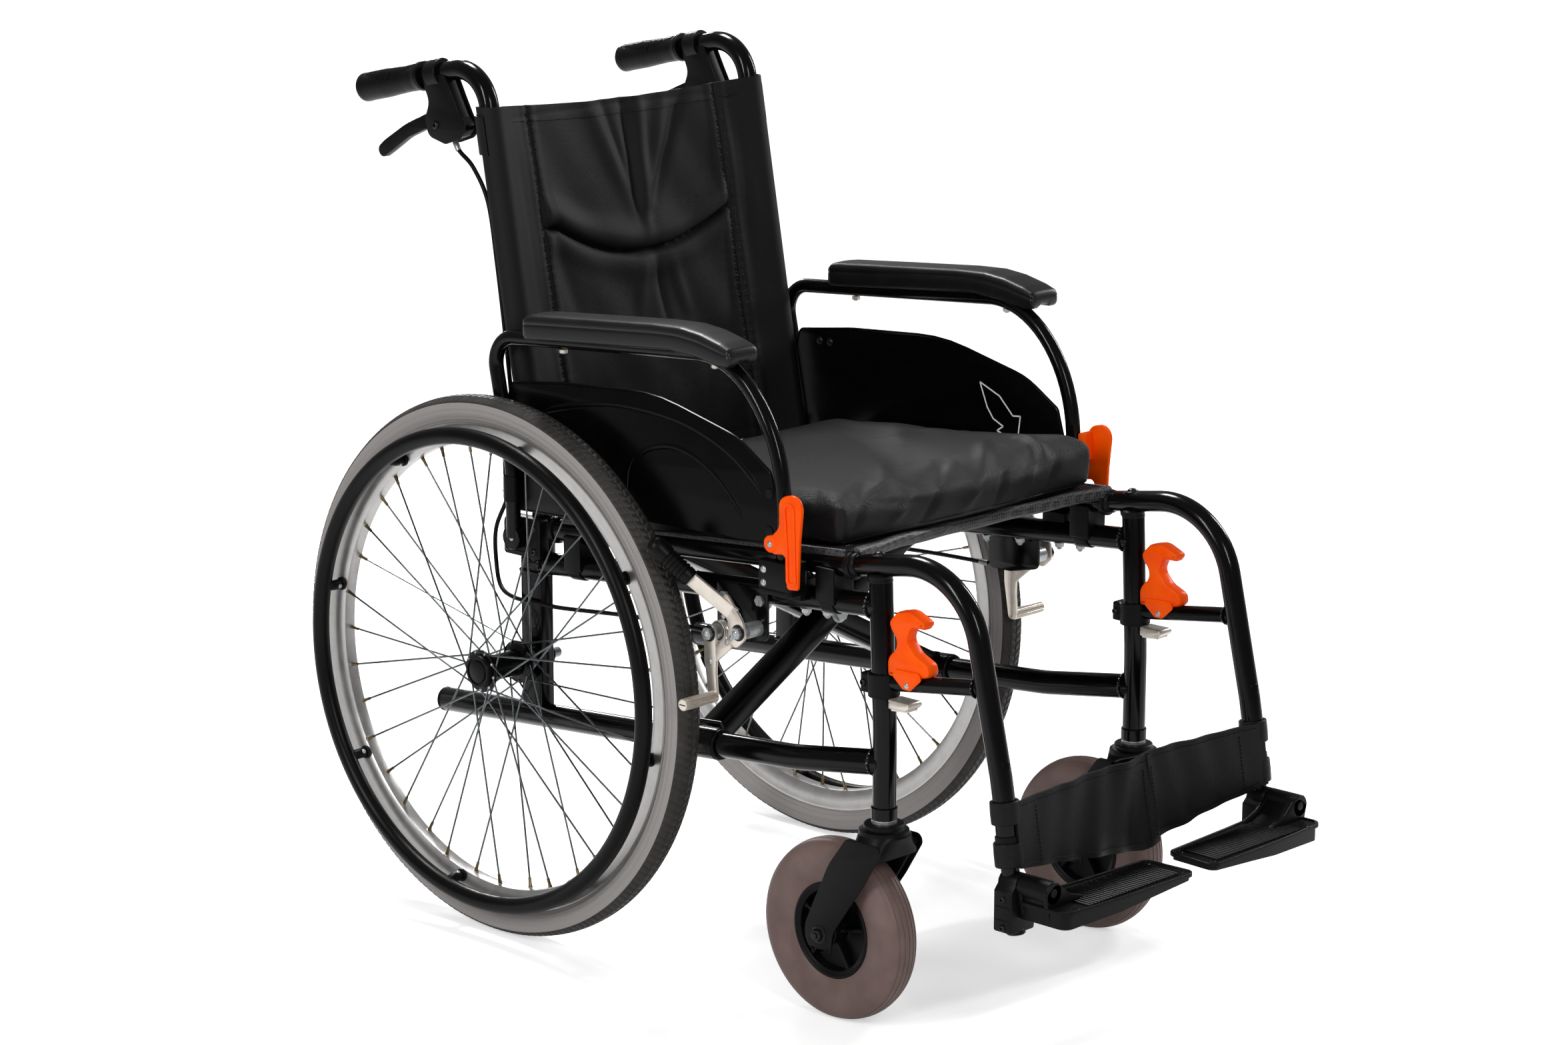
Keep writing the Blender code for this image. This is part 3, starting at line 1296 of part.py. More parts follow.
def latch_pivot(s):
    share = (LATCH_STATION - CROSSBAR_REAR[0]) / (CROSSBAR_FRONT[0] - CROSSBAR_REAR[0])
    z = CROSSBAR_REAR[1] + share * (CROSSBAR_FRONT[1] - CROSSBAR_REAR[1])
    return side_point(s, FRAME_X, LATCH_STATION, z)


def extension_point(s, z):
    return side_point(s, FRAME_X, hanger_y(z), z)


def footrest_hanger(s, word):
    """The swing-away hanger: bent tube, top pin, crossbar, collar and pawl."""
    hanger = tube(hanger_path(s), HANGER_RADIUS)
    top = hanger_pin_point(s, HANGER_START_Z + 0.004)
    pin_low = hanger_pin_point(s, POST_TOP_Z - HANGER_PIN_DEPTH)
    crossbar = tube([side_point(s, FRAME_X, *CROSSBAR_REAR), side_point(s, FRAME_X, *CROSSBAR_FRONT)],
                    CROSSBAR_RADIUS)
    collar = rod(hanger_pin_point(s, COLLAR_LOW), hanger_pin_point(s, COLLAR_HIGH), POST_RADIUS + 0.0042, 12)
    collar_y = post_y(COLLAR_LOW)
    pawl = block(side_point(s, FRAME_X - 0.011, collar_y - 0.042, COLLAR_LOW - 0.009),
                 side_point(s, FRAME_X + 0.011, collar_y - POST_RADIUS - 0.002, COLLAR_LOW + 0.001), 0.001)
    hanger = fused(hanger, rod(pin_low, top, HANGER_PIN, 12), crossbar, collar, pawl)
    pivot = latch_pivot(s)
    wide = ACROSS * 0.02
    hanger = cut(
        hanger,
        bore(hanger_pin_point(s, COLLAR_LOW - 0.02), hanger_pin_point(s, COLLAR_HIGH + 0.02),
             POST_RADIUS, 12),
        bore(pivot - wide, pivot + wide, LATCH_PIN, 8),
        bore(extension_point(s, HANGER_FOOT_Z - 0.02), extension_point(s, EXTENSION_BORE_Z),
             EXTENSION_RADIUS, 10))
    part(hanger, word + "_footrest_hanger", BLACK_PAINT, side_point(s, FRAME_X, POST_TOP_Y, POST_TOP_Z))


def hanger_latch(s, word):
    """The hook that frees the hanger: it straddles the crossbar and turns on a pin through it."""
    pivot = latch_pivot(s)
    y, z = pivot.y, pivot.z
    outline = soft_outline([
        (y + 0.027, z + 0.009, 0.003),
        (y + 0.028, z + 0.024, 0.004),
        (y + 0.013, z + 0.040, 0.005),
        (y + 0.021, z + 0.052, 0.005),
        (y + 0.017, z + 0.069, 0.006),
        (y - 0.002, z + 0.074, 0.006),
        (y - 0.021, z + 0.066, 0.003),
        (y - 0.005, z + 0.055, 0.005),
        (y - 0.003, z + 0.040, 0.005),
        (y - 0.024, z + 0.029, 0.004),
        (y - 0.027, z + 0.014, 0.003),
        (y - 0.009, z - 0.007, 0.003),
        (y + 0.009, z - 0.008, 0.004),
        (y + 0.013, z + 0.004, 0.004),
    ])
    inner = CROSSBAR_RADIUS + 2 * GAP
    latch = side_plate([outline], 2 * (inner + LATCH_CHEEK), s * FRAME_X)
    rise = atan2(CROSSBAR_FRONT[1] - CROSSBAR_REAR[1], CROSSBAR_REAR[0] - CROSSBAR_FRONT[0]) + LATCH_SWING
    roof = z + inner / cos(rise)
    slot = [(y + 0.05, z - 0.03), (y + 0.05, roof - 0.003), (y, roof), (y - 0.05, roof + 0.05 * tan(rise)),
            (y - 0.05, z - 0.03)]
    latch = cut(latch, side_plate([slot], 2 * inner, s * FRAME_X))
    reach = inner + LATCH_CHEEK / 2
    latch = fused(latch, rod(pivot - ACROSS * reach, pivot + ACROSS * reach, LATCH_PIN, 8))
    part(latch, word + "_hanger_latch", ORANGE, pivot)


def plate_pivot(s, y=BLOCK_FRONT):
    return side_point(s, FRAME_X, y, PLATE_PIVOT_Z)


def footrest_tube(s, word):
    """The extension tube with the block and the pin that carry the footplate."""
    post = tube([extension_point(s, EXTENSION_FOOT_Z), extension_point(s, EXTENSION_HEAD_Z)],
                EXTENSION_RADIUS)
    r = PLATE_PIVOT_RADIUS
    foot = EXTENSION_FOOT_Z + 0.001
    frame = frame_of((1, 0, 0), (0, 0, 1), (s * FRAME_X, (BLOCK_FRONT + BLOCK_REAR) / 2, 0))
    head = [Vector((r * cos(a), PLATE_PIVOT_Z + r * sin(a))) for a in [pi * k / 6 for k in range(7)]]
    outline = [Vector((0.0175, foot)), Vector((0.0175, PLATE_PIVOT_Z - 0.006))] + head
    outline += [Vector((-0.0185, PLATE_PIVOT_Z - 0.006)), Vector((-0.0185, foot))]
    outline = [Vector((s * p.x, p.y)) for p in outline]
    carrier = plate([outline], BLOCK_REAR - BLOCK_FRONT, frame)
    pin = rod(plate_pivot(s, BLOCK_REAR - 0.002), plate_pivot(s, SLEEVE_FRONT + 0.004), PLATE_PIN, 12)
    part(fused(post, carrier, pin), word + "_footrest_tube", BLACK_PAINT, extension_point(s, HANGER_FOOT_Z))


def footplate(s, word):
    """The footplate: a slab that thins inwards, a pivot sleeve and an arm up to it."""
    outline = soft_outline([(x * s, y, r) for x, y, r in (
        (FRAME_X + 0.006, BLOCK_FRONT - GAP, 0.002),
        (FRAME_X + 0.006, PLATE_FRONT + 0.005, 0.008),
        (0.120, PLATE_FRONT - 0.000, 0.2),
        (PLATE_INNER, PLATE_FRONT, 0.006),
        (PLATE_INNER, BLOCK_FRONT - 0.010, 0.006),
        (0.125, BLOCK_FRONT - 0.004, 0.02),
        (0.170, BLOCK_FRONT - GAP, 0),
    )])
    low = PLATE_TOP - PLATE_THICK
    slab = floor_plate([outline], PLATE_THICK, PLATE_TOP - PLATE_THICK / 2, "slab")
    under = frame_of((1, 0, 0), (0, 0, 1), (0, (PLATE_FRONT + BLOCK_REAR) / 2, 0))
    thin = plate([[(s * (PLATE_INNER - 0.01), low - 0.01), (s * (PLATE_INNER - 0.01), PLATE_TOP - 0.009),
                   (s * 0.085, PLATE_TOP - 0.013), (s * 0.150, low - 0.0005), (s * 0.150, low - 0.01)]],
                 0.15, under)
    slab = cut(slab, thin)
    r = PLATE_PIVOT_RADIUS
    sleeve = rod(plate_pivot(s, BLOCK_FRONT - GAP), plate_pivot(s, SLEEVE_FRONT), r, 12)
    arm = plate([[(s * (FRAME_X + r * 0.5), low + 0.002), (s * (FRAME_X + r * 0.9), PLATE_PIVOT_Z),
                  (s * (FRAME_X - r * 0.4), PLATE_PIVOT_Z + r * 0.9),
                  (s * (FRAME_X - 0.030), PLATE_TOP + 0.004),
                  (s * (FRAME_X - 0.050), PLATE_TOP - 0.001), (s * (FRAME_X - 0.050), low + 0.002)]],
                BLOCK_FRONT - GAP - SLEEVE_FRONT,
                frame_of((1, 0, 0), (0, 0, 1), (0, (BLOCK_FRONT - GAP + SLEEVE_FRONT) / 2, 0)))
    foot = fused(slab, arm, sleeve)
    foot = cut(foot, bore(plate_pivot(s, BLOCK_REAR), plate_pivot(s, SLEEVE_FRONT - 0.01), PLATE_PIN, 12))
    part(foot, word + "_footplate", BLACK_PLASTIC, plate_pivot(s))


def calf_strap(s, word, lap):
    """Half the calf strap: a sagging band with two loops round the hanger."""
    shell = HANGER_RADIUS + 2 * GAP
    outer = shell + STRAP_THICK
    height = STRAP_TOP - STRAP_FOOT
    columns = 5
    bm = bmesh.new()
    rows = (STRAP_FOOT, STRAP_TOP)
    grid = []
    reach = FRAME_X + STRAP_LAP
    for i in range(columns + 1):
        x = FRAME_X - reach * i / columns
        share = 1 - min(1.0, abs(x) / FRAME_X) ** 2
        column = []
        for z in rows:
            drop = 0.03 * (1 - abs(x) / FRAME_X) if z == STRAP_FOOT else 0
            y = hanger_y(z) - shell - STRAP_THICK / 2 + STRAP_SAG * share + lap * share
            column.append(bm.verts.new((s * x, y, z - drop)))
        grid.append(column)
    for left, right in zip(grid, grid[1:]):
        bm.faces.new((left[0], right[0], right[1], left[1]))
    band = mesh_piece("band", bm)
    solid = band.modifiers.new("cloth", "SOLIDIFY")
    solid.thickness = STRAP_THICK
    solid.offset = 0
    strap = baked(band)
    for low, high in ((STRAP_FOOT, STRAP_FOOT + height * 0.37), (STRAP_TOP - height * 0.35, STRAP_TOP)):
        ring = rod(extension_point(s, low), extension_point(s, high), outer, 12)
        strap = fused(strap, ring)
    strap = cut(strap, bore(extension_point(s, STRAP_FOOT - 0.02), extension_point(s, STRAP_TOP + 0.02),
                            HANGER_RADIUS + GAP, 12))
    part(strap, word + "_calf_strap", WEBBING, extension_point(s, STRAP_TOP))


# Wheel locks


def wheel_lock_bracket(s, word):
    """The plate on the upper rail, with the two pivot pins of the lock."""
    y, z = LOCK_PIVOT
    outline = soft_outline([(y - 0.014, z + 0.045, 0.004), (y + 0.060, z + 0.041, 0.004), (y + 0.060, z - 0.021, 0.008),
                            (y + 0.028, z - 0.021, 0.01), (y - 0.014, z - 0.012, 0.008)])
    bracket = side_plate([outline], LOCK_PLATE_THICK, s * LOCK_PLATE_X)
    for y, z in (LOCK_PIVOT, LOCK_SHOE_PIVOT):
        boss = rod(side_point(s, LOCK_PLATE_X, y, z),
                   side_point(s, LOCK_ARM_X - LOCK_PLATE_GAUGE / 2 - GAP, y, z), LOCK_BOSS, 8)
        tip = LOCK_LEVER_X if (y, z) == LOCK_PIVOT else LOCK_ARM_X
        end = tip + LOCK_PLATE_GAUGE / 2
        pin = rod(side_point(s, LOCK_PLATE_X, y, z), side_point(s, end + 0.004, y, z), LOCK_PIN, 8)
        bracket = fused(bracket, boss, pin)
    part(bracket, word + "_wheel_lock_bracket", BLACK_PAINT)


def bar(start, end, width, thick, square):
    """A flat bar between two points, its thickness along the given direction."""
    start, end = Vector(start), Vector(end)
    along = (end - start).normalized()
    flat = Vector(square) - along * along.dot(Vector(square))
    flat.normalize()
    across = flat.cross(along)
    bm = bmesh.new()
    bmesh.ops.create_cube(bm, size=1)
    bmesh.ops.scale(bm, vec=(width, thick, (end - start).length), verts=bm.verts)
    turn = Matrix((across, flat, along)).transposed().to_4x4()
    bmesh.ops.transform(bm, matrix=Matrix.Translation((start + end) / 2) @ turn, verts=bm.verts)
    return mesh_piece("bar", bm)


def wheel_lock_lever(s, word):
    """The lock lever: a cranked plate on its pivot, a leaning bar and a grip."""
    y, z = LOCK_PIVOT
    outline = soft_outline([
        (y - 0.009, z - 0.006, 0.006),
        (y + 0.004, z - 0.018, 0.006),
        (y + 0.018, z - 0.012, 0.006),
        (y + 0.014, z + 0.006, 0.010),
        (y + 0.030, z + 0.031, 0.004),
        (y + 0.018, z + 0.040, 0.004),
        (y - 0.006, z + 0.012, 0.012),
    ])
    lever = side_plate([outline], LOCK_PLATE_GAUGE, s * LOCK_LEVER_X)
    low = side_point(s, LOCK_LEVER_X, y + 0.012, z + 0.020)
    mid = side_point(s, WHEEL_X, tyre_front(z + LOCK_BEND_RISE, LOCK_BEND_CLEAR), z + LOCK_BEND_RISE)
    tip = side_point(s, WHEEL_X + 0.0192, tyre_front(z + LOCK_TIP_RISE, LOCK_TIP_CLEAR), z + LOCK_TIP_RISE)
    lever = fused(lever, bar(low, mid, 0.017, LOCK_PLATE_GAUGE, (1, 0, 0)),
                  rod(mid, tip, LOCK_GRIP_RADIUS - 0.0012, 12, tip=LOCK_GRIP_RADIUS))
    lever = cut(lever, bore(side_point(s, 0.23, y, z), side_point(s, 0.26, y, z), LOCK_PIN, 8))
    part(lever, word + "_wheel_lock_lever", NICKEL, side_point(s, LOCK_LEVER_X, y, z))


def wheel_lock_shoe(s, word):
    """The arm that presses the roller on the tyre, with its link to the lever."""
    py, pz = LOCK_SHOE_PIVOT
    ly, lz = LOCK_LINK
    arm = soft_outline([(py - 0.0085, pz + 0.008, 0.006), (py + 0.0085, pz + 0.008, 0.006),
                        (ly + 0.0085, lz, 0.006), (LOCK_ROLLER[0] + 0.006, LOCK_ROLLER[1] - 0.006, 0.004),
                        (LOCK_ROLLER[0] - 0.006, LOCK_ROLLER[1] - 0.006, 0.004),
                        (ly - 0.008, lz - 0.012, 0.006), (ly - 0.0085, lz + 0.004, 0.004)])
    link = soft_outline([(ly + 0.004, lz - 0.009, 0.006), (ly + 0.006, lz + 0.006, 0.004),
                         (LOCK_PIVOT[0] + 0.024, LOCK_PIVOT[1] - 0.008, 0.004),
                         (LOCK_PIVOT[0] + 0.014, LOCK_PIVOT[1] - 0.019, 0.004)])
    shoe = side_plate([arm], LOCK_PLATE_GAUGE, s * LOCK_ARM_X)
    shoe = fused(shoe, side_plate([link], LOCK_PLATE_GAUGE * 0.9, s * LOCK_ARM_X))
    shoe = fused(shoe, rod(side_point(s, LOCK_ARM_X, *LOCK_ROLLER),
                           side_point(s, LOCK_ROLLER_OUT, *LOCK_ROLLER), LOCK_ROLLER_RADIUS, 12))
    shoe = cut(shoe, bore(side_point(s, 0.23, py, pz), side_point(s, 0.26, py, pz), LOCK_PIN, 8))
    part(shoe, word + "_wheel_lock_shoe", NICKEL, side_point(s, LOCK_ARM_X, py, pz))


# Upholstery


def cloth_sheet(columns, rows, place, thickness, name):
    """A sheet of cloth: a grid of points given by a function, thickened both ways."""
    bm = bmesh.new()
    grid = [[bm.verts.new(place(i / columns, k / rows)) for k in range(rows + 1)]
            for i in range(columns + 1)]
    for i in range(columns):
        for k in range(rows):
            bm.faces.new((grid[i][k], grid[i + 1][k], grid[i + 1][k + 1], grid[i][k + 1]))
    sheet = mesh_piece(name, bm)
    solid = sheet.modifiers.new("cloth", "SOLIDIFY")
    solid.thickness = thickness
    solid.offset = 0
    return baked(sheet)


def sling_top(y):
    """Height of the sling's middle surface where it lies on the rails."""
    return rail_z(SEAT_Z, y) + SEAT_RADIUS / cos(SLOPE) + GAP + SEAT_CLOTH / 2


def sling_sag(x, y):
    """How far the sling hangs under its line over the rails."""
    inside = max(0.0, 1 - (x / SLING_REST) ** 2)
    return SLING_SAG * inside * (1 - 0.25 * (y - SLING_FRONT) / (SLING_REAR - SLING_FRONT))


def seat_sling():
    """The sling: flat on both rails, hanging in a shallow curve between them."""
    columns = 10

    def place(u, v):
        step = round(u * columns) - columns // 2
        x = SLING_REST * step / (columns // 2 - 1)
        if abs(step) == columns // 2:
            x = SLING_HALF * step / abs(step)
        curve = SLING_CURVE * cos(x / SLING_HALF * pi / 2)
        y = SLING_FRONT + curve + (SLING_REAR - SLING_FRONT - curve) * v
        return (x, y, sling_top(y) - sling_sag(x, y))

    part(cloth_sheet(columns, 4, place, SEAT_CLOTH, "sling"), "seat_sling", CLOTH)


def seat_cushion():
    """The cushion: a rounded box whose sides draw in, with a crown and a soft front ridge."""
    columns, rows, layers = 8, 8, 3
    middle_y = (CUSHION_FRONT + CUSHION_REAR) / 2
    half_y = (CUSHION_REAR - CUSHION_FRONT) / 2
    bm = bmesh.new()
    bmesh.ops.create_cube(bm, size=2)
    bmesh.ops.subdivide_edges(bm, edges=[e for e in bm.edges if along_axis(e, 0)], cuts=columns - 1,
                              use_grid_fill=True)
    bmesh.ops.subdivide_edges(bm, edges=[e for e in bm.edges if along_axis(e, 1)], cuts=rows - 1,
                              use_grid_fill=True)
    bmesh.ops.subdivide_edges(bm, edges=[e for e in bm.edges if along_axis(e, 2)], cuts=layers - 1,
                              use_grid_fill=True)
    for vert in bm.verts:
        u, v, w = vert.co
        vert.co = cushion_point(u, v, w, middle_y, half_y)
    part(mesh_piece("cushion", bm), "seat_cushion", CLOTH)


def along_axis(edge, axis):
    way = (edge.verts[0].co - edge.verts[1].co)
    return abs(way[axis]) > 0.9 * way.length


def cushion_point(u, v, w, middle_y, half_y):
    """A point of the cushion from its place in a unit cube."""
    tuck = CUSHION_TUCK * (1 - w * w)
    corner = 1 - 0.02 * (abs(u) * abs(v)) ** 8
    x = u * corner * (CUSHION_HALF - tuck * abs(u) ** 6)
    y = middle_y + v * corner * (half_y - tuck * abs(v) ** 6)
    crown = CUSHION_CROWN * (1 - u ** 4) * (1 - v ** 4)
    edge = CUSHION_EDGE * (max(abs(u), abs(v)) ** 10)
    share = (w + 1) / 2
    base = sling_top(y) + SEAT_CLOTH / 2 + 3 * GAP - sling_sag(x, y) * (1 - share)
    lift = (crown - edge) * w if w > 0 else -edge * w
    return Vector((x, y, base + share * CUSHION_THICK + lift))


BACK_WRAP_COLUMNS = 3
BACK_COLUMNS = 22
BACK_ROWS = 7
BACK_WRAP_START = radians(-24)
BACK_WRAP_END = radians(112)
BACK_WRAP_STEP = (BACK_WRAP_END - BACK_WRAP_START) / BACK_WRAP_COLUMNS
BACK_WRAP_RADIUS = (CANE_RADIUS + 2 * GAP) / cos(BACK_WRAP_STEP / 2) / cos(CANE_RECLINE) + SEAT_CLOTH / 2
BACK_SPAN = CANE_X + BACK_WRAP_RADIUS * sin(BACK_WRAP_START)


def back_surface(x, z):
    """Depth of the back cloth behind its two edges: its sag, its crease and its upright folds."""
    share = min(1.0, abs(x) / BACK_SPAN)
    height = (z - BACK_FOOT) / (BACK_HEAD - BACK_FOOT)
    sag = BACK_SAG * (1 - share ** 3) * (0.75 + 0.25 * height)
    crease_z = BACK_FOOT + (BACK_HEAD - BACK_FOOT) * (0.56 + 0.10 * min(1.0, abs(x) / 0.13) ** 2)
    crease = BACK_CREASE_DEPTH * max(0.0, 1 - abs(z - crease_z) / 0.030) * max(0.0, 1 - (x / 0.15) ** 4)
    pleat = 0.0022 * cos(x * 2 * pi / BACK_PLEAT) * (1 - share) * (1 - abs(2 * height - 1))
    return sag + crease + pleat


def back_upholstery():
    """The back cloth: hung between the canes and wrapped round them."""
    middle = BACK_COLUMNS // 2 - BACK_WRAP_COLUMNS

    def place(u, v):
        z = BACK_FOOT + (BACK_HEAD - BACK_FOOT) * v
        step = round(u * BACK_COLUMNS) - BACK_COLUMNS // 2
        side = -1 if step < 0 else 1
        if abs(step) <= middle:
            x = BACK_SPAN * step / middle
            return (x, cane_y(z) - BACK_WRAP_RADIUS * cos(BACK_WRAP_START) + back_surface(x, z), z)
        angle = BACK_WRAP_START + (abs(step) - middle) * BACK_WRAP_STEP
        return (side * (CANE_X + BACK_WRAP_RADIUS * sin(angle)), cane_y(z) - BACK_WRAP_RADIUS * cos(angle), z)

    part(cloth_sheet(BACK_COLUMNS, BACK_ROWS, place, SEAT_CLOTH, "back"), "back_upholstery", CLOTH)


def build():
    for s, word in SIDES:
        side_frame(s, word)
        for make in (rear_tyre, rear_rim, rear_hub, hand_rim, rear_axle, castor_tyre, castor_core,
                     castor_fork, back_cane, push_grip, lever_clamp, brake_lever, brake_cable, armrest_tube,
                     armrest_pad, side_panel, armrest_latch, footrest_hanger, hanger_latch, footrest_tube,
                     footplate, wheel_lock_bracket, wheel_lock_lever, wheel_lock_shoe):
            make(s, word)
        calf_strap(s, word, 0.0022 * s)
    brace(RIGHT, BRACE_OFFSET, "brace_b")
    brace(LEFT, -BRACE_OFFSET, "brace_a")
    brace_pivot_bolt()
    seat_sling()
    seat_cushion()
    back_upholstery()


build()
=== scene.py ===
"""Looks of a folding wheelchair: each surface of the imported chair, built round its fixed frame.

Metres, +Z up, front towards -Y, the user's right hand on the -X side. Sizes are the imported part's own:
stations (y) count from the rear axle, heights (z) from the floor and widths (x) outwards from the middle.
A piece is turned to its side and moved into the frame when it is laid on its body.
"""
from __future__ import annotations

import logging
import math
from dataclasses import dataclass
from enum import Enum
from typing import Iterable, Mapping, Sequence

import bmesh
import bpy
import numpy as np
from mathutils import Matrix, Vector
from mathutils.geometry import tessellate_polygon


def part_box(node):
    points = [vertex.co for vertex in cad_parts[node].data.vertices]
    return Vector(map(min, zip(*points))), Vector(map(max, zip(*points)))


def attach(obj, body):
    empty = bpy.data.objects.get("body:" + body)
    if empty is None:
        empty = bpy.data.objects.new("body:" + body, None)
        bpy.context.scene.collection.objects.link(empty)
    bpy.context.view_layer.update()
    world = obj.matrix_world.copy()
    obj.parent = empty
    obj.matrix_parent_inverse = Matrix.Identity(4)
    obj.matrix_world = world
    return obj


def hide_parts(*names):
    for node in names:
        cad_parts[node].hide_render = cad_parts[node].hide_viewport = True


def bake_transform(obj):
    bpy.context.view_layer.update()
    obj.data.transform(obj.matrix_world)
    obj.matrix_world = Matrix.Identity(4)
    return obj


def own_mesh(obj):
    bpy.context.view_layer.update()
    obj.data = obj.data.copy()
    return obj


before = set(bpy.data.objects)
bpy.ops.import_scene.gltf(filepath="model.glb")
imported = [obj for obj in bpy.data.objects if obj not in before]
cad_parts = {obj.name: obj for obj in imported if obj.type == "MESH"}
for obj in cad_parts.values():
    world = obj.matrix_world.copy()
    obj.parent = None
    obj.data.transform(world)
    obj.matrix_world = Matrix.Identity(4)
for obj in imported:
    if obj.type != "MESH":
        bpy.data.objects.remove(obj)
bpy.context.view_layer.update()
LOG = logging.getLogger("folding_wheelchair")
Place = Sequence[float]
Object = bpy.types.Object
Node = bpy.types.Node
Tree = bpy.types.NodeTree
Socket = bpy.types.NodeSocket


class Side(Enum):
    """The user's right or left side; its value is the sign of x there."""

    RIGHT = -1
    LEFT = 1

    @property
    def word(self) -> str:
        """The word that node and body names begin with."""
        return self.name.lower()


def node_middle(node: str) -> Vector:
    """The middle of a CAD node's box, in the frame."""
    low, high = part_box(node)
    return (low + high) / 2


AXLE_Y = node_middle("right_rear_tyre").y
AXLE_Z = node_middle("right_rear_tyre").z
CASTOR_Y = node_middle("right_castor_tyre").y - AXLE_Y
CASTOR_Z = node_middle("right_castor_tyre").z
FRAME_X = 0.2045
SLOPE = math.radians(4.5)
LOWER_Z = 0.2382
UPPER_Z = LOWER_Z + 0.1749
POST_TOP = (-0.5163, 0.4822)
STEM_Y = CASTOR_Y - 0.0606
SEAT_RAIL_Z = 0.4526
TAU = 2 * math.pi
OUTWARD = (1, 0, 0)
FORWARD = (0, -1, 0)
UPWARD = (0, 0, 1)
DOWNWARD = (0, 0, -1)


def rail_z(base: float, y: float) -> float:
    """Height of a sloping rail at a station, from its height at the axle."""
    return base - y * math.tan(SLOPE)


# Forms


@dataclass
class Shape:
    """The points and faces of one form, before it joins a piece."""

    points: np.ndarray
    faces: list[tuple[int, ...]]

    def __add__(self, other: "Shape") -> "Shape":
        """Both forms as one."""
        shift = len(self.points)
        faces = self.faces + [tuple(i + shift for i in face) for face in other.faces]
        return Shape(np.vstack([self.points, other.points]), faces)

    def placed(self, matrix: Matrix) -> "Shape":
        """The form moved by a matrix."""
        turn = np.array(matrix)
        return Shape(self.points @ turn[:3, :3].T + turn[:3, 3], self.faces)


def skin(grid: np.ndarray, wrap_rows: bool = False, wrap_columns: bool = False) -> Shape:
    """Faces over a grid of points.

    Args:
        grid: points as rows by columns by three numbers.
        wrap_rows: whether the last row joins the first.
        wrap_columns: whether the last column joins the first.

    Returns:
        The skin, open where it doesn't wrap.
    """
    grid = np.asarray(grid, float)
    rows, columns = grid.shape[:2]
    faces = []
    for i in range(rows if wrap_rows else rows - 1):
        k = (i + 1) % rows
        for j in range(columns if wrap_columns else columns - 1):
            m = (j + 1) % columns
            faces.append((i * columns + j, i * columns + m, k * columns + m, k * columns + j))
    return Shape(grid.reshape(-1, 3), faces)


def loft(rings: np.ndarray) -> Shape:
    """A closed form through rings of points, with a face over each end."""
    shape = skin(rings, wrap_columns=True)
    rows, columns = np.asarray(rings).shape[:2]
    shape.faces.append(tuple(reversed(range(columns))))
    shape.faces.append(tuple((rows - 1) * columns + j for j in range(columns)))
    return shape


def rounded(corners: Iterable[Sequence[float]], closed: bool = False, turn_step: float = 12) -> np.ndarray:
    """A path or outline whose corners are arcs.

    Args:
        corners: each corner's place in two or three numbers, then its radius.
        closed: whether the last corner leads back to the first.
        turn_step: the largest turn between two points of an arc, in degrees.

    Returns:
        The points, in as many numbers as the corners' places.
    """
    corners = [tuple(corner) for corner in corners]
    size = len(corners[0]) - 1
    places = [Vector((*corner[:size], *([0.0] * (3 - size)))) for corner in corners]
    count = len(places)
    made = []
    for i, corner in enumerate(corners):
        here, radius = places[i], corner[-1]
        if radius == 0 or (not closed and i in (0, count - 1)):
            made.append(here)
            continue
        back = (places[i - 1] - here).normalized()
        ahead = (places[(i + 1) % count] - here).normalized()
        turn = math.pi - back.angle(ahead)
        if turn < 0.001:
            made.append(here)
            continue
        centre = here + (back + ahead).normalized() * (radius / math.cos(turn / 2))
        start = here + back * (radius * math.tan(turn / 2)) - centre
        spin = back.cross(ahead).normalized()
        steps = max(1, round(math.degrees(turn) / turn_step))
        for k in range(steps + 1):
            made.append(centre + Matrix.Rotation(-turn * k / steps, 3, spin) @ start)
    return np.array([point[:size] for point in made])


def about(pivot: Sequence[float], corners: Iterable[Place], turn_step: float = 12) -> np.ndarray:
    """A closed outline with arcs for corners, their places counted from a pivot."""
    return rounded([(pivot[0] + a, pivot[1] + b, radius) for a, b, radius in corners], True, turn_step)


def oblong(low: Sequence[float], high: Sequence[float], *radii: float, turn_step: float = 12) -> np.ndarray:
    """A rectangle between two corners, with one radius or one for each corner."""
    places = (low, (high[0], low[1]), high, (low[0], high[1]))
    return rounded([(*place, radius) for place, radius in zip(places, radii * 4)], True, turn_step)


def spline(points: Sequence[Sequence[float]], per_span: int = 8, closed: bool = False) -> np.ndarray:
    """Points read from a smooth curve through the given ones."""
    points = np.asarray(points, float)
    last = len(points) - 1
    made = []
    for i in range(last + 1 if closed else last):
        if closed:
            a, b, c, d = (points[(i + k) % (last + 1)] for k in (-1, 0, 1, 2))
        else:
            a, b, c, d = (points[max(0, min(last, i + k))] for k in (-1, 0, 1, 2))
        for k in range(per_span):
            t = k / per_span
            made.append(0.5 * (2 * b + (c - a) * t + (2 * a - 5 * b + 4 * c - d) * t * t
                + (3 * b - a - 3 * c + d) * t ** 3))
    if not closed:
        made.append(points[last])
    return np.array(made)


def circle(sides: int, radius: float = 1.0, phase: float = 0.0) -> np.ndarray:
    """The points of a circle's outline."""
    angles = phase + TAU * np.arange(sides) / sides
    return radius * np.column_stack([np.cos(angles), np.sin(angles)])


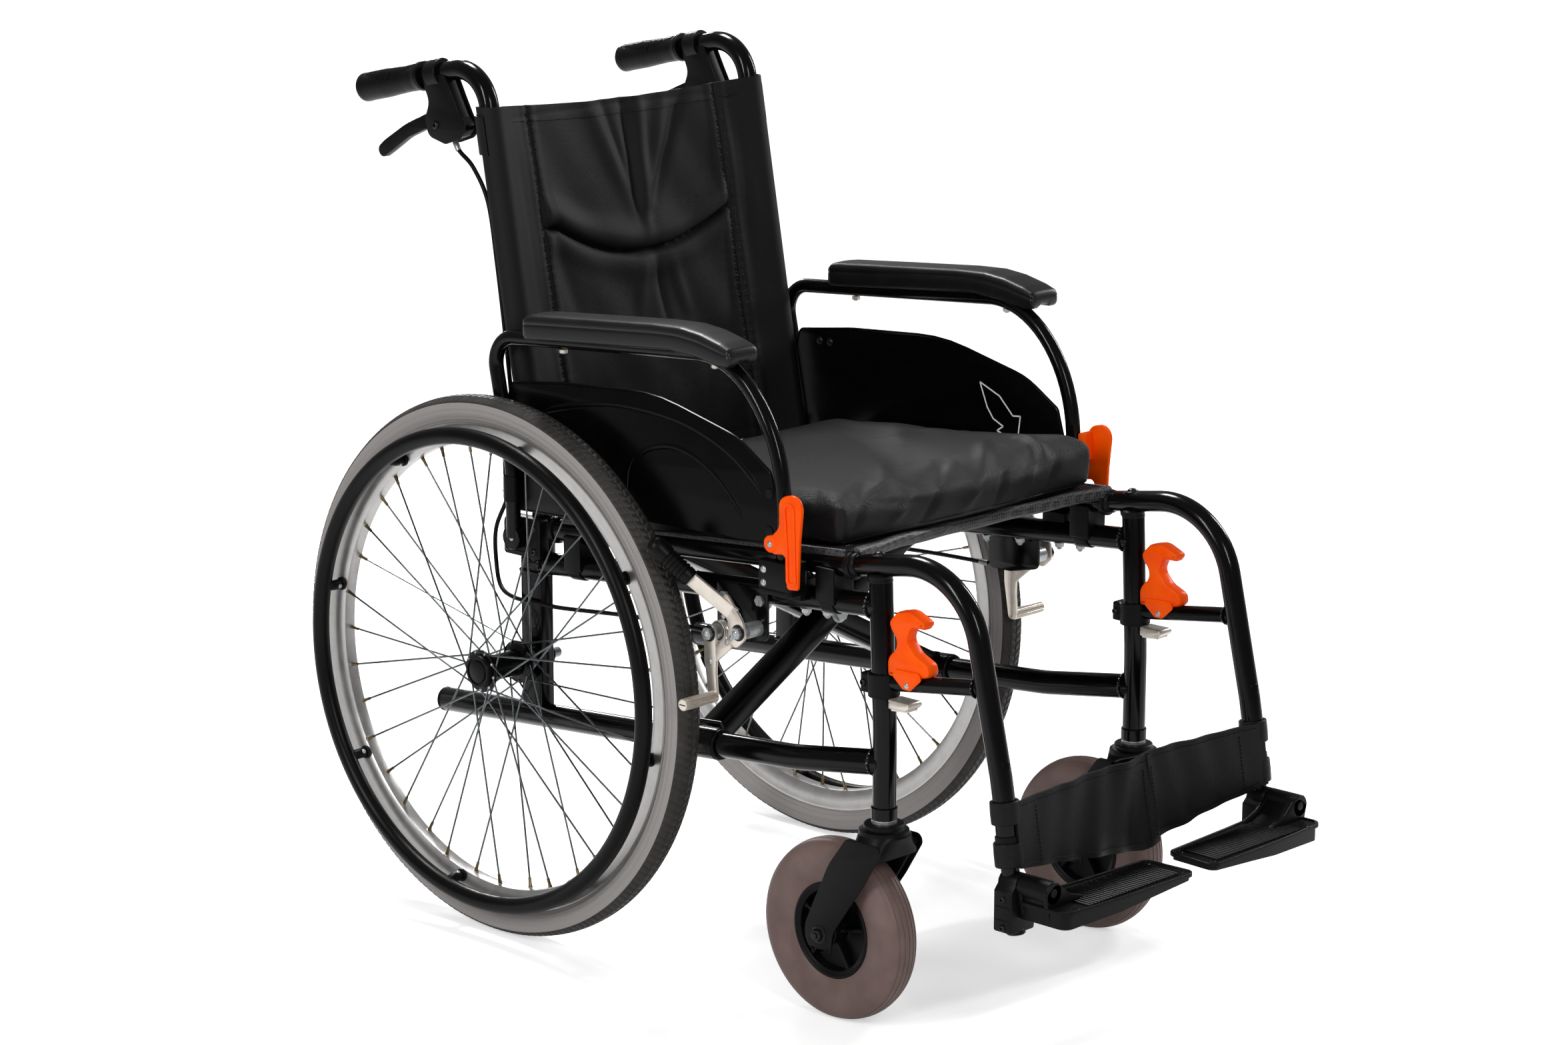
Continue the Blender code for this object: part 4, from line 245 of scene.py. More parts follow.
def swept(path: np.ndarray, outline: np.ndarray, scales: Sequence[float] | None = None,
        up: Place | None = None, closed: bool = False) -> Shape:
    """An outline carried along a path.

    Args:
        path: the points of its axis.
        outline: the section's points, sideways and upwards.
        scales: the section's size at each point of the path.
        up: what the section's second number points to; carried along without a twist if left out.
        closed: whether the path leads back to its start.

    Returns:
        The form, with both ends closed unless the path is.
    """
    path = np.asarray(path, float)
    steps = np.diff(path, axis=0, append=path[:1] if closed else path[-1:] * 2 - path[-2:-1])
    steps /= np.linalg.norm(steps, axis=1)[:, None]
    before = np.roll(steps, 1, axis=0)
    if not closed:
        before[0] = steps[0]
        steps[-1] = before[-1]
    ways = steps + before
    ways /= np.linalg.norm(ways, axis=1)[:, None]
    lift = np.array(up if up is not None else (0.0, 0.0, 1.0), float)
    if up is None and abs(ways[0] @ lift) > 0.9:
        lift = np.array((1.0, 0.0, 0.0))
    sizes = np.ones(len(path)) if scales is None else np.asarray(scales, float)
    rings = []
    for place, way, size in zip(path, ways, sizes):
        across = np.cross(way, lift)
        across /= np.linalg.norm(across)
        straight = np.cross(across, way)
        if up is None:
            lift = straight
        rings.append(place + size * (outline[:, :1] * across + outline[:, 1:] * straight))
    return skin(rings, wrap_rows=True, wrap_columns=True) if closed else loft(rings)


def tube(path: Sequence[Place], radius: float, sides: int = 20, edge: float = 0.0) -> Shape:
    """A round bar along a path.

    Args:
        path: the points of its axis.
        radius: its radius.
        sides: points round it.
        edge: how far each end is rounded over.

    Returns:
        The bar, its ends closed.
    """
    path = np.asarray([tuple(p) for p in path], float)
    lengths = np.concatenate([[0], np.cumsum(np.linalg.norm(np.diff(path, axis=0), axis=1))])
    whole = lengths[-1]
    if edge == 0:
        return swept(path, circle(sides, radius))
    bends = np.radians([8, 30, 55, 90])
    near = edge * (1 - np.sin(bends))[::-1]
    near_size = radius - edge * (1 - np.cos(bends))[::-1]
    inner = [k for k in lengths if edge < k < whole - edge]
    marks = np.concatenate([near, inner, whole - near[::-1]])
    sizes = np.concatenate([near_size, np.full(len(inner), radius), near_size[::-1]])
    walked = np.column_stack([np.interp(marks, lengths, path[:, i]) for i in range(3)])
    return swept(walked, circle(sides), sizes)


def axes_for(axis: Place) -> tuple[Vector, Vector, Vector]:
    """Two directions square to an axis, and the axis itself at length one."""
    axis = Vector(axis).normalized()
    first = axis.cross(Vector((0, 0, 1)) if abs(axis.z) < 0.9 else Vector((0, 1, 0))).normalized()
    return first, axis.cross(first), axis


def turned(profile: Iterable[Sequence[float]], centre: Place, axis: Place, sides: int = 48,
        closed: bool = False) -> Shape:
    """A lathe form.

    Args:
        profile: radius and height of each point, heights along the axis from the centre.
        centre: a point of the axis.
        axis: the direction it turns about.
        sides: points round it.
        closed: whether the profile leads back to its start, as a ring's does.

    Returns:
        The form.
    """
    profile = np.asarray(list(profile), float)
    first, second, along = (np.array(v) for v in axes_for(axis))
    angles = TAU * np.arange(sides) / sides
    spokes = np.cos(angles)[:, None] * first + np.sin(angles)[:, None] * second
    grid = (np.array(centre) + profile[None, :, :1] * spokes[:, None, :] + profile[None, :, 1:] * along)
    return skin(grid, wrap_rows=True, wrap_columns=closed)


def inset(outline: np.ndarray, by: float) -> np.ndarray:
    """A closed outline, anticlockwise, drawn in by a distance."""
    ahead = np.roll(outline, -1, axis=0) - outline
    ahead /= np.linalg.norm(ahead, axis=1)[:, None]
    back = np.roll(ahead, 1, axis=0)
    normal = np.column_stack([-(ahead + back)[:, 1], (ahead + back)[:, 0]])
    length = np.linalg.norm(normal, axis=1)[:, None]
    return outline + by * normal / length * (2 / np.maximum(length, 0.8))


def plate(outline: np.ndarray, thickness: float, matrix: Matrix, edge: float = 0.0007,
        holes: Sequence[np.ndarray] = ()) -> Shape:
    """A flat form with rounded rims.

    Args:
        outline: its closed outline.
        thickness: across the outline's plane, half to each side.
        matrix: lays the outline's plane.
        edge: how far the rims are rounded over.
        holes: outlines cut out of it.

    Returns:
        The plate.
    """
    loops = []
    for number, loop in enumerate([outline, *holes]):
        loop = np.asarray(loop, float)
        twice_area = np.sum(loop[:, 0] * np.roll(loop[:, 1], -1) - loop[:, 1] * np.roll(loop[:, 0], -1))
        loops.append(loop if (twice_area > 0) == (number == 0) else loop[::-1])
    half = thickness / 2
    rims = [(edge * (1 - math.sin(a)), half - edge * (1 - math.cos(a)))
        for a in (math.radians(0), math.radians(45), math.radians(90))] if edge else [(0.0, half)]
    points, faces, caps = [], [], []
    for loop in loops:
        rows = [(by, -height) for by, height in rims] + [(by, height) for by, height in reversed(rims)]
        grid = [np.column_stack([inset(loop, by), np.full(len(loop), height)]) for by, height in rows]
        wall = skin(grid, wrap_columns=True)
        shift = sum(len(p) for p in points)
        points.append(wall.points)
        faces.extend(tuple(i + shift for i in face) for face in wall.faces)
        caps.append((shift, shift + len(wall.points) - len(loop), len(loop)))
    flat = [[Vector((*p, 0)) for p in inset(loop, rims[0][0])] for loop in loops]
    order = [(low + i, high + i) for low, high, count in caps for i in range(count)]
    for triangle in tessellate_polygon(flat):
        faces.append(tuple(order[i][0] for i in triangle))
        faces.append(tuple(order[i][1] for i in reversed(triangle)))
    return Shape(np.vstack(points), faces).placed(matrix)


def lying(first: Place, second: Place, place: Place) -> Matrix:
    """The matrix that lays an outline's two directions on two axes at a place."""
    first, second = Vector(first), Vector(second)
    turn = Matrix((first, second, first.cross(second))).transposed().to_4x4()
    return Matrix.Translation(Vector(place)) @ turn


def side_plate(outline: np.ndarray, thickness: float, x: float, edge: float = 0.0007,
        holes: Sequence[np.ndarray] = ()) -> Shape:
    """A plate seen from the side: outline in y and z, thickness along x."""
    return plate(outline, thickness, lying((0, 1, 0), (0, 0, 1), (x, 0, 0)), edge, holes)


def block(low: Place, high: Place, edge: float = 0.001) -> Shape:
    """A box between two corners, its edges rounded."""
    outline = oblong(low[1:], high[1:], edge, turn_step=30)
    return side_plate(outline, high[0] - low[0], (low[0] + high[0]) / 2, edge)


def dome(place: Place, way: Place, radius: float, height: float, sides: int = 20) -> Shape:
    """A round button head standing on a surface."""
    angles = [math.radians(a) for a in (0, 25, 50, 70, 90)]
    profile = [(radius, -0.0006)] + [(radius * math.cos(a), height * math.sin(a)) for a in angles]
    return turned([(0.0, -0.0006)] + profile, place, way, sides)


def hexagon(place: Place, way: Place, radius: float, height: float) -> Shape:
    """A hexagon head or nut with chamfered corners, standing on a surface."""
    profile = [(0.0, -0.0005), (radius, -0.0005), (radius, height * 0.8), (radius * 0.86, height),
        (0.0, height)]
    return turned(profile, place, way, 6)


def washer(place: Place, way: Place, radius: float, thick: float = 0.0011) -> Shape:
    """A flat round washer standing on a surface."""
    return turned([(0, -0.0003), (radius, -0.0003), (radius, thick * 0.7), (radius * 0.94, thick),
        (0, thick)], place, way, 24)


def hex_bolt(place: Place, way: Place, radius: float) -> Shape:
    """A hexagon head on its washer with the bolt's end showing."""
    way = Vector(way).normalized()
    place = Vector(place)
    head = hexagon(place + way * 0.001, way, radius, radius * 0.75)
    end = tube([place, place + way * (radius * 0.75 + 0.003)], radius * 0.48, 14, 0.0008)
    return washer(place, way, radius * 1.35) + head + end


def socket_screw(place: Place, way: Place, radius: float) -> Shape:
    """A button head with a hexagon socket."""
    h = radius * 0.62
    profile = [(0, -0.0006), (radius, -0.0006), (radius * 0.97, h * 0.35), (radius * 0.8, h * 0.8),
        (radius * 0.55, h), (radius * 0.42, h * 0.96), (radius * 0.4, h * 0.25), (0, h * 0.25)]
    return turned(profile, place, way, 24)


def weld_bead(centre: Place, axis: Place, radius: float, bead: float = 0.0021, ripples: int = 26) -> Shape:
    """A rippled weld round a tube's joint."""
    first, second, _ = (np.array(v) for v in axes_for(axis))
    angles = TAU * np.arange(ripples * 3) / (ripples * 3)
    swell = 1 + 0.16 * np.sin(angles * ripples)
    path = np.array(centre) + radius * (np.cos(angles)[:, None] * first + np.sin(angles)[:, None] * second)
    return swept(path, circle(8, bead), swell, up=axis, closed=True)


# Finishes


def linear(colour: str) -> tuple[float, float, float, float]:
    """The linear colour of an sRGB hex value such as #1a1b1c."""
    channels = [int(colour[i:i + 2], 16) / 255 for i in (1, 3, 5)]
    return (*[c / 12.92 if c <= 0.04045 else ((c + 0.055) / 1.055) ** 2.4 for c in channels], 1.0)


def per_metre(millimetres: float) -> float:
    """How many repeats of a pattern of that size go into a metre."""
    return 1000 / millimetres


def add_node(tree: Tree, kind: str, settings: Mapping[str, object] | None = None,
        links: Mapping[str, Socket] | None = None) -> Node:
    """Adds one node with its settings and links.

    Args:
        tree: the material's or the world's nodes.
        kind: the node's type name.
        settings: values for the node's own options or for its sockets, by name.
        links: what feeds its sockets, by name.

    Returns:
        The node.
    """
    node = tree.nodes.new(kind)
    for key, value in (settings or {}).items():
        if key in node.inputs:
            node.inputs[key].default_value = value
        else:
            setattr(node, key, value)
    for key, source in (links or {}).items():
        tree.links.new(source, node.inputs[key])
    return node


@dataclass(frozen=True)
class Finish:
    """A surface of the chair: a real material and how it was made."""

    name: str
    slot: str
    colour: str
    shade: str
    roughness: float

    def material(self) -> bpy.types.Material:
        """The material, made once."""
        made = bpy.data.materials.get(self.name)
        if made is None:
            made = bpy.data.materials.new(self.name)
            made.use_nodes = True
            self.paint(made.node_tree, made.node_tree.nodes["Principled BSDF"])
        return made

    def paint(self, tree: Tree, shader: Node) -> None:
        """Fills the nodes; each kind of finish has its own."""
        raise NotImplementedError

    def mottled(self, tree: Tree, shader: Node, patch_mm: float, spread: float) -> Socket:
        """Varies colour and roughness in soft patches.

        Args:
            tree: the material's nodes.
            shader: its surface shader.
            patch_mm: the size of a patch.
            spread: how far the roughness moves to either side.

        Returns:
            The place on the object, which other patterns read.
        """
        place = add_node(tree, "ShaderNodeTexCoord").outputs["Object"]
        patches = add_node(tree, "ShaderNodeTexNoise", {"Scale": per_metre(patch_mm), "Detail": 4.0},
            {"Vector": place}).outputs["Fac"]
        tone = add_node(tree, "ShaderNodeMapRange", {"From Min": 0.3, "From Max": 0.7}, {"Value": patches})
        mix = add_node(tree, "ShaderNodeMixRGB",
            {"Color1": linear(self.colour), "Color2": linear(self.shade)}, {"Fac": tone.outputs["Result"]})
        rough = add_node(tree, "ShaderNodeMapRange",
            {"To Min": self.roughness - spread, "To Max": self.roughness + spread}, {"Value": patches})
        tree.links.new(mix.outputs["Color"], shader.inputs["Base Color"])
        tree.links.new(rough.outputs["Result"], shader.inputs["Roughness"])
        return place

    def bumped(self, tree: Tree, shader: Node, height: Socket, depth_mm: float,
            strength: float = 1.0) -> None:
        """Raises the surface by a pattern of a real depth."""
        bump = add_node(tree, "ShaderNodeBump", {"Strength": strength, "Distance": depth_mm / 1000},
            {"Height": height})
        tree.links.new(bump.outputs["Normal"], shader.inputs["Normal"])


@dataclass(frozen=True)
class PowderCoat(Finish):
    """Powder coat baked on steel: a deep gloss with a faint orange peel, so highlights run long and soft."""

    peel_mm: float = 1.6

    def paint(self, tree: Tree, shader: Node) -> None:
        """Gloss over soft patches, and the peel of the baked powder."""
        place = self.mottled(tree, shader, 45, 0.04)
        peel = add_node(tree, "ShaderNodeTexNoise", {"Scale": per_metre(self.peel_mm), "Detail": 1.0},
            {"Vector": place})
        self.bumped(tree, shader, peel.outputs["Fac"], 0.01)
        shader.inputs["IOR"].default_value = 1.5
        shader.inputs["Specular IOR Level"].default_value = 0.18


@dataclass(frozen=True)
class Moulding(Finish):
    """A moulded plastic or rubber: the mould's fine grain breaks the highlights up."""

    grain_mm: float = 0.7
    depth_mm: float = 0.02
    specular: float = 0.13

    def paint(self, tree: Tree, shader: Node) -> None:
        """Soft patches from handling, and the mould's grain."""
        place = self.mottled(tree, shader, 30, 0.05)
        grain = add_node(tree, "ShaderNodeTexVoronoi", {"Scale": per_metre(self.grain_mm)},
            {"Vector": place})
        self.bumped(tree, shader, grain.outputs["Distance"], self.depth_mm)
        shader.inputs["IOR"].default_value = 1.5
        shader.inputs["Specular IOR Level"].default_value = self.specular


@dataclass(frozen=True)
class BareMetal(Finish):
    """A bare or plated metal: drawn or tumbled marks spread its reflections."""

    mark_mm: float = 0.6
    depth_mm: float = 0.006
    metallic: float = 1.0

    def paint(self, tree: Tree, shader: Node) -> None:
        """Plating that varies a little, with fine marks."""
        place = self.mottled(tree, shader, 14, 0.06)
        marks = add_node(tree, "ShaderNodeTexNoise", {"Scale": per_metre(self.mark_mm), "Detail": 3.0},
            {"Vector": place})
        self.bumped(tree, shader, marks.outputs["Fac"], self.depth_mm)
        shader.inputs["Metallic"].default_value = self.metallic


@dataclass(frozen=True)
class Cloth(Finish):
    """A woven cloth: crossed threads catch the light one by one, and their fuzz lightens the far slopes."""

    # The real threads are about 0.5 mm apart, too fine to show.
    thread_mm: float = 1.1
    depth_mm: float = 0.12
    sheen: float = 0.01

    def paint(self, tree: Tree, shader: Node) -> None:
        """Crossed threads and yarn flecks; the threads are drawn coarser than real so that they show."""
        place = self.mottled(tree, shader, 1.9, 0.05)
        waves = add_node(tree, "ShaderNodeVectorMath",
            {"operation": "SCALE", "Scale": TAU * per_metre(self.thread_mm)}, {"Vector": place})
        sines = add_node(tree, "ShaderNodeVectorMath", {"operation": "SINE"},
            {"Vector": waves.outputs["Vector"]}).outputs["Vector"]
        parts = add_node(tree, "ShaderNodeSeparateXYZ", links={"Vector": sines})
        crossed = add_node(tree, "ShaderNodeCombineXYZ",
            links={"X": parts.outputs["Y"], "Y": parts.outputs["Z"], "Z": parts.outputs["X"]})
        weave = add_node(tree, "ShaderNodeVectorMath", {"operation": "DOT_PRODUCT"}, {"Vector": sines})
        tree.links.new(crossed.outputs["Vector"], weave.inputs[1])
        self.bumped(tree, shader, weave.outputs["Value"], self.depth_mm, 0.6)
        shader.inputs["Sheen Weight"].default_value = self.sheen
        shader.inputs["Sheen Roughness"].default_value = 0.45
        shader.inputs["Specular IOR Level"].default_value = 0.2


@dataclass(frozen=True)
class SpacerMesh(Finish):
    """Knitted spacer mesh, black: its threads are painted pale as a highlight, and its holes dark as painted
    shade.
    """

    # The real holes are about 1.5 mm apart, too fine to show.
    hole_mm: float = 3.4

    def paint(self, tree: Tree, shader: Node) -> None:
        """Rows of holes painted dark as shade, between threads painted pale as a highlight."""
        place = add_node(tree, "ShaderNodeTexCoord").outputs["Object"]
        cells = add_node(tree, "ShaderNodeTexVoronoi",
            {"Scale": per_metre(self.hole_mm), "Randomness": 0.25}, {"Vector": place})
        # The hole centres take the painted shade colour, and the threads round them take the painted
        # highlight colour.
        tone = add_node(tree, "ShaderNodeMapRange", {"From Min": 0.3, "From Max": 0.62},
            {"Value": cells.outputs["Distance"]})
        mix = add_node(tree, "ShaderNodeMixRGB",
            {"Color1": linear(self.shade), "Color2": linear(self.colour)}, {"Fac": tone.outputs["Result"]})
        tree.links.new(mix.outputs["Color"], shader.inputs["Base Color"])
        self.bumped(tree, shader, cells.outputs["Distance"], 0.5)
        shader.inputs["Roughness"].default_value = self.roughness


# Baked powder coat on the tubes: near black, with long soft highlights.
GLOSS_BLACK = PowderCoat("gloss_black_powder_coat", "black_powder_coat", "#040404", "#070708", 0.16)
# Glass-filled nylon mouldings: satin black that greys where light grazes it.
NYLON_BLACK = Moulding("black_moulded_nylon", "black_moulded_plastic", "#070708", "#0b0b0c", 0.4)
# Sheet polypropylene of the skirt guards: the deepest black, almost without grain.
PANEL_BLACK = Moulding("black_polypropylene_sheet", "black_moulded_plastic", "#020202", "#040404", 0.25,
    0.9, 0.008, 0.12)
# Moulded grip rubber: dull, with a faint bloom along its edges.
GRIP_BLACK = Moulding("black_grip_rubber", "black_rubber", "#060606", "#0a0a0a", 0.38, 0.8, 0.02)
# Vinyl dip on the hand rims: smooth and slightly oily.
RIM_RUBBER = Moulding("black_vinyl_dip", "black_rubber", "#050505", "#080808", 0.34, 0.9, 0.015)
# Tyre side walls: warm dark grey rubber that catches a wide sheen.
TYRE_RUBBER = Moulding("grey_tyre_rubber", "grey_tyre_rubber", "#211e1c", "#2b2724", 0.46, 0.9, 0.03, 0.26)
# Tread: the same rubber worn paler and rougher by the road.
TREAD_RUBBER = Moulding("worn_tread_rubber", "grey_tyre_rubber", "#2c2a29", "#3b3937", 0.52, 0.8, 0.05,
    0.22)
# Foamed polyurethane castor tyres: a brownish, even satin.
TAUPE_FOAM = Moulding("taupe_polyurethane_foam", "taupe_castor_rubber", "#65524e", "#74605b", 0.45, 0.8,
    0.02, 0.3)
# Dyed nylon of the locks and hooks: a saturated orange, the only strong colour.
ORANGE_NYLON = Moulding("orange_moulded_nylon", "orange_moulded_plastic", "#f74a00", "#ff5c02", 0.34, 0.7,
    0.01, 0.12)
# Anodised rims: pale, softly mirrored metal.
RIM_ALUMINIUM = BareMetal("satin_anodised_aluminium", "silver_rim", "#b4b2b0", "#c2c0be", 0.36, 0.8, 0.004,
    0.85)
# Zinc on bolts and nuts: cool, bright points.
ZINC_STEEL = BareMetal("bright_zinc_plated_steel", "zinc_plate", "#a0a3a4", "#b8bbbc", 0.3, 0.6, 0.006, 0.7)
# Nickel on the wheel locks and small fittings: a warm, slightly yellow silver.
NICKEL_STEEL = BareMetal("nickel_plated_steel", "nickel_plate", "#d6cdc2", "#e6ddd2", 0.32, 0.6, 0.006,
    0.78)
# Brass spoke nipples: small dark gold dots at the rim.
BRASS = BareMetal("drawn_brass", "zinc_plate", "#6f6044", "#877553", 0.32)
# Drawn wire spokes: thin dark lines against the floor.
SPOKE_STEEL = BareMetal("drawn_zinc_wire", "zinc_plate", "#5c6062", "#707476", 0.28)
# Blackened screws: small glints in dark plastic.
DARK_STEEL = BareMetal("oiled_black_steel", "black_powder_coat", "#141414", "#202020", 0.3, 0.6, 0.006, 0.6)

# Cushion canvas: charcoal, a little lighter on top.
SEAT_CLOTH = Cloth("charcoal_polyester_canvas", "black_seat_cloth", "#0b0b0d", "#131317", 0.46)
# Back cloth: coated black weave that shows its folds as soft bands.
BACK_CLOTH = Cloth("charcoal_oxford_nylon", "black_seat_cloth", "#060607", "#0c0c0e", 0.56, 1.0, 0.06, 0.0)
# Sling canvas under the cushion: dull black.
SLING_CLOTH = Cloth("black_sling_canvas", "black_seat_cloth", "#08080a", "#0d0d10", 0.6)
# Satin webbing of the calf strap: black with broad ripples of light.
STRAP_WEBBING = Cloth("black_satin_webbing", "black_webbing", "#040405", "#060607", 0.4, 1.3, 0.08, 0.0)
# Spacer mesh along the sling's front edge: a painted highlight on its threads and painted shade in its holes
# speckle it.
MESH_TAPE = SpacerMesh("black_spacer_mesh", "black_seat_cloth", "#404044", "#010101", 0.5)
# Bonded sewing thread: fine raised dashes along the seams.
THREAD = Cloth("black_bonded_thread", "black_seat_cloth", "#070708", "#0e0e10", 0.4, 0.8, 0.03)
# Pad-printed ink: the one white line, on the far guard.
PRINT_WHITE = Moulding("white_pad_print", "black_moulded_plastic", "#f0f0ee", "#f8f8f6", 0.5, 1.2, 0.004)
# Skinned polyurethane arm pads: leathery black with a broad highlight.
PAD_SKIN = Moulding("integral_skin_polyurethane", "black_pad_skin", "#0b0b0b", "#101010", 0.38, 1.3, 0.03,
    0.3)


# Pieces


class Piece:
    """One object of the scene, gathered from forms in stations and widths, then turned to its side."""

    def __init__(self, name: str, side: Side | None = None) -> None:
        """Starts an empty piece; the side's word goes before its name."""
        self.side = side
        self.name = f"{side.word}_{name}_look" if side else f"{name}_look"
        self.node = f"{side.word}_{name}" if side else name
        self.forms: list[tuple[Shape, Finish]] = []

    def add(self, finish: Finish, *shapes: Shape) -> "Piece":
        """Adds forms in one finish."""
        self.forms.extend((shape, finish) for shape in shapes)
        return self

    def mesh(self, sharp: float = 34.0) -> Object:
        """Makes the object in the frame.

        Args:
            sharp: the angle in degrees above which an edge stays crisp.

        Returns:
            The object, with one material for each finish.
        """
        mirror = self.side.value if self.side else 1
        build = bmesh.new()
        finishes: list[Finish] = []
        for shape, finish in self.forms:
            if finish not in finishes:
                finishes.append(finish)
            part = bmesh.new()
            places = shape.points * (mirror, 1, 1) + (0, AXLE_Y, 0)
            points = [part.verts.new(place) for place in places]
            for face in shape.faces:
                try:
                    part.faces.new([points[i] for i in face])
                except ValueError:
                    continue
            bmesh.ops.remove_doubles(part, verts=part.verts, dist=1e-6)
            bmesh.ops.recalc_face_normals(part, faces=part.faces)
            index = finishes.index(finish)
            for face in part.faces:
                face.material_index = index
                face.smooth = True
            kept = bpy.data.meshes.new("part")
            part.to_mesh(kept)
            part.free()
            build.from_mesh(kept)
            bpy.data.meshes.remove(kept)
        data = bpy.data.meshes.new(self.name)
        build.to_mesh(data)
        build.free()
        for finish in finishes:
            data.materials.append(finish.material())
        data.set_sharp_from_angle(angle=math.radians(sharp))
        made = bpy.data.objects.new(self.name, data)
        bpy.context.scene.collection.objects.link(made)
        return made

    def lay(self, body: str, sharp: float = 34.0) -> Object:
        """Makes the object, puts it on its body and lets it stand for its CAD node."""
        made = self.mesh(sharp)
        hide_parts(self.node)
        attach(made, body)
        LOG.info("%s: %d faces on %s", self.name, len(made.data.polygons), body)
        return made


# Studio


@dataclass
class Studio:
    """The white sweep, its soft lamps and the camera at the photograph's viewing angle."""

    lens: float = 91.777
    azimuth: float = math.radians(-46.4225)
    elevation: float = math.radians(13.0957)
    roll: float = 0.0020841
    stand: tuple[float, float, float] = (-3.13138, -3.16523, 1.45891)
    mirrored_level: float = 0.22

    def build(self) -> None:
        """Makes floor, world, lamps and camera."""
        self.floor()
        self.world()
        self.lamp("overhead_softbox", (0.3, 1.0, 2.5), (0.6, 0.6), 62, (0.0, -0.1, 0.45))
        self.lamp("right_strip", (2.9, -0.5, 1.9), (0.14, 1.3), 40, (0.0, -0.2, 0.45))
        self.lamp("left_strip", (-2.8, -0.1, 1.8), (0.14, 1.3), 36, (0.0, 0.0, 0.5))
        self.lamp("front_strip", (-1.5, -3.2, 2.1), (0.2, 1.2), 34, (0.0, -0.2, 0.4))
        self.lamp("rear_strip", (1.4, 2.3, 1.3), (0.16, 1.3), 22, (0.0, 0.1, 0.5))
        self.camera()
        LOG.info("studio: floor, world, five lamps and the camera")

    def floor(self) -> None:
        """A pale floor that keeps the shadow and reads white where it is lit; its glow rises away from the
        chair, painted light that keeps the far floor white past the lamps' reach.
        """
        data = bpy.data.meshes.new("studio_floor")
        points = [(-30, -30, 0), (30, -30, 0), (30, 30, 0), (-30, 30, 0)]
        data.from_pydata(points, [], [(0, 1, 2, 3)])
        made = bpy.data.objects.new("studio_floor", data)
        bpy.context.scene.collection.objects.link(made)
        paper = bpy.data.materials.new("matt_white_sweep")
        paper.use_nodes = True
        tree = paper.node_tree
        tree.nodes.clear()
        place = add_node(tree, "ShaderNodeTexCoord").outputs["Object"]
        far = add_node(tree, "ShaderNodeVectorMath", {"operation": "LENGTH"}, {"Vector": place})
        # The glow is weaker near the chair and rises to full white from 2.2 m out: painted light on the far
        # floor, where the lamps' light falls off.
        rise = add_node(tree, "ShaderNodeMapRange",
            {"interpolation_type": "SMOOTHSTEP", "From Min": 0.8, "From Max": 2.2, "To Min": 0.52,
            "To Max": 1.0}, {"Value": far.outputs["Value"]})
        level = add_node(tree, "ShaderNodeMath", {"operation": "MULTIPLY"},
            {"Value": rise.outputs["Result"]})
        tree.links.new(self.seen_level(tree), level.inputs[1])
        matt = add_node(tree, "ShaderNodeBsdfDiffuse", {"Color": linear("#e6e6e6")})
        glow = add_node(tree, "ShaderNodeEmission", {"Color": linear("#ffffff")},
            {"Strength": level.outputs["Value"]})
        both = add_node(tree, "ShaderNodeAddShader")
        tree.links.new(matt.outputs["BSDF"], both.inputs[0])
        tree.links.new(glow.outputs["Emission"], both.inputs[1])
        add_node(tree, "ShaderNodeOutputMaterial", links={"Surface": both.outputs["Shader"]})
        data.materials.append(paper)

    def seen_level(self, tree: Tree, low: float = 0.0) -> Socket:
        """White for what the camera sees, less for mirror and glass, and little for the chair's light."""
        rays = add_node(tree, "ShaderNodeLightPath")
        bent = add_node(tree, "ShaderNodeMath", {"operation": "MAXIMUM"},
            {"Value": rays.outputs["Is Glossy Ray"]})
        tree.links.new(rays.outputs["Is Transmission Ray"], bent.inputs[1])
        dimmed = add_node(tree, "ShaderNodeMapRange", {"To Min": low, "To Max": self.mirrored_level},
            {"Value": bent.outputs["Value"]})
        level = add_node(tree, "ShaderNodeMath", {"operation": "MAXIMUM"},
            {"Value": dimmed.outputs["Result"]})
        tree.links.new(rays.outputs["Is Camera Ray"], level.inputs[1])
        return level.outputs["Value"]

    def world(self) -> None:
        """White where it is seen, and a soft grey where it lights the chair."""
        world = bpy.data.worlds.new("white_studio")
        bpy.context.scene.world = world
        world.use_nodes = True
        tree = world.node_tree
        tree.nodes.clear()
        sky = add_node(tree, "ShaderNodeBackground", {"Color": linear("#ffffff")},
            {"Strength": self.seen_level(tree, 0.28)})
        add_node(tree, "ShaderNodeOutputWorld", links={"Surface": sky.outputs["Background"]})

    def lamp(self, name: str, place: Place, size: tuple[float, float], watts: float, target: Place) -> None:
        """A softbox at a place, turned to a target."""
        data = bpy.data.lights.new(name, "AREA")
        data.shape = "RECTANGLE"
        data.size, data.size_y = size
        data.energy = watts
        made = bpy.data.objects.new(name, data)
        made.location = place
        made.rotation_euler = (Vector(target) - Vector(place)).to_track_quat("-Z", "Y").to_euler()
        bpy.context.scene.collection.objects.link(made)

    def camera(self) -> None:
        """The camera, solved from the photograph."""
        data = bpy.data.cameras.new("photograph_camera")
        data.sensor_fit = "HORIZONTAL"
        data.sensor_width = 36.0
        data.lens = self.lens
        data.clip_end = 100.0
        around, rise = self.azimuth, self.elevation
        back = Vector((math.sin(around) * math.cos(rise), -math.cos(around) * math.cos(rise),
            math.sin(rise)))
        right = (-back).cross(Vector((0, 0, 1))).normalized()
        up = back.cross(right)
        tipped = right * math.cos(self.roll) + up * math.sin(self.roll)
        turn = Matrix((tipped, back.cross(tipped), back)).transposed().to_4x4()
        made = bpy.data.objects.new("photograph_camera", data)
        place = Vector(self.stand) + Vector((0, AXLE_Y, 0))
        made.matrix_world = Matrix.Translation(place) @ turn
        bpy.context.scene.collection.objects.link(made)
        bpy.context.scene.camera = made


# Rear wheels


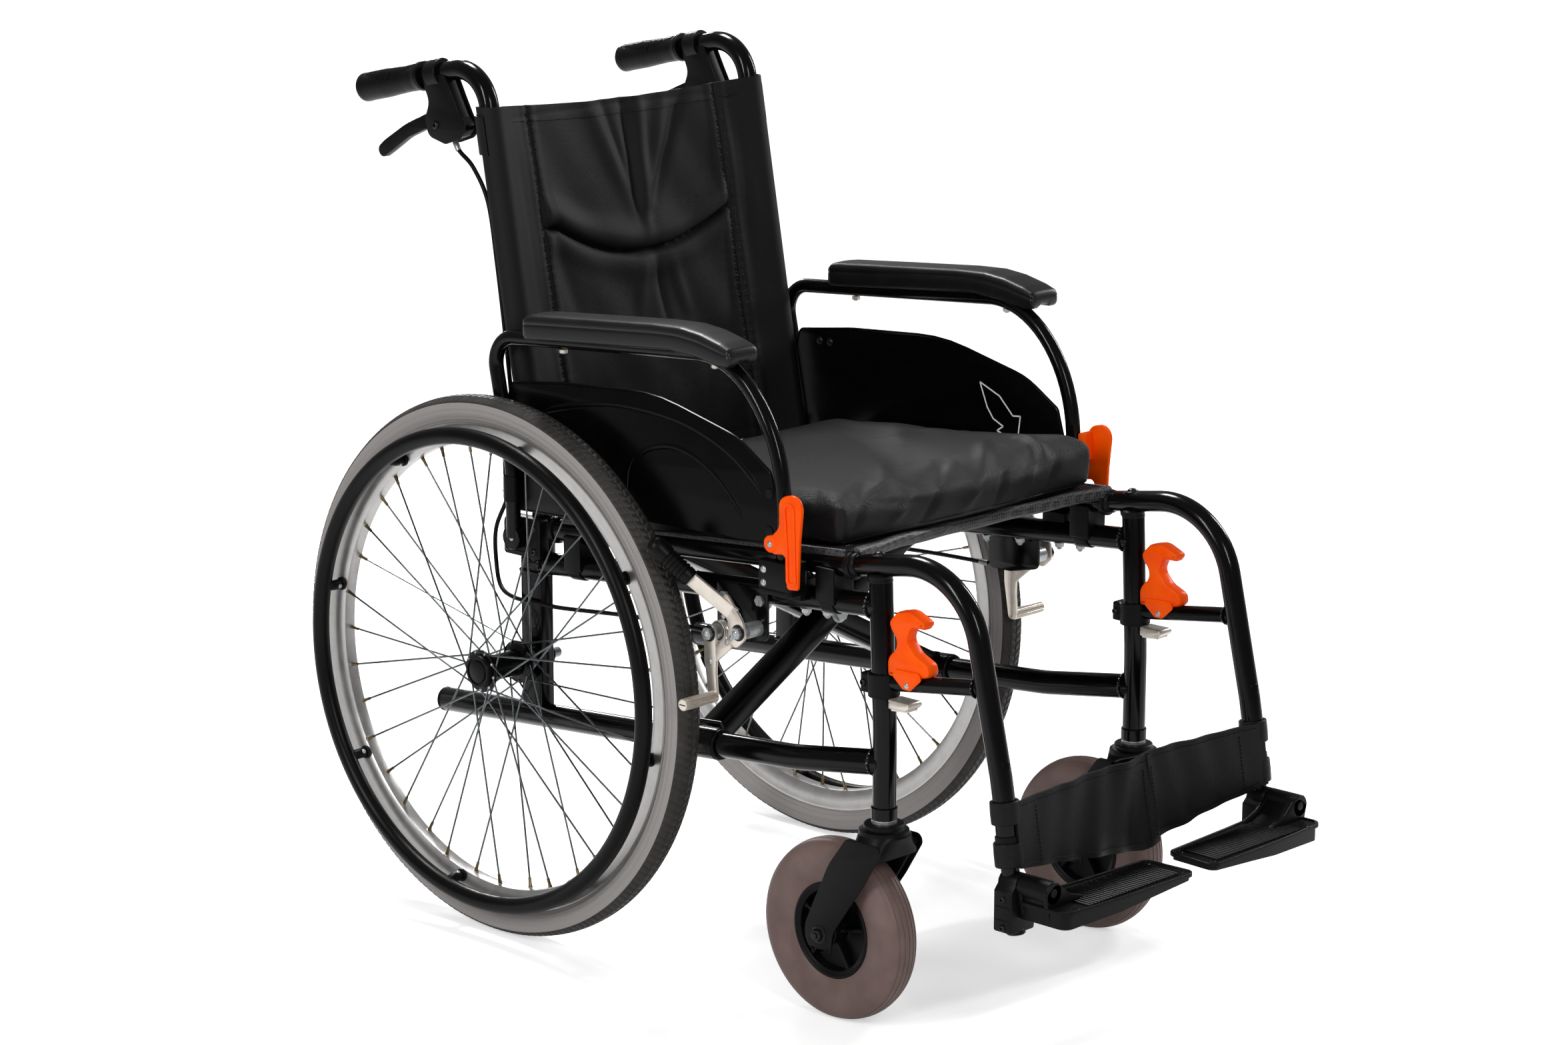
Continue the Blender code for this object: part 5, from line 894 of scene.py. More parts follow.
@dataclass
class RearWheel:
    """A large wheel: treaded tyre, box rim, crossed spokes, hub and hand rim."""

    side: Side
    x: float = 0.2623
    tyre_radius: float = 0.3038
    blocks: int = 208
    groove: float = 0.0011
    flanges: tuple[float, float] = (0.232, 0.287)
    flange_radius: float = 0.024
    hub_radius: float = 0.015
    hub_end: float = 0.2262
    hub_cap: float = 0.2939
    spokes: int = 36
    spoke_radius: float = 0.0011
    hand_x: float = 0.2952
    hand_radius: float = 0.2627
    hand_tube: float = 0.0095
    standoffs: int = 8
    standoff_phase: float = math.radians(12)
    plug_angle: float = math.radians(-118)

    def build(self) -> None:
        """Makes every piece of the wheel and its axle bolt."""
        word = self.side.word
        self.tyre().lay(f"{word}_wheel", sharp=50)
        self.rim().lay(f"{word}_wheel")
        self.hub().lay(f"{word}_wheel")
        self.hand_rim().lay(f"{word}_wheel")
        self.axle().lay(f"{word}_frame")

    def at(self, x: float, radius: float, angle: float) -> Vector:
        """A point of the wheel by its width, radius and angle."""
        return Vector((x, radius * math.cos(angle), AXLE_Z + radius * math.sin(angle)))

    def inward(self, angle: float) -> Vector:
        """The direction from the tread to the hub."""
        return self.at(0, 0, 0) - self.at(0, 1, angle)

    def ring_grid(self, columns: Sequence[tuple[float, float, float, float]]) -> np.ndarray:
        """A grid round the wheel whose columns may be blocks.

        Args:
            columns: width, radius, groove depth and shift along the tread in blocks, for each column.

        Returns:
            The grid, with four rows for each block.
        """
        rows = []
        for i in range(self.blocks):
            for start, high in ((0.04, 0.0), (0.2, 1.0), (0.84, 1.0), (0.99, 0.0)):
                row = []
                for x, radius, depth, shift in columns:
                    angle = TAU * (i + start + shift) / self.blocks
                    row.append(self.at(self.x + x, radius - depth * (1 - high), angle))
                rows.append(row)
        return np.array(rows)

    def crown(self, x: float) -> float:
        """The tread's radius at a width from its middle."""
        return self.tyre_radius - 0.0058 * (abs(x) / 0.0158) ** 2.3

    def tyre(self) -> Piece:
        """The tyre: ringed side walls, shoulder blocks and two slanted rows in the middle."""
        piece = Piece("rear_tyre", self.side)
        d = self.groove
        half = [(0.0162, 0.2965, 0.0), (0.0156, 0.2981, 0.0007), (0.0146, self.crown(0.0146), d),
            (0.0091, self.crown(0.0091), d), (0.0087, self.crown(0.0087) - d, 0.0),
            (0.0077, self.crown(0.0077) - d, 0.0), (0.0073, self.crown(0.0073), d),
            (0.001, self.crown(0.001), d), (0.0006, self.crown(0.0006) - d, 0.0)]
        columns = [(x, r, depth, -x * 45) for x, r, depth in half]
        columns += [(-x, r, depth, 0.5 - x * 45) for x, r, depth in reversed(half)]
        piece.add(TREAD_RUBBER, skin(self.ring_grid(columns), wrap_rows=True))
        wall = [(0.2965, 0.0162), (0.2948, 0.0169), (0.2944, 0.0168), (0.2925, 0.0173), (0.289, 0.0176),
            (0.2886, 0.0173), (0.2876, 0.0173), (0.2872, 0.0176), (0.2835, 0.0169), (0.28, 0.0151),
            (0.2795, 0.0154), (0.2785, 0.0152), (0.2781, 0.0145), (0.2755, 0.0127), (0.2738, 0.0118)]
        whole = wall + [(r, -x) for r, x in reversed(wall)]
        piece.add(TYRE_RUBBER, turned(whole, (self.x, 0, AXLE_Z), OUTWARD, 180))
        return piece

    def rim(self) -> Piece:
        """The rim: hooked edges, dished sides and an inner flat with its eyelets."""
        half = [(0.2742, 0.0126), (0.2738, 0.0131), (0.2722, 0.0132), (0.2708, 0.0127), (0.264, 0.0121),
            (0.258, 0.0108), (0.253, 0.0089), (0.2509, 0.0072), (0.2504, 0.005)]
        profile = half + [(r, -x) for r, x in reversed(half)] + [(0.2655, -0.0085), (0.2655, 0.0085)]
        piece = Piece("rear_rim", self.side)
        piece.add(RIM_ALUMINIUM, turned(profile, (self.x, 0, AXLE_Z), OUTWARD, 180, closed=True))
        for x, _, far in self.spoke_angles():
            foot = self.at(x, 0.2506, far)
            eyelet = turned([(0.0036, -0.0006), (0.0033, 0.0005), (0.0022, 0.0007)], foot, self.inward(far),
                12)
            piece.add(RIM_ALUMINIUM, eyelet)
        plug = self.at(self.x, 0.2506, self.plug_angle)
        piece.add(NYLON_BLACK, dome(plug, self.inward(self.plug_angle), 0.0042, 0.0018))
        return piece

    def spoke_angles(self) -> list[tuple[float, float, float]]:
        """For each spoke: its width at the rim, its angle at the hub and its angle at the rim."""
        per_flange = self.spokes // 2
        made = []
        for sense, turn in ((-1, 0.0), (1, math.pi / per_flange)):
            for i in range(per_flange):
                way = 1 if i % 2 else -1
                angle = TAU * i / per_flange + turn
                made.append((self.x + sense * 0.003 + way * 0.0015, angle, angle + way * math.radians(60)))
        return made

    def hub(self) -> Piece:
        """The hub shell with its capped end, and the spokes with heads and nipples."""
        piece = Piece("rear_hub", self.side)
        inner, outer = self.flanges
        barrel, wide, end = self.hub_radius, self.flange_radius, self.hub_cap
        rims = [[(0.019, x - 0.0015), (0.0236, x - 0.0015), (wide, x - 0.0008), (wide, x + 0.0008),
            (0.0236, x + 0.0015), (0.019, x + 0.0015)] for x in self.flanges]
        shell = [(0, self.hub_end), (0.0125, self.hub_end), (barrel, self.hub_end + 0.002),
            (barrel, inner - 0.0022), *rims[0], (barrel, inner + 0.0035), (0.0142, (inner + outer) / 2),
            (barrel, outer - 0.0035), *rims[1][:-1], (0.0185, outer + 0.0016)]
        cap = [(0.0188, outer + 0.001), (0.0186, outer + 0.005), (0.0176, end - 0.0002), (0.0166, end),
            (0.015, end), (0.0146, end - 0.0014), (0.0128, end - 0.0016), (0.0122, end - 0.0002),
            (0.0112, end + 0.0003), (0, end + 0.0003)]
        centre = (0, 0, AXLE_Z)
        ends = self.spoke_ends()
        piece.add(SPOKE_STEEL, *[tube([start, end], self.spoke_radius, 8) for start, end in ends])
        piece.add(GLOSS_BLACK, turned(shell, centre, OUTWARD, 48))
        piece.add(NYLON_BLACK, turned(cap, centre, OUTWARD, 48))
        for _, hub_angle, far in self.spoke_angles()[self.spokes // 2:]:
            way = 1 if far > hub_angle else -1
            head = self.at(outer + 0.0014, 0.0212, hub_angle)
            if way > 0:
                piece.add(ZINC_STEEL, dome(head, OUTWARD, 0.0019, 0.0014, 12))
            else:
                piece.add(GLOSS_BLACK, turned([(0.0016, 0), (0.0016, 0.0004), (0, 0.0004)], head, OUTWARD,
                    10))
        nipple = [(0, 0), (0.0017, 0), (0.0018, 0.007), (0.0022, 0.0088), (0.0022, 0.0108)]
        for start, end in ends:
            way = (end - start).normalized()
            piece.add(BRASS, turned(nipple, end - way * nipple[-1][1], way, 10))
        return piece

    def spoke_ends(self) -> list[tuple[Vector, Vector]]:
        """The two end points of each spoke."""
        made = []
        for number, (x, hub_angle, far) in enumerate(self.spoke_angles()):
            flange = self.flanges[number >= self.spokes // 2]
            way = 1 if far > hub_angle else -1
            made.append((self.at(flange + way * 0.0015, 0.0208, hub_angle), self.at(x, 0.25, far)))
        return made

    def hand_rim(self) -> Piece:
        """The hand rim with its standoffs and their screws."""
        piece = Piece("hand_rim", self.side)
        section = [(self.hand_radius + self.hand_tube * math.cos(a), self.hand_tube * math.sin(a))
            for a in TAU * np.arange(20) / 20]
        piece.add(RIM_RUBBER, turned(section, (self.hand_x, 0, AXLE_Z), OUTWARD, 180, closed=True))
        for k in range(self.standoffs):
            angle = self.standoff_phase + TAU * k / self.standoffs
            path = rounded([(*self.at(self.hand_x, self.hand_radius - 0.002, angle), 0),
                (*self.at(0.286, 0.256, angle), 0.012), (*self.at(0.2722, 0.256, angle), 0)])
            piece.add(NYLON_BLACK, tube(path, 0.0058, 16, 0.0012))
            foot = self.at(0.2716, 0.256, angle)
            piece.add(NYLON_BLACK, tube([foot, foot + Vector((0.004, 0, 0))], 0.0075, 20, 0.001))
            piece.add(ZINC_STEEL, dome(self.at(0.28, 0.2507, angle), self.inward(angle), 0.0026, 0.0014,
                12))
        return piece

    def axle(self) -> Piece:
        """The axle bolt: a black knob nut inside the post and a spacer outside it."""
        piece = Piece("rear_axle", self.side)
        centre = (0, 0, AXLE_Z)
        inside = FRAME_X - 0.0102
        bolt = [(0, 0.1706), (0.0052, 0.1706), (0.006, 0.1716), (0.006, inside), (0.006, 0.2831),
            (0, 0.2831)]
        piece.add(ZINC_STEEL, turned(bolt, centre, OUTWARD, 24))
        knob = [(0.0065, inside - 0.01), (0.0098, inside - 0.01), (0.0112, inside - 0.0085),
            (0.0115, inside - 0.0014), (0.0108, inside), (0.0065, inside)]
        piece.add(NYLON_BLACK, turned(knob, centre, OUTWARD, 24))
        spacer = [(0.0062, 0.2147), (0.012, 0.2147), (0.012, 0.216), (0.0105, 0.2166), (0.0105, 0.225),
            (0.012, 0.2256), (0.012, 0.226), (0.0062, 0.226)]
        piece.add(ZINC_STEEL, turned(spacer, centre, OUTWARD, 32))
        return piece


# Castors


@dataclass
class Castor:
    """A castor: smooth foam tyre on a dished, ribbed core, in a bell-topped fork."""

    side: Side
    radius: float = 0.0979
    half: float = 0.0212
    bore: float = 0.0523
    ribs: int = 5
    rib_phase: float = math.radians(97)
    inside: float = 0.0255
    outside: float = 0.0325
    crown_low: float = 0.19812
    crown_top: float = 0.21732

    def build(self) -> None:
        """Makes tyre, core and fork."""
        word = self.side.word
        for piece in (self.tyre(), self.core()):
            piece.lay(f"{word}_caster_wheel")
        self.fork().lay(f"{word}_caster_fork")

    @property
    def centre(self) -> Vector:
        """The middle of the castor wheel."""
        return Vector((FRAME_X, CASTOR_Y, CASTOR_Z))

    def tyre(self) -> Piece:
        """The tyre: a round section with thin grooves along its tread."""
        piece = Piece("castor_tyre", self.side)
        half = [(self.bore - 0.0004, 0.0148), (0.0545, 0.0163), (0.06, 0.0182), (0.068, 0.0202),
            (0.076, 0.0212), (0.083, 0.0208), (0.0885, 0.019), (0.0925, 0.0162), (0.0944, 0.014)]
        for line in (0.0118, 0.006, 0.0):
            for x, depth in ((0.0009, 0.0), (0.0005, 0.0008), (-0.0005, 0.0008), (-0.0009, 0.0)):
                if line + x >= -0.0006:
                    width = line + x
                    half.append((self.radius - 17.9 * width ** 2 - depth, width))
        half = [p for p in half if p[1] > 0]
        profile = half + [(r, -x) for r, x in reversed(half)]
        piece.add(TAUPE_FOAM, turned(profile, self.centre, OUTWARD, 96, closed=True))
        return piece

    def core(self) -> Piece:
        """The core: a lipped ring, a thin web with ribs, and the hub barrel."""
        piece = Piece("castor_core", self.side)
        half = [(0.0519, 0.014), (0.0519, 0.0152), (0.051, 0.016), (0.0492, 0.0162), (0.048, 0.0154),
            (0.046, 0.015), (0.044, 0.0138), (0.0432, 0.011), (0.0425, 0.0034), (0.04, 0.0026),
            (0.018, 0.0026), (0.015, 0.004), (0.014, 0.0215), (0.013, 0.0225), (0.0, 0.0225)]
        profile = list(reversed(half)) + [(r, -x) for r, x in half]
        piece.add(NYLON_BLACK, turned(profile, self.centre, OUTWARD, 72))
        for k in range(self.ribs):
            angle = self.rib_phase + TAU * k / self.ribs
            out = Vector((0, math.cos(angle), math.sin(angle)))
            for sense in (-1, 1):
                outline = rounded([(0.013, 0.0, 0), (0.0445, 0.0, 0), (0.0445, 0.0125, 0.001),
                    (0.04, 0.0112, 0.01), (0.018, 0.0125, 0.004), (0.013, 0.0155, 0)], True)
                lie = lying(out, (sense, 0, 0), self.centre)
                piece.add(NYLON_BLACK, plate(outline, 0.0036, lie, 0.0006))
                stud = [self.centre + out * 0.043 + Vector((sense * x, 0, 0)) for x in (0.003, 0.0118)]
                piece.add(NYLON_BLACK, tube(stud, 0.0028, 12, 0.0005))
        return piece

    def fork(self) -> Piece:
        """The fork: two shaped arms under a crown, its collar and neck, and the wheel's pin."""
        piece = Piece("castor_fork", self.side)
        y, z = CASTOR_Y, CASTOR_Z
        low = self.crown_low
        arm = rounded([(STEM_Y - 0.0225, low + 0.008, 0.004), (STEM_Y + 0.02, low + 0.008, 0.006),
            (STEM_Y + 0.0436, low - 0.0236, 0.04), (y + 0.015, z + 0.008, 0.014),
            (y + 0.0158, z - 0.0158, 0.015), (y - 0.0158, z - 0.0158, 0.015), (y - 0.0125, z + 0.003, 0.03),
            (STEM_Y + 0.0016, low - 0.0316, 0.06)], True, 10)
        rib = inset(arm, 0.0045)
        for sense in (-1, 1):
            middle = FRAME_X + sense * (self.inside + self.outside) / 2
            piece.add(NYLON_BLACK, side_plate(arm, self.outside - self.inside, middle, 0.0024))
            piece.add(NYLON_BLACK, side_plate(rib, 0.0018, FRAME_X + sense * (self.outside + 0.0002),
                0.0008))
            boss = Vector((FRAME_X + sense * (self.outside - 0.001), y, z))
            way = (sense, 0, 0)
            piece.add(NYLON_BLACK, turned([(0.0118, 0), (0.0114, 0.0016), (0.0098, 0.002), (0, 0.002)],
                boss, way, 28))
            piece.add(ZINC_STEEL if sense < 0 else DARK_STEEL,
                hex_bolt(boss + Vector((sense * 0.0016, 0, 0)), way, 0.0072))
        rings = []
        ring = circle(56)
        for height, across, along, square in ((self.crown_top - 0.001, 0.0255, 0.0255, 2.0),
                (self.crown_top - 0.004, 0.0275, 0.027, 2.1), (low + 0.011, 0.03, 0.0245, 2.5),
                (low + 0.005, 0.0326, 0.0228, 3.5), (low - 0.001, 0.0332, 0.0222, 5.0),
                (low - 0.006, 0.0328, 0.0212, 6.0)):
            size = (np.abs(ring) ** square).sum(axis=1, keepdims=True) ** (-1 / square)
            plan = ring * size * (across, along) + (FRAME_X, STEM_Y - 0.0006)
            rings.append(np.column_stack([plan, np.full(len(ring), height)]))
        piece.add(NYLON_BLACK, loft(np.array(rings)))
        top = (FRAME_X, STEM_Y, self.crown_top)
        collar = [(0.0, -0.004), (0.027, -0.004), (0.0262, 0.0012), (0.0232, 0.002), (0.0215, 0.0032),
            (0.0213, 0.0068), (0.0203, 0.0078), (0.015, 0.008), (0.0, 0.008)]
        piece.add(NYLON_BLACK, turned(collar, top, UPWARD, 40))
        neck = [(0.0, 0.007), (0.0132, 0.007), (0.0135, 0.008), (0.0135, 0.0098), (0.0122, 0.0104),
            (0.0122, 0.0116), (0.006, 0.0117), (0.006, 0.056), (0.0, 0.056)]
        piece.add(ZINC_STEEL, turned(neck, top, UPWARD, 32))
        reach = self.inside + 0.001
        piece.add(ZINC_STEEL, tube([self.centre - Vector((reach, 0, 0)),
            self.centre + Vector((reach, 0, 0))], 0.005, 16))
        return piece


# Side frames


@dataclass
class SideFrame:
    """The welded side frame with its sockets, hinge block, caps and small hardware."""

    side: Side
    lower_radius: float = 0.0135
    upper_radius: float = 0.0125
    post_radius: float = 0.0125
    rear_post_y: float = -0.0025

    def build(self) -> None:
        """Makes the frame as one piece."""
        piece = Piece("side_frame", self.side)
        self.tubes(piece)
        self.rear_post(piece)
        self.saddles(piece)
        self.arm_hinge(piece)
        self.arm_socket(piece)
        piece.lay(f"{self.side.word}_frame")

    def tubes(self, piece: Piece) -> None:
        """The rails and the front post, their welds and end caps."""
        x = FRAME_X
        lower = rounded([(x, 0.15, rail_z(LOWER_Z, 0.15), 0), (x, -0.398, rail_z(LOWER_Z, -0.398), 0.25),
            (x, STEM_Y, rail_z(LOWER_Z, -0.398) + 0.0195, 0)], turn_step=2)
        post = rounded([(x, STEM_Y, 0.22912, 0), (x, STEM_Y, 0.33, 0.3), (x, *POST_TOP, 0)], turn_step=2)
        upper_end = STEM_Y + 0.00568
        upper = [(x, self.rear_post_y, rail_z(UPPER_Z, self.rear_post_y)),
            (x, upper_end, rail_z(UPPER_Z, upper_end))]
        piece.add(GLOSS_BLACK, tube(lower, self.lower_radius, 24, 0.001),
            tube(post, self.post_radius, 24, 0.001), tube(upper, self.upper_radius, 24))
        back = (x, 0.15, rail_z(LOWER_Z, 0.15))
        slope = (0, math.cos(SLOPE), -math.sin(SLOPE))
        cap = [(0, -0.001), (0.0136, -0.001), (0.0139, 0.0002), (0.0139, 0.0022), (0.0122, 0.0036),
            (0, 0.0042)]
        piece.add(NYLON_BLACK, turned(cap, back, slope, 28))
        ahead = (0, -math.cos(SLOPE), math.sin(SLOPE))
        piece.add(GLOSS_BLACK, weld_bead((x, STEM_Y + 0.0118, lower[-1][2] - 0.001), ahead, 0.0135),
            weld_bead((x, upper_end + 0.012, rail_z(UPPER_Z, upper_end + 0.012)), ahead, 0.0127),
            weld_bead((x, self.rear_post_y - 0.017, rail_z(UPPER_Z, -0.0195)), ahead, 0.0129))
        top = [(0, -0.001), (0.0127, -0.001), (0.0129, 0.0006), (0.0127, 0.002), (0.0112, 0.0026),
            (0.0062, 0.0026)]
        piece.add(NYLON_BLACK, turned(top, (x, POST_TOP[0], POST_TOP[1] - 0.0018), (0, 0.047, 1), 28))
        cup = [(0.0125, 0), (0.014, 0.0004), (0.014, 0.012), (0.0134, 0.0128), (0.0124, 0.013)]
        piece.add(GLOSS_BLACK, turned(cup, (x, STEM_Y, 0.2296), UPWARD, 28))

    def rear_post(self, piece: Piece) -> None:
        """The rear post: a box tube with the cane's socket, welds and fixings."""
        x, y = FRAME_X, self.rear_post_y
        piece.add(GLOSS_BLACK, block((x - 0.01, y - 0.0165, 0.229), (x + 0.01, y + 0.0165, 0.4201), 0.0028))
        socket = [(0.0112, -0.0592), (0.0144, -0.0592), (0.0144, -0.001), (0.0136, 0.0), (0.0112, 0.0)]
        piece.add(GLOSS_BLACK, turned(socket, (0.2022, -0.0095, 0.466), UPWARD, 32))
        for z in (0.248, 0.404):
            outline = oblong((-0.0108, -0.0172), (0.0108, 0.0172), 0.004, turn_step=30)
            path = np.column_stack([outline[:, 0] + x, outline[:, 1] + y, np.full(len(outline), z)])
            piece.add(GLOSS_BLACK, swept(path, circle(8, 0.002), up=UPWARD, closed=True))
        for place in ((x + 0.01, y - 0.006, 0.356), (x + 0.01, y - 0.006, 0.336)):
            piece.add(NYLON_BLACK, turned([(0.0052, 0), (0.0048, 0.0008), (0, 0.001)], place, OUTWARD, 18))
        for place in ((x, y - 0.0165, 0.318), (x, y - 0.0165, 0.282)):
            piece.add(DARK_STEEL, dome(place, FORWARD, 0.005, 0.0022))

    def saddles(self, piece: Piece) -> None:
        """The plastic saddles that catch the seat rail, with the acorn nuts of the parts bolted on."""
        for y in (-0.452, -0.075):
            low, top = rail_z(UPPER_Z, y) - 0.002, rail_z(SEAT_RAIL_Z, y) - 0.003
            ramp = rounded([(-0.015, low, 0.003), (0.015, low, 0.003), (0.016, top, 0.002),
                (0.0126, top + 0.0004, 0.001), (0.0104, top - 0.0052, 0.006), (0, top - 0.0096, 0.012),
                (-0.0104, top - 0.0052, 0.006), (-0.0126, top + 0.0004, 0.001), (-0.016, top, 0.002)], True)
            piece.add(NYLON_BLACK, plate(ramp, 0.026, lying(OUTWARD, UPWARD, (FRAME_X, y, 0)), 0.0012))
            band = turned([(0.0127, -0.009), (0.0137, -0.009), (0.0141, -0.008), (0.0141, 0.008),
                (0.0137, 0.009), (0.0127, 0.009)], (FRAME_X, y, rail_z(UPPER_Z, y)),
                (0, -math.cos(SLOPE), math.sin(SLOPE)), 28)
            piece.add(NYLON_BLACK, band)
        for y in (-0.4129, -0.4427, -0.308, -0.356):
            place = Vector((FRAME_X, y, rail_z(UPPER_Z, y) - self.upper_radius + 0.0004))
            down = DOWNWARD
            piece.add(ZINC_STEEL, washer(place, down, 0.0062),
                hexagon(place + Vector((0, 0, -0.001)), down, 0.0052, 0.0042),
                dome(place + Vector((0, 0, -0.005)), down, 0.0036, 0.0034, 16))

    def arm_hinge(self, piece: Piece) -> None:
        """The armrest's hinge block beside the rear post, its pin and its bolts."""
        inside, outside = 0.2095, 0.22355
        outline = oblong((-0.028, 0.422), (0.03, 0.467), 0.004, 0.004, 0.01, 0.004)
        piece.add(NYLON_BLACK, side_plate(outline, outside - inside, (outside + inside) / 2, 0.0012))
        rim = oblong((-0.0245, 0.4255), (0.0265, 0.4635), 0.003, 0.003, 0.008, 0.003)
        hollow = oblong((-0.022, 0.428), (0.024, 0.461), 0.002, 0.002, 0.006, 0.002)
        piece.add(NYLON_BLACK, side_plate(rim, 0.001, outside + 0.0001, 0.0003, [hollow]))
        piece.add(ZINC_STEEL, tube([(outside - 0.001, 0.004, 0.445), (0.2369, 0.004, 0.445)], 0.004, 20,
            0.0008))
        for y, z in ((0.0225, 0.43), (-0.019, 0.43), (-0.019, 0.456)):
            piece.add(DARK_STEEL, socket_screw((outside, y, z), OUTWARD, 0.0042))

    def arm_socket(self, piece: Piece) -> None:
        """The open cup for the armrest's front foot, on its web."""
        low, high = rail_z(UPPER_Z, -0.407), rail_z(SEAT_RAIL_Z, -0.407) - 0.0165
        web = oblong((-0.423, low), (-0.391, high), 0.001)
        piece.add(NYLON_BLACK, side_plate(web, 0.0246, 0.2122, 0.001))
        plan = oblong((0.2178, -0.427), (0.2455, -0.38), 0.004, 0.006, 0.006, 0.004)
        bore = np.array([0.2325, -0.407]) + circle(24, 0.0089)
        lie = lying(OUTWARD, (0, 1, 0), (0, 0, 0.473))
        piece.add(NYLON_BLACK, plate(plan, 0.03, lie, 0.0012, [bore]))
        foot = lying(OUTWARD, (0, 1, 0), (0, 0, 0.4552))
        piece.add(NYLON_BLACK, plate(plan, 0.0062, foot, 0.001))
        piece.add(ZINC_STEEL, dome((0.2455, -0.39, 0.464), OUTWARD, 0.004, 0.002),
            dome((0.2455, -0.39, 0.478), OUTWARD, 0.004, 0.002))


# Cross brace


@dataclass
class Brace:
    """One bar of the cross brace, with its sleeve on a lower rail and the seat rail on its top."""

    node: str
    body: str
    low_side: Side
    offset: float
    middle: tuple[float, float, float] = (0, -0.23912, 0.36422)
    half_lift: float = 0.10687
    width: float = 0.026
    depth: float = 0.03

    def build(self) -> None:
        """Makes the bar, sleeve, seat rail and their caps as one piece."""
        piece = Piece(self.node)
        fold_axis = Vector((0, -math.cos(SLOPE), math.sin(SLOPE)))
        lift = Vector((0, math.sin(SLOPE), math.cos(SLOPE)))
        place = Vector(self.middle) + fold_axis * self.offset
        s = self.low_side.value
        low = place + Vector((s * FRAME_X, 0, 0)) - lift * self.half_lift
        high = place + Vector((-s * FRAME_X, 0, 0)) + lift * self.half_lift
        w, d = self.width / 2, self.depth / 2
        box = oblong((-w, -d), (w, d), 0.004, turn_step=30)
        along = (high - low).normalized()
        piece.add(GLOSS_BLACK, swept([low + along * 0.01, high - along * 0.004], box, up=fold_axis))
        sleeve = [(0.0136, -0.025), (0.0168, -0.025), (0.0175, -0.024), (0.0175, 0.024), (0.0168, 0.025),
            (0.0136, 0.025)]
        piece.add(GLOSS_BLACK, turned(sleeve, low, fold_axis, 32, closed=True))
        for sense in (-1, 1):
            ring = [(0.0137, sense * 0.0252), (0.0166, sense * 0.0252), (0.0166, sense * 0.0272),
                (0.0158, sense * 0.028), (0.0137, sense * 0.028)]
            piece.add(NYLON_BLACK, turned(ring, low, fold_axis, 28))
        corners = [low + along * 0.0185 + fold_axis * (k * d) + along.cross(fold_axis) * (m * w) for k,
            m in ((-1, -1), (1, -1), (1, 1), (-1, 1))]
        piece.add(GLOSS_BLACK, swept(np.array([tuple(c) for c in corners]), circle(8, 0.0021), up=along,
            closed=True))
        self.seat_rail(piece, -s)
        self.web(piece, high, along)
        piece.lay(self.body)

    def seat_rail(self, piece: Piece, s: int) -> None:
        """The seat rail with its end caps."""
        ends = [Vector((s * FRAME_X, y, rail_z(SEAT_RAIL_Z, y))) for y in (-0.038, -0.479)]
        piece.add(GLOSS_BLACK, tube(ends, 0.0125, 24))
        way = (ends[1] - ends[0]).normalized()
        for end, out in ((ends[0], -way), (ends[1], way)):
            cap = [(0, -0.004), (0.0131, -0.004), (0.0148, -0.003), (0.0152, 0.0), (0.0152, 0.0022),
                (0.014, 0.0038), (0.0105, 0.0046), (0.01, 0.003), (0, 0.003)]
            piece.add(NYLON_BLACK, turned(cap, end, out, 32))
        for y in (-0.105, -0.2, -0.3, -0.4):
            head = Vector((s * (FRAME_X - 0.0123), y, rail_z(SEAT_RAIL_Z, y) - 0.002))
            piece.add(ZINC_STEEL, dome(head, (-s, 0, 0), 0.0042, 0.0016, 16))

    def web(self, piece: Piece, high: Vector, along: Vector) -> None:
        """The weld where the bar meets the seat rail."""
        place = high - along * 0.014
        piece.add(GLOSS_BLACK, tube([place - Vector((0, 0.0125, 0)), place + Vector((0, 0.0125, 0))],
            0.0115, 16, 0.003))


@dataclass
class BraceBolt:
    """The bolt on which the two bars turn, with washers and a lock nut."""

    middle: tuple[float, float, float] = (0, -0.23912, 0.36422)
    reach: float = 0.0308

    def build(self) -> None:
        """Makes shank, heads and washers."""
        piece = Piece("brace_pivot_bolt")
        way = Vector((0, -math.cos(SLOPE), math.sin(SLOPE)))
        middle = Vector(self.middle)
        piece.add(ZINC_STEEL, tube([middle - way * self.reach, middle + way * self.reach], 0.006, 20))
        for sense in (-1, 1):
            end = middle + way * (self.reach * sense)
            piece.add(ZINC_STEEL, washer(end, way * sense, 0.0128, 0.0014),
                hexagon(end + way * (0.0012 * sense), way * sense, 0.0105, 0.0052))
        piece.add(NYLON_BLACK, turned([(0.0062, -0.0006), (0.014, -0.0006), (0.014, 0.0006),
            (0.0062, 0.0006)], middle, way, 28))
        piece.lay("brace_front")


# Back canes and handles


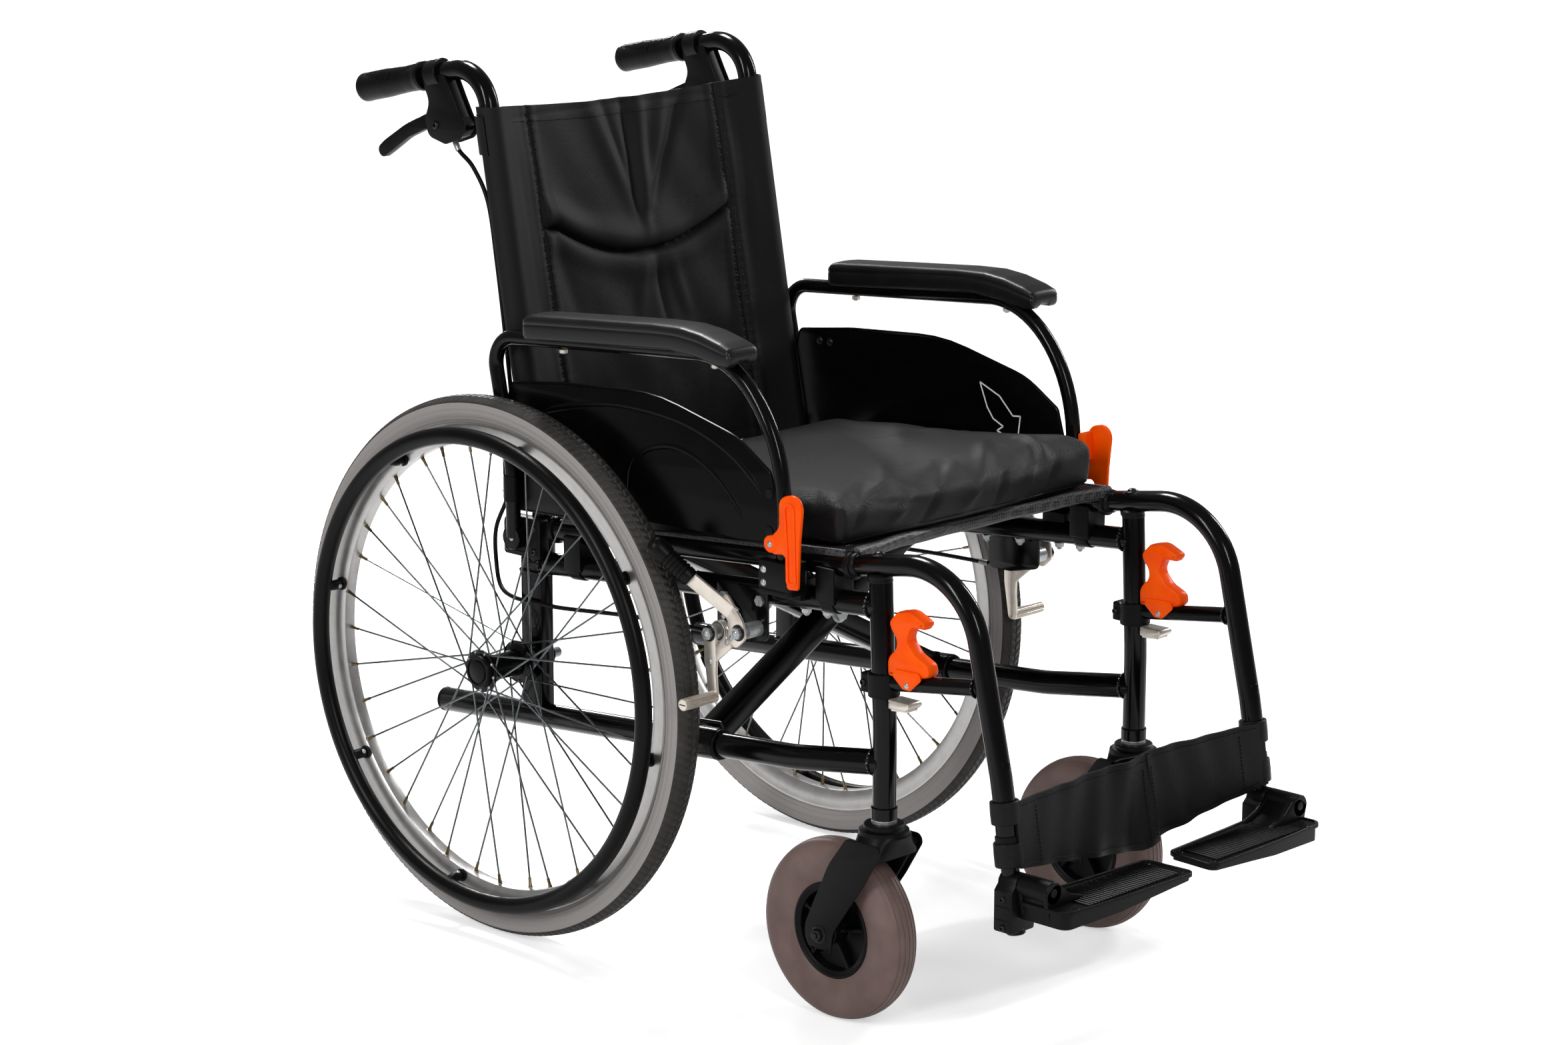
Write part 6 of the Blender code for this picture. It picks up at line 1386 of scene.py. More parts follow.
@dataclass
class BackCane:
    """A back cane with its grip, attendant brake lever and cable."""

    side: Side
    x: float = 0.2022
    radius: float = 0.011
    foot: tuple[float, float] = (-0.0095, 0.4218)
    bend_z: float = 0.49
    corner: tuple[float, float] = (0.0755, 0.9578)
    droop: float = math.radians(12)
    grip_start: float = 0.0965
    lever_pivot: tuple[float, float] = (0.14395, 0.886)

    def build(self) -> None:
        """Makes cane, grip, perch, lever and cable."""
        word = self.side.word
        self.cane().lay(f"{word}_frame")
        self.grip().lay(f"{word}_frame", sharp=40)
        self.perch().lay(f"{word}_frame")
        self.lever().lay(f"{word}_hand_lever")
        self.cable().lay(f"{word}_frame")

    @property
    def way(self) -> Vector:
        """The direction of the handle."""
        return Vector((0, math.cos(self.droop), -math.sin(self.droop)))

    def along(self, distance: float) -> Vector:
        """A point of the handle's axis, from its corner."""
        return Vector((self.x, *self.corner)) + self.way * distance

    def cane(self) -> Piece:
        """The bent tube, with the screws that hold the cloth."""
        piece = Piece("back_cane", self.side)
        y, z = self.foot
        path = rounded([(self.x, y, z, 0), (self.x, y, self.bend_z, 0.12), (self.x, *self.corner, 0.045),
            (*self.along(0.1915), 0)], turn_step=4)
        piece.add(GLOSS_BLACK, tube(path, self.radius, 24, 0.001))
        for height in (0.88, 0.7, 0.54):
            rear = Vector((self.x, cane_y(height) + self.radius, height))
            piece.add(DARK_STEEL, dome(rear, (0, 1, 0), 0.0042, 0.0018))
        return piece

    def grip(self) -> Piece:
        """The grip: fine cross ribs over its top, smooth below, a collar in front and a flared end."""
        piece = Piece("push_grip", self.side)
        up = Vector((0, math.sin(self.droop), math.cos(self.droop)))
        start = self.along(self.grip_start)
        profile = np.array([(0.0, 0.0163), (0.003, 0.0168), (0.0058, 0.0166), (0.0075, 0.0152),
            (0.03, 0.0146), (0.048, 0.0152), (0.065, 0.016), (0.095, 0.016), (0.099, 0.0163),
            (0.1035, 0.0162), (0.106, 0.0142), (0.107, 0.0112), (0.1074, 0.0)])
        first, last, pitch = 0.013, 0.0925, 0.00265
        marks = set(profile[:, 0])
        for k in range(int((last - first) / pitch)):
            marks.update(first + pitch * (k + share) for share in (0.08, 0.3, 0.7, 0.92))
        rows = []
        for t in sorted(marks):
            base = np.interp(t, profile[:, 0], profile[:, 1])
            raised = 0.25 < ((t - first) / pitch) % 1 < 0.75
            reach = math.radians(42 + 34 * math.sin(math.pi * (t - first) / (last - first)))
            row = []
            for a in TAU * np.arange(48) / 48:
                ribbed = first < t < last and abs(math.atan2(math.cos(a), math.sin(a))) < reach
                radius = base + ribbed * (0.0002 if raised else -0.0009)
                row.append(start + self.way * t + Vector((math.cos(a), 0,
                    0)) * radius + up * (math.sin(a) * radius))
            rows.append(row)
        shape = skin(np.array(rows), wrap_columns=True)
        inner = [(0.0163, 0.0), (0.0112, 0.0), (0.0112, 0.004)]
        piece.add(GRIP_BLACK, shape, turned(inner, start, self.way, 48))
        return piece

    def perch(self) -> Piece:
        """The lever's perch: a split clamp, a ribbed body, its bolts and the cable's adjuster."""
        piece = Piece("lever_clamp", self.side)
        start, end = self.along(0.066), self.along(0.086)
        middle = (start + end) / 2
        ring = [(0.0112, 0.0), (0.0152, 0.0), (0.016, 0.001), (0.016, 0.019), (0.0152, 0.02),
            (0.0112, 0.02)]
        piece.add(NYLON_BLACK, turned(ring, start, self.way, 36, closed=True))
        py, pz = self.lever_pivot
        shape = rounded([(0.16, 0.934, 0.002), (0.149, 0.9106, 0.02), (0.1564, 0.8924, 0.008),
            (0.1529, 0.8765, 0.008), (0.1284, 0.8706, 0.008), (0.1063, 0.8779, 0.005),
            (0.0975, 0.887, 0.004), (0.1075, 0.896, 0.006), (0.119, 0.916, 0.02), (0.132, 0.94, 0.003)],
            True)
        for sense in (-1, 1):
            piece.add(NYLON_BLACK, side_plate(shape, 0.0044, self.x + sense * 0.008, 0.0018))
            piece.add(NYLON_BLACK, side_plate(inset(shape, 0.0045), 0.001, self.x + sense * 0.0102, 0.0004))
        piece.add(NYLON_BLACK, side_plate(inset(shape, 0.002), 0.015, self.x, 0.001))
        for sense in (-1, 1):
            bolt = Vector((self.x + sense * 0.01, py, pz))
            piece.add(DARK_STEEL, socket_screw(bolt, (sense, 0, 0), 0.005))
        piece.add(ZINC_STEEL, socket_screw(Vector((self.x + 0.0075, middle.y - 0.004, middle.z - 0.0175)),
            OUTWARD, 0.0038))
        nose = Vector((self.x, middle.y - 0.03, pz - 0.0008))
        way = Vector((0, -1, 0.08)).normalized()
        barrel = [(0, 0), (0.0062, 0), (0.0062, 0.003), (0.005, 0.0036), (0.005, 0.006), (0.0058, 0.0066),
            (0.0058, 0.015), (0.0046, 0.0165), (0, 0.0167)]
        piece.add(NYLON_BLACK, turned(barrel, nose, way, 20))
        for k in range(10):
            angle = TAU * k / 10
            first, second, _ = axes_for(way)
            offset = (first * math.cos(angle) + second * math.sin(angle)) * 0.0057
            piece.add(NYLON_BLACK, tube([nose + way * 0.007 + offset, nose + way * 0.0148 + offset], 0.0008,
                6))
        return piece

    def lever(self) -> Piece:
        """The brake lever: a curved blade, thick at the pivot, with a turned-up tip."""
        piece = Piece("brake_lever", self.side)
        outline = about(self.lever_pivot, [(-0.0035, 0.005, 0.003), (0.01, 0.012, 0.01),
            (0.056, -0.007, 0.08), (0.092, -0.028, 0.03), (0.1035, -0.0372, 0.004), (0.097, -0.0425, 0.003),
            (0.082, -0.0335, 0.01), (0.056, -0.017, 0.05), (0.022, -0.003, 0.035),
            (-0.0015, -0.006, 0.003)], 8)
        piece.add(NYLON_BLACK, side_plate(outline, 0.0086, self.x, 0.0026))
        piece.add(NYLON_BLACK, side_plate(inset(outline, 0.003), 0.0096, self.x, 0.001))
        return piece

    def cable(self) -> Piece:
        """The cable's black housing with its two ferrules."""
        piece = Piece("brake_cable", self.side)
        middle = (self.along(0.066) + self.along(0.086)) / 2
        x, pz = self.x, self.lever_pivot[1]
        route = [(x, middle.y - 0.0255, pz - 0.0168), (x, middle.y - 0.034, pz - 0.028), (x, 0.094, 0.842),
            (x + 0.001, 0.07, 0.806), (x + 0.002, 0.056, 0.74), (x + 0.002, 0.044, 0.66),
            (x + 0.003, 0.033, 0.58), (x + 0.003, 0.03, 0.52), (x + 0.002, 0.045, 0.478),
            (x + 0.002, 0.064, 0.44), (x + 0.002, 0.064, 0.4), (x + 0.01, 0.048, 0.378),
            (x + 0.0165, 0.02, 0.3715), (x + 0.0165, -0.02, 0.3715), (x + 0.0165, -0.06, 0.373),
            (x + 0.0165, -0.153, 0.382), (x + 0.016, -0.22, 0.386), (x + 0.016, -0.29745, 0.388)]
        path = spline(route, 7)
        piece.add(GRIP_BLACK, tube(path, 0.0025, 12, 0.0005))
        first = Vector(path[0]) - Vector(path[2])
        last = Vector(path[-1]) - Vector(path[-3])
        for end, way in ((path[0], first.normalized()), (path[-1], last.normalized())):
            back = Vector(end) - way * 0.012
            piece.add(ZINC_STEEL, turned([(0.0026, 0), (0.0033, 0.0004), (0.0033, 0.0105), (0.0028, 0.0118),
                (0, 0.0118)], back, way, 18))
        return piece


def cane_y(z: float) -> float:
    """Station of the reclined cane's axis at a height."""
    return -0.0095 + max(0.0, z - 0.49) * math.tan(math.radians(10.3))


# Armrests


@dataclass
class Armrest:
    """A flip-up armrest: bent tube, padded rest, skirt guard and its orange lock."""

    side: Side
    x: float = 0.2325
    radius: float = 0.00825
    pivot: tuple[float, float] = (0.004, 0.445)
    corner: float = -0.288
    front: float = -0.407
    low: float = 0.54
    pad_x: float = 0.2405
    panel_x: float = 0.23
    panel_thick: float = 0.0026
    panel_foot: float = 0.4765

    def build(self) -> None:
        """Makes tube, pad, guard and lock."""
        word = self.side.word
        self.arm_tube().lay(f"{word}_armrest")
        self.pad().lay(f"{word}_armrest", sharp=60)
        self.guard().lay(f"{word}_armrest")
        self.lock().lay(f"{word}_arm_latch")

    def top_z(self, y: float) -> float:
        """Height of the tube's axis at a station."""
        return 0.6672 - y * math.tan(SLOPE)

    def tube_path(self) -> np.ndarray:
        """The tube's axis: hinge, rear leg, top, a quarter ellipse and the front leg."""
        y, z = self.pivot
        path = rounded([(self.x, y, z, 0), (self.x, y, z + 0.075, 0.08),
            (self.x, y + 0.0315, self.top_z(y), 0.032), (self.x, self.corner, self.top_z(self.corner), 0)],
            turn_step=6)
        height = self.top_z(self.corner) - self.low
        bend = [(self.x, self.corner - (self.corner - self.front) * math.sin(a),
            self.low + height * math.cos(a)) for a in np.radians(np.arange(5, 91, 5))]
        return np.vstack([path, bend, [(self.x, self.front, 0.468)]])

    def arm_tube(self) -> Piece:
        """The tube with its hinge barrel and the pad's screws."""
        piece = Piece("armrest_tube", self.side)
        piece.add(GLOSS_BLACK, tube(self.tube_path(), self.radius, 24, 0.001))
        barrel = [(0.0042, 0.22385), (0.0128, 0.22385), (0.0135, 0.2246), (0.0135, 0.2365),
            (0.0128, 0.23725), (0.0042, 0.23725)]
        piece.add(GLOSS_BLACK, turned(barrel, (0, *self.pivot), OUTWARD, 36, closed=True))
        for y in (-0.0788, -0.3082):
            z = self.top_z(y) if y > self.corner else self.low + (self.top_z(self.corner)
                - self.low) * 0.9857
            head = Vector((self.x, y, z - self.radius + 0.0003))
            piece.add(NICKEL_STEEL, hexagon(head, DOWNWARD, 0.005, 0.0034),
                dome(head + Vector((0, 0, -0.0032)), DOWNWARD, 0.0034, 0.0014, 14))
        return piece

    def pad(self) -> Piece:
        """The pad: a skinned foam rest with a rolled lip, a seam under it and a dropped nose."""
        piece = Piece("armrest_pad", self.side)
        top = np.array([(-0.3572, 0.6975), (-0.3562, 0.702), (-0.3535, 0.7052), (-0.3416, 0.7098),
            (-0.3128, 0.7168), (-0.2837, 0.72), (-0.2444, 0.7188), (-0.144, 0.7112), (-0.06, 0.7045),
            (-0.05, 0.703), (-0.0458, 0.7), (-0.0446, 0.695)])
        foot = np.array([(-0.3572, 0.6935), (-0.3562, 0.689), (-0.3535, 0.6862), (-0.3397, 0.6856),
            (-0.306, 0.6912), (-0.267, 0.6936), (-0.1672, 0.6856), (-0.06, 0.677), (-0.05, 0.6766),
            (-0.0458, 0.679), (-0.0446, 0.685)])
        wide = np.array([(-0.3572, 0.018), (-0.3562, 0.0208), (-0.3535, 0.0221), (-0.34, 0.0226),
            (-0.28, 0.0225), (-0.1, 0.0222), (-0.055, 0.0226), (-0.05, 0.0222), (-0.0458, 0.0205),
            (-0.0446, 0.018)])
        half = [(0.0, 0.16), (-0.34, 0.16), (-0.4, 0.05), (-0.48, 0.0), (-0.84, 0.0), (-0.95, 0.04),
            (-1.0, 0.16), (-1.0, 0.5), (-0.992, 0.6), (-0.965, 0.625), (-0.965, 0.64), (-0.99, 0.665),
            (-1.0, 0.72), (-0.985, 0.84), (-0.925, 0.93), (-0.82, 0.98), (-0.6, 1.0), (-0.3, 1.01),
            (0.0, 1.015)]
        section = np.array(half + [(-u, v) for u, v in reversed(half[1:-1])])
        marks = sorted(set(np.linspace(-0.352, -0.052, 52)) | set(top[:, 0]) | set(foot[:, 0]))
        rings = []
        for y in marks:
            z0, z1 = np.interp(y, foot[:, 0], foot[:, 1]), np.interp(y, top[:, 0], top[:, 1])
            w = np.interp(y, wide[:, 0], wide[:, 1])
            rings.append([(self.pad_x + u * w, y, z0 + v * (z1 - z0)) for u, v in section])
        piece.add(PAD_SKIN, loft(np.array(rings)))
        return piece

    def guard_outline(self) -> np.ndarray:
        """The skirt guard's outline."""
        y = self.pivot[0]
        span, foot = self.front - y, self.panel_foot
        front = self.front + self.radius + 0.0003
        return rounded([(0.0214, foot + 0.006, 0.008), (0.0214, foot + 0.06, 0.02),
            (y + 0.011, foot + 0.11, 0.02), (y + 0.004, foot + 0.1425, 0.01),
            (y + span * 0.192, foot + 0.1525, 0.15), (y + span * 0.533, foot + 0.161, 0.25),
            (y + span * 0.837, foot + 0.131, 0.1), (front + 0.012, foot + 0.101, 0.01),
            (front, foot + 0.06, 0.02), (front, foot + 0.025, 0.002), (y + span * 0.74, foot + 0.019, 0.1),
            (y + span * 0.496, foot + 0.008, 0.2), (y, foot, 0.05)], True, 6)

    def guard(self) -> Piece:
        """The skirt guard: a moulded sheet with a rolled edge, embossed arcs, a sleeve and screws."""
        piece = Piece("side_panel", self.side)
        outline = self.guard_outline()
        piece.add(PANEL_BLACK, side_plate(outline, self.panel_thick, self.panel_x, 0.0009))
        rolled = np.column_stack([np.full(len(outline), self.panel_x), inset(outline, 0.0012)])
        piece.add(PANEL_BLACK, swept(rolled, circle(8, 0.0018), up=OUTWARD, closed=True))
        face = self.panel_x + self.panel_thick / 2 - 0.0005
        arcs = ([(-0.03, 0.585), (-0.07, 0.601), (-0.148, 0.616), (-0.215, 0.6165), (-0.27, 0.609),
            (-0.32, 0.592), (-0.357, 0.569), (-0.38, 0.545)],
            [(-0.175, 0.515), (-0.18, 0.548), (-0.2, 0.572), (-0.235, 0.583), (-0.27, 0.579),
            (-0.305, 0.563), (-0.335, 0.538), (-0.35, 0.515)])
        step = np.array([(-0.0046, 0.0), (-0.003, 0.0011), (-0.0008, 0.0016), (0.0012, 0.0014),
            (0.003, 0.0006), (0.0044, 0.0), (0.0, -0.0006)])
        for arc in arcs:
            path = spline([(face, *p) for p in arc], 9)
            sizes = np.clip(np.minimum(np.arange(len(path)), np.arange(len(path))[::-1]) / 8, 0.15, 1)
            piece.add(PANEL_BLACK, swept(path, step, sizes, up=OUTWARD))
        y = self.pivot[0]
        path = self.tube_path()
        leg = path[(path[:, 2] > self.panel_foot + 0.012) & (path[:, 2] < self.pivot[1] + 0.066)]
        leg = np.vstack([[(self.x, y, self.panel_foot + 0.01)], leg,
            [(self.x, y + 0.0003, self.pivot[1] + 0.07)]])
        sleeve = swept(leg, circle(28, 0.0104))
        piece.add(PANEL_BLACK, sleeve)
        for z in (0.4947, 0.54, 0.585):
            piece.add(NICKEL_STEEL, dome((self.panel_x + 0.0012, 0.018, z), OUTWARD, 0.0042, 0.0022))
        for yy in (-0.0254, -0.0414):
            piece.add(DARK_STEEL, dome((self.panel_x - 0.0012, yy, 0.608), (-1, 0, 0), 0.0048, 0.0022))
        for yy, zz in ((-0.385, 0.555), (-0.385, 0.515)):
            piece.add(PANEL_BLACK, turned([(0.006, 0), (0.0052, 0.001), (0, 0.0012)],
                (self.panel_x + 0.0012, yy, zz), OUTWARD, 20))
        piece.add(PRINT_WHITE, *self.arrow())
        return piece

    def arrow(self) -> list[Shape]:
        """A plain printed arrow outline on the guard's inner face, pointing down to the lock."""
        points = np.array([(-0.2727, 0.5924), (-0.302, 0.58), (-0.322, 0.56), (-0.333, 0.561),
            (-0.329, 0.53), (-0.299, 0.54), (-0.308, 0.546), (-0.293, 0.553), (-0.284, 0.565)])
        x = self.panel_x - self.panel_thick / 2 - 0.0001
        path = np.column_stack([np.full(len(points), x), points])
        ribbon = np.array([(-0.0008, -0.00012), (0.0008, -0.00012), (0.0008, 0.00012), (-0.0008, 0.00012)])
        return [swept([path[i], path[(i + 1) % len(path)]], ribbon, up=(-1, 0, 0))
            for i in range(len(path))]

    def lock(self) -> Piece:
        """The orange lock: a shaped plate beside the front leg, its web, boss, slot rib and pin."""
        piece = Piece("armrest_latch", self.side)
        y, z = -0.401, 0.508
        inner, thick = 0.24605, 0.005
        outline = about((y, z), [(0.003, 0.001, 0.006), (-0.0155, 0.019, 0.012), (-0.015, 0.051, 0.012),
            (-0.043, 0.058, 0.013), (-0.048, 0.042, 0.012), (-0.0445, 0.008, 0.03),
            (-0.0425, -0.043, 0.003), (-0.0265, -0.045, 0.004), (-0.025, -0.008, 0.006),
            (-0.006, -0.011, 0.008)])
        piece.add(ORANGE_NYLON, side_plate(outline, thick, inner + thick / 2, 0.0022))
        slot = about((y, z), [(-0.025, 0.044, 0.0045), (-0.036, 0.044, 0.0045), (-0.039, -0.037, 0.003),
            (-0.03, -0.037, 0.003), (-0.029, 0.002, 0.01)])
        face = inner + thick + 0.0004
        piece.add(ORANGE_NYLON, side_plate(slot, 0.0018, face, 0.0006, [inset(slot[::-1], 0.002)[::-1]]))
        web_y = self.front - self.radius
        piece.add(ORANGE_NYLON, block((self.x - 0.003, web_y - 0.0085, z + 0.014),
            (inner + 0.002, web_y, z + 0.046), 0.0022))
        boss = Vector((inner, y - 0.004, z))
        piece.add(ORANGE_NYLON, turned([(0.009, 0), (0.009, 0.005), (0.008, 0.006), (0, 0.006)], boss,
            OUTWARD, 32))
        piece.add(ZINC_STEEL, dome(boss + Vector((0.006, 0, 0)), OUTWARD, 0.0036, 0.0018))
        return piece


# Footrests


@dataclass
class Footrest:
    """A swing-away footrest: hanger, its orange hook, extension, footplate and half the calf strap."""

    side: Side
    radius: float = 0.0116
    knee: tuple[float, float] = (-0.6835, 0.2925)
    rake: float = math.radians(7.7)
    block_front: float = -0.7116
    block_rear: float = -0.6876
    pivot_z: float = 0.2005
    plate_top: float = 0.187
    plate_thick: float = 0.02
    rib_pitch: float = 0.005
    strap_foot: float = 0.2165
    strap_top: float = 0.283

    def build(self) -> None:
        """Makes hanger, hook, extension, footplate and strap."""
        word = self.side.word
        self.hanger().lay(f"{word}_hanger")
        self.hook().lay(f"{word}_hanger_hook")
        self.extension().lay(f"{word}_footrest")
        self.footplate().lay(f"{word}_footplate_flap")
        self.strap()

    def leg_y(self, z: float) -> float:
        """Station of the hanger's leg at a height below its knee."""
        return self.knee[0] - (self.knee[1] - z) * math.tan(self.rake)

    def post_at(self, z: float) -> Vector:
        """A point of the front post's axis."""
        return Vector((FRAME_X, STEM_Y + max(0.0, z - 0.33) * 0.0473, z))

    def hanger(self) -> Piece:
        """The bent hanger tube with crossbar, collar, pawl and caps."""
        piece = Piece("footrest_hanger", self.side)
        x = FRAME_X
        path = rounded([(x, -0.486, 0.492, 0), (x, -0.6315, 0.5145, 0.085), (x, *self.knee, 0.3),
            (x, self.leg_y(0.24), 0.24, 0)], turn_step=5)
        piece.add(GLOSS_BLACK, tube(path, self.radius, 28, 0.001))
        back = Vector((0, 0.1455, -0.0225)).normalized()
        cap = [(0, -0.003), (0.0118, -0.003), (0.0128, -0.002), (0.0132, 0.0), (0.0132, 0.004),
            (0.0118, 0.0062), (0, 0.0072)]
        piece.add(NYLON_BLACK, turned(cap, (x, -0.486, 0.492), back, 28))
        piece.add(ZINC_STEEL, tube([self.post_at(0.448), self.post_at(0.496)], 0.006, 20, 0.001))
        saddle = Vector((x, -0.515, 0.484))
        piece.add(NYLON_BLACK, turned([(0, -0.003), (0.0128, -0.003), (0.0134, -0.001), (0.0134, 0.002),
            (0.011, 0.0042), (0, 0.0044)], saddle, (0, 0.047, 1), 28))
        dome_at = Vector((x, -0.5139, 0.5064))
        piece.add(DARK_STEEL, washer(dome_at, (0, 0.15, 1), 0.0078, 0.0012),
            dome(dome_at + Vector((0, 0, 0.001)), (0, 0.15, 1), 0.0058, 0.0036))
        crossbar = [(x, -0.5322, 0.3756), (x, -0.6587, 0.3937)]
        piece.add(GLOSS_BLACK, tube(crossbar, 0.0085, 24))
        lean = (0, 0.047, 1)
        collar = [(0.0127, -0.0125), (0.0158, -0.0125), (0.0167, -0.0115), (0.0167, 0.0115),
            (0.0158, 0.0125), (0.0127, 0.0125)]
        piece.add(NYLON_BLACK, turned(collar, self.post_at(0.3725), lean, 36, closed=True))
        y = self.post_at(0.3725).y + 0.0205
        piece.add(NYLON_BLACK, block((x - 0.01, y - 0.008, 0.362), (x + 0.01, y + 0.0035, 0.383), 0.002))
        for sense in (1, -1):
            piece.add(DARK_STEEL, socket_screw((x + sense * 0.01, y - 0.001, 0.3725), (sense, 0, 0), 0.004))
        self.pawl(piece)
        piece.add(GLOSS_BLACK, weld_bead((x, -0.647, 0.392), (0, -0.9899, 0.1416), 0.0092, 0.0016, 20))
        ring = Vector((x, self.leg_y(0.2435), 0.2435))
        leg = Vector((0, -math.sin(self.rake), -math.cos(self.rake)))
        piece.add(NYLON_BLACK, turned([(0.0096, -0.004), (0.0128, -0.004), (0.013, 0.0036), (0.012, 0.0048),
            (0.0096, 0.0048)], ring, leg, 28, closed=True))
        return piece

    def pawl(self, piece: Piece) -> None:
        """The bare cast pawl under the collar, which the hook lifts."""
        y = self.post_at(0.36).y
        outline = rounded([(y - 0.0145, 0.351, 0.002), (y - 0.0145, 0.3612, 0.001),
            (y - 0.042, 0.3612, 0.003), (y - 0.044, 0.356, 0.003), (y - 0.038, 0.352, 0.003)], True)
        piece.add(NICKEL_STEEL, side_plate(outline, 0.022, FRAME_X, 0.0022))
        lip = rounded([(y - 0.015, 0.348, 0.002), (y - 0.015, 0.353, 0.001), (y - 0.04, 0.354, 0.002),
            (y - 0.038, 0.35, 0.003)], True)
        piece.add(NICKEL_STEEL, side_plate(lip, 0.015, FRAME_X, 0.0014))

    def hook(self) -> Piece:
        """The orange hook that frees the hanger: two cheeks under a waisted, hooked head."""
        piece = Piece("hanger_latch", self.side)
        y, z = -0.5622, 0.3799
        cheek = about((y, z), [(0.02, 0.008, 0.004), (0.016, 0.015, 0.004), (-0.016, 0.016, 0.004),
            (-0.02, 0.009, 0.004), (-0.005, -0.0045, 0.005), (0.005, -0.0045, 0.005)])
        for sense in (-1, 1):
            piece.add(ORANGE_NYLON, side_plate(cheek, 0.0024, FRAME_X + sense * 0.0103, 0.001))
            piece.add(ZINC_STEEL, dome((FRAME_X + sense * 0.0114, y, z), (sense, 0, 0), 0.0033, 0.001, 14))
        head = about((y, z), [(0.029, 0.0045, 0.004), (0.03, 0.025, 0.016), (0.013, 0.04, 0.012),
            (0.0245, 0.053, 0.012), (0.029, 0.062, 0.008), (0.018, 0.074, 0.012), (-0.001, 0.0785, 0.014),
            (-0.0245, 0.068, 0.0045), (-0.019, 0.0605, 0.003), (-0.003, 0.06, 0.007),
            (0.003, 0.0465, 0.008), (-0.008, 0.034, 0.014), (-0.027, 0.0255, 0.009), (-0.029, 0.013, 0.006),
            (-0.004, 0.0048, 0.006)])
        piece.add(ORANGE_NYLON, side_plate(head, 0.018, FRAME_X, 0.0052))
        return piece

    def extension(self) -> Piece:
        """The extension tube, the block clamped on its foot and the footplate's pin."""
        piece = Piece("footrest_tube", self.side)
        x = FRAME_X
        head, foot = Vector((x, self.leg_y(0.322), 0.322)), Vector((x, self.leg_y(0.1498), 0.1498))
        piece.add(GLOSS_BLACK, tube([head, foot], 0.0095, 24, 0.001))
        piece.add(NYLON_BLACK, turned([(0, -0.001), (0.0098, -0.001), (0.01, 0.0016), (0.0084, 0.003),
            (0, 0.0032)], foot, foot - head, 24))
        middle = (self.block_front + self.block_rear) / 2
        z = self.pivot_z
        crest = [(0.012 * math.cos(a), z + 0.012 * math.sin(a), 0)
            for a in np.radians(np.arange(0, 181, 20))]
        outline = rounded([(0.0175, 0.1508, 0.003), (0.0175, z - 0.006, 0.003), *crest,
            (-0.0185, z - 0.006, 0.003), (-0.0185, 0.1508, 0.003)], True)
        lie = lying(OUTWARD, UPWARD, (x, middle, 0))
        piece.add(NYLON_BLACK, plate(outline, self.block_rear - self.block_front, lie, 0.0016))
        for low in (0.16, 0.174):
            piece.add(NYLON_BLACK, block((x - 0.019, self.block_front + 0.002, low),
                (x + 0.0182, self.block_rear - 0.002, low + 0.005), 0.0012))
        for z_bolt in (0.156, 0.186):
            piece.add(DARK_STEEL, socket_screw((x + 0.0175, middle, z_bolt), OUTWARD, 0.0038))
        piece.add(ZINC_STEEL, tube([(x, self.block_rear - 0.002, z), (x, -0.7474, z)], 0.0045, 20, 0.0008))
        return piece

    def under_z(self, x: float) -> float:
        """Height of the footplate's underside at a width: it rises towards the inner end."""
        return float(np.interp(x, [0.0145, 0.085, 0.15],
            [self.plate_top - 0.009, self.plate_top - 0.013, self.plate_top - self.plate_thick]))

    def footplate(self) -> Piece:
        """The footplate: a tapered slab, a raised rim, a ribbed field, its arm and its sleeve."""
        piece = Piece("footplate", self.side)
        outline = rounded([(0.2105, -0.7119, 0.003), (0.2105, -0.772, 0.01), (0.12, -0.778, 0.3),
            (0.017, -0.78, 0.008), (0.0205, -0.7216, 0.008), (0.125, -0.7156, 0.02), (0.17, -0.7119, 0.02)],
            True)
        top = self.plate_top
        slab = plate(outline, 1.0, Matrix.Identity(4), 0.0)
        lows = slab.points[:, 2] < 0
        under = np.array([self.under_z(x) for x in slab.points[:, 0]])
        slab.points[:, 2] = np.where(lows, under, top - 0.0022)
        piece.add(NYLON_BLACK, slab)
        rim = np.column_stack([inset(outline, 0.0015), np.full(len(outline), top - 0.002)])
        section = oblong((-0.0016, -0.003), (0.0016, 0.0014), 0, 0, 0.0012, 0.0012, turn_step=30)
        piece.add(NYLON_BLACK, swept(rim, section, up=UPWARD, closed=True))
        for x in np.arange(0.034, 0.176, self.rib_pitch):
            back = -0.725 + max(0.0, x - 0.125) * 0.09
            path = [(x, -0.774, top - 0.0014), (x, back, top - 0.0014)]
            piece.add(NYLON_BLACK, tube(path, 0.0015, 8, 0.0006))
        for hx, hy in ((0.027, -0.771), (0.0275, -0.728), (0.19, -0.768)):
            piece.add(DARK_STEEL, turned([(0.0036, 0), (0.003, 0.0006), (0.0026, -0.001), (0, -0.001)],
                (hx, hy, top - 0.0021), UPWARD, 18))
        r, z = 0.012, self.pivot_z
        front, back = -0.7516, -0.7119
        sleeve = [(0.0047, 0.0), (r - 0.001, 0.0), (r, 0.001), (r, 0.0387), (r - 0.001, 0.0397),
            (0.0047, 0.0397)]
        piece.add(NYLON_BLACK, turned(sleeve, (FRAME_X, back, z), FORWARD, 32, closed=True))
        low = top - self.plate_thick
        arm = rounded([(FRAME_X + r * 0.45, low + 0.002, 0.002), (FRAME_X + r * 0.96, z, 0.006),
            (FRAME_X - r * 0.3, z + r * 0.98, 0.01), (FRAME_X - 0.026, top + 0.0075, 0.02),
            (FRAME_X - 0.052, top - 0.001, 0.01), (FRAME_X - 0.052, low + 0.002, 0.002)], True)
        cheek = 0.006
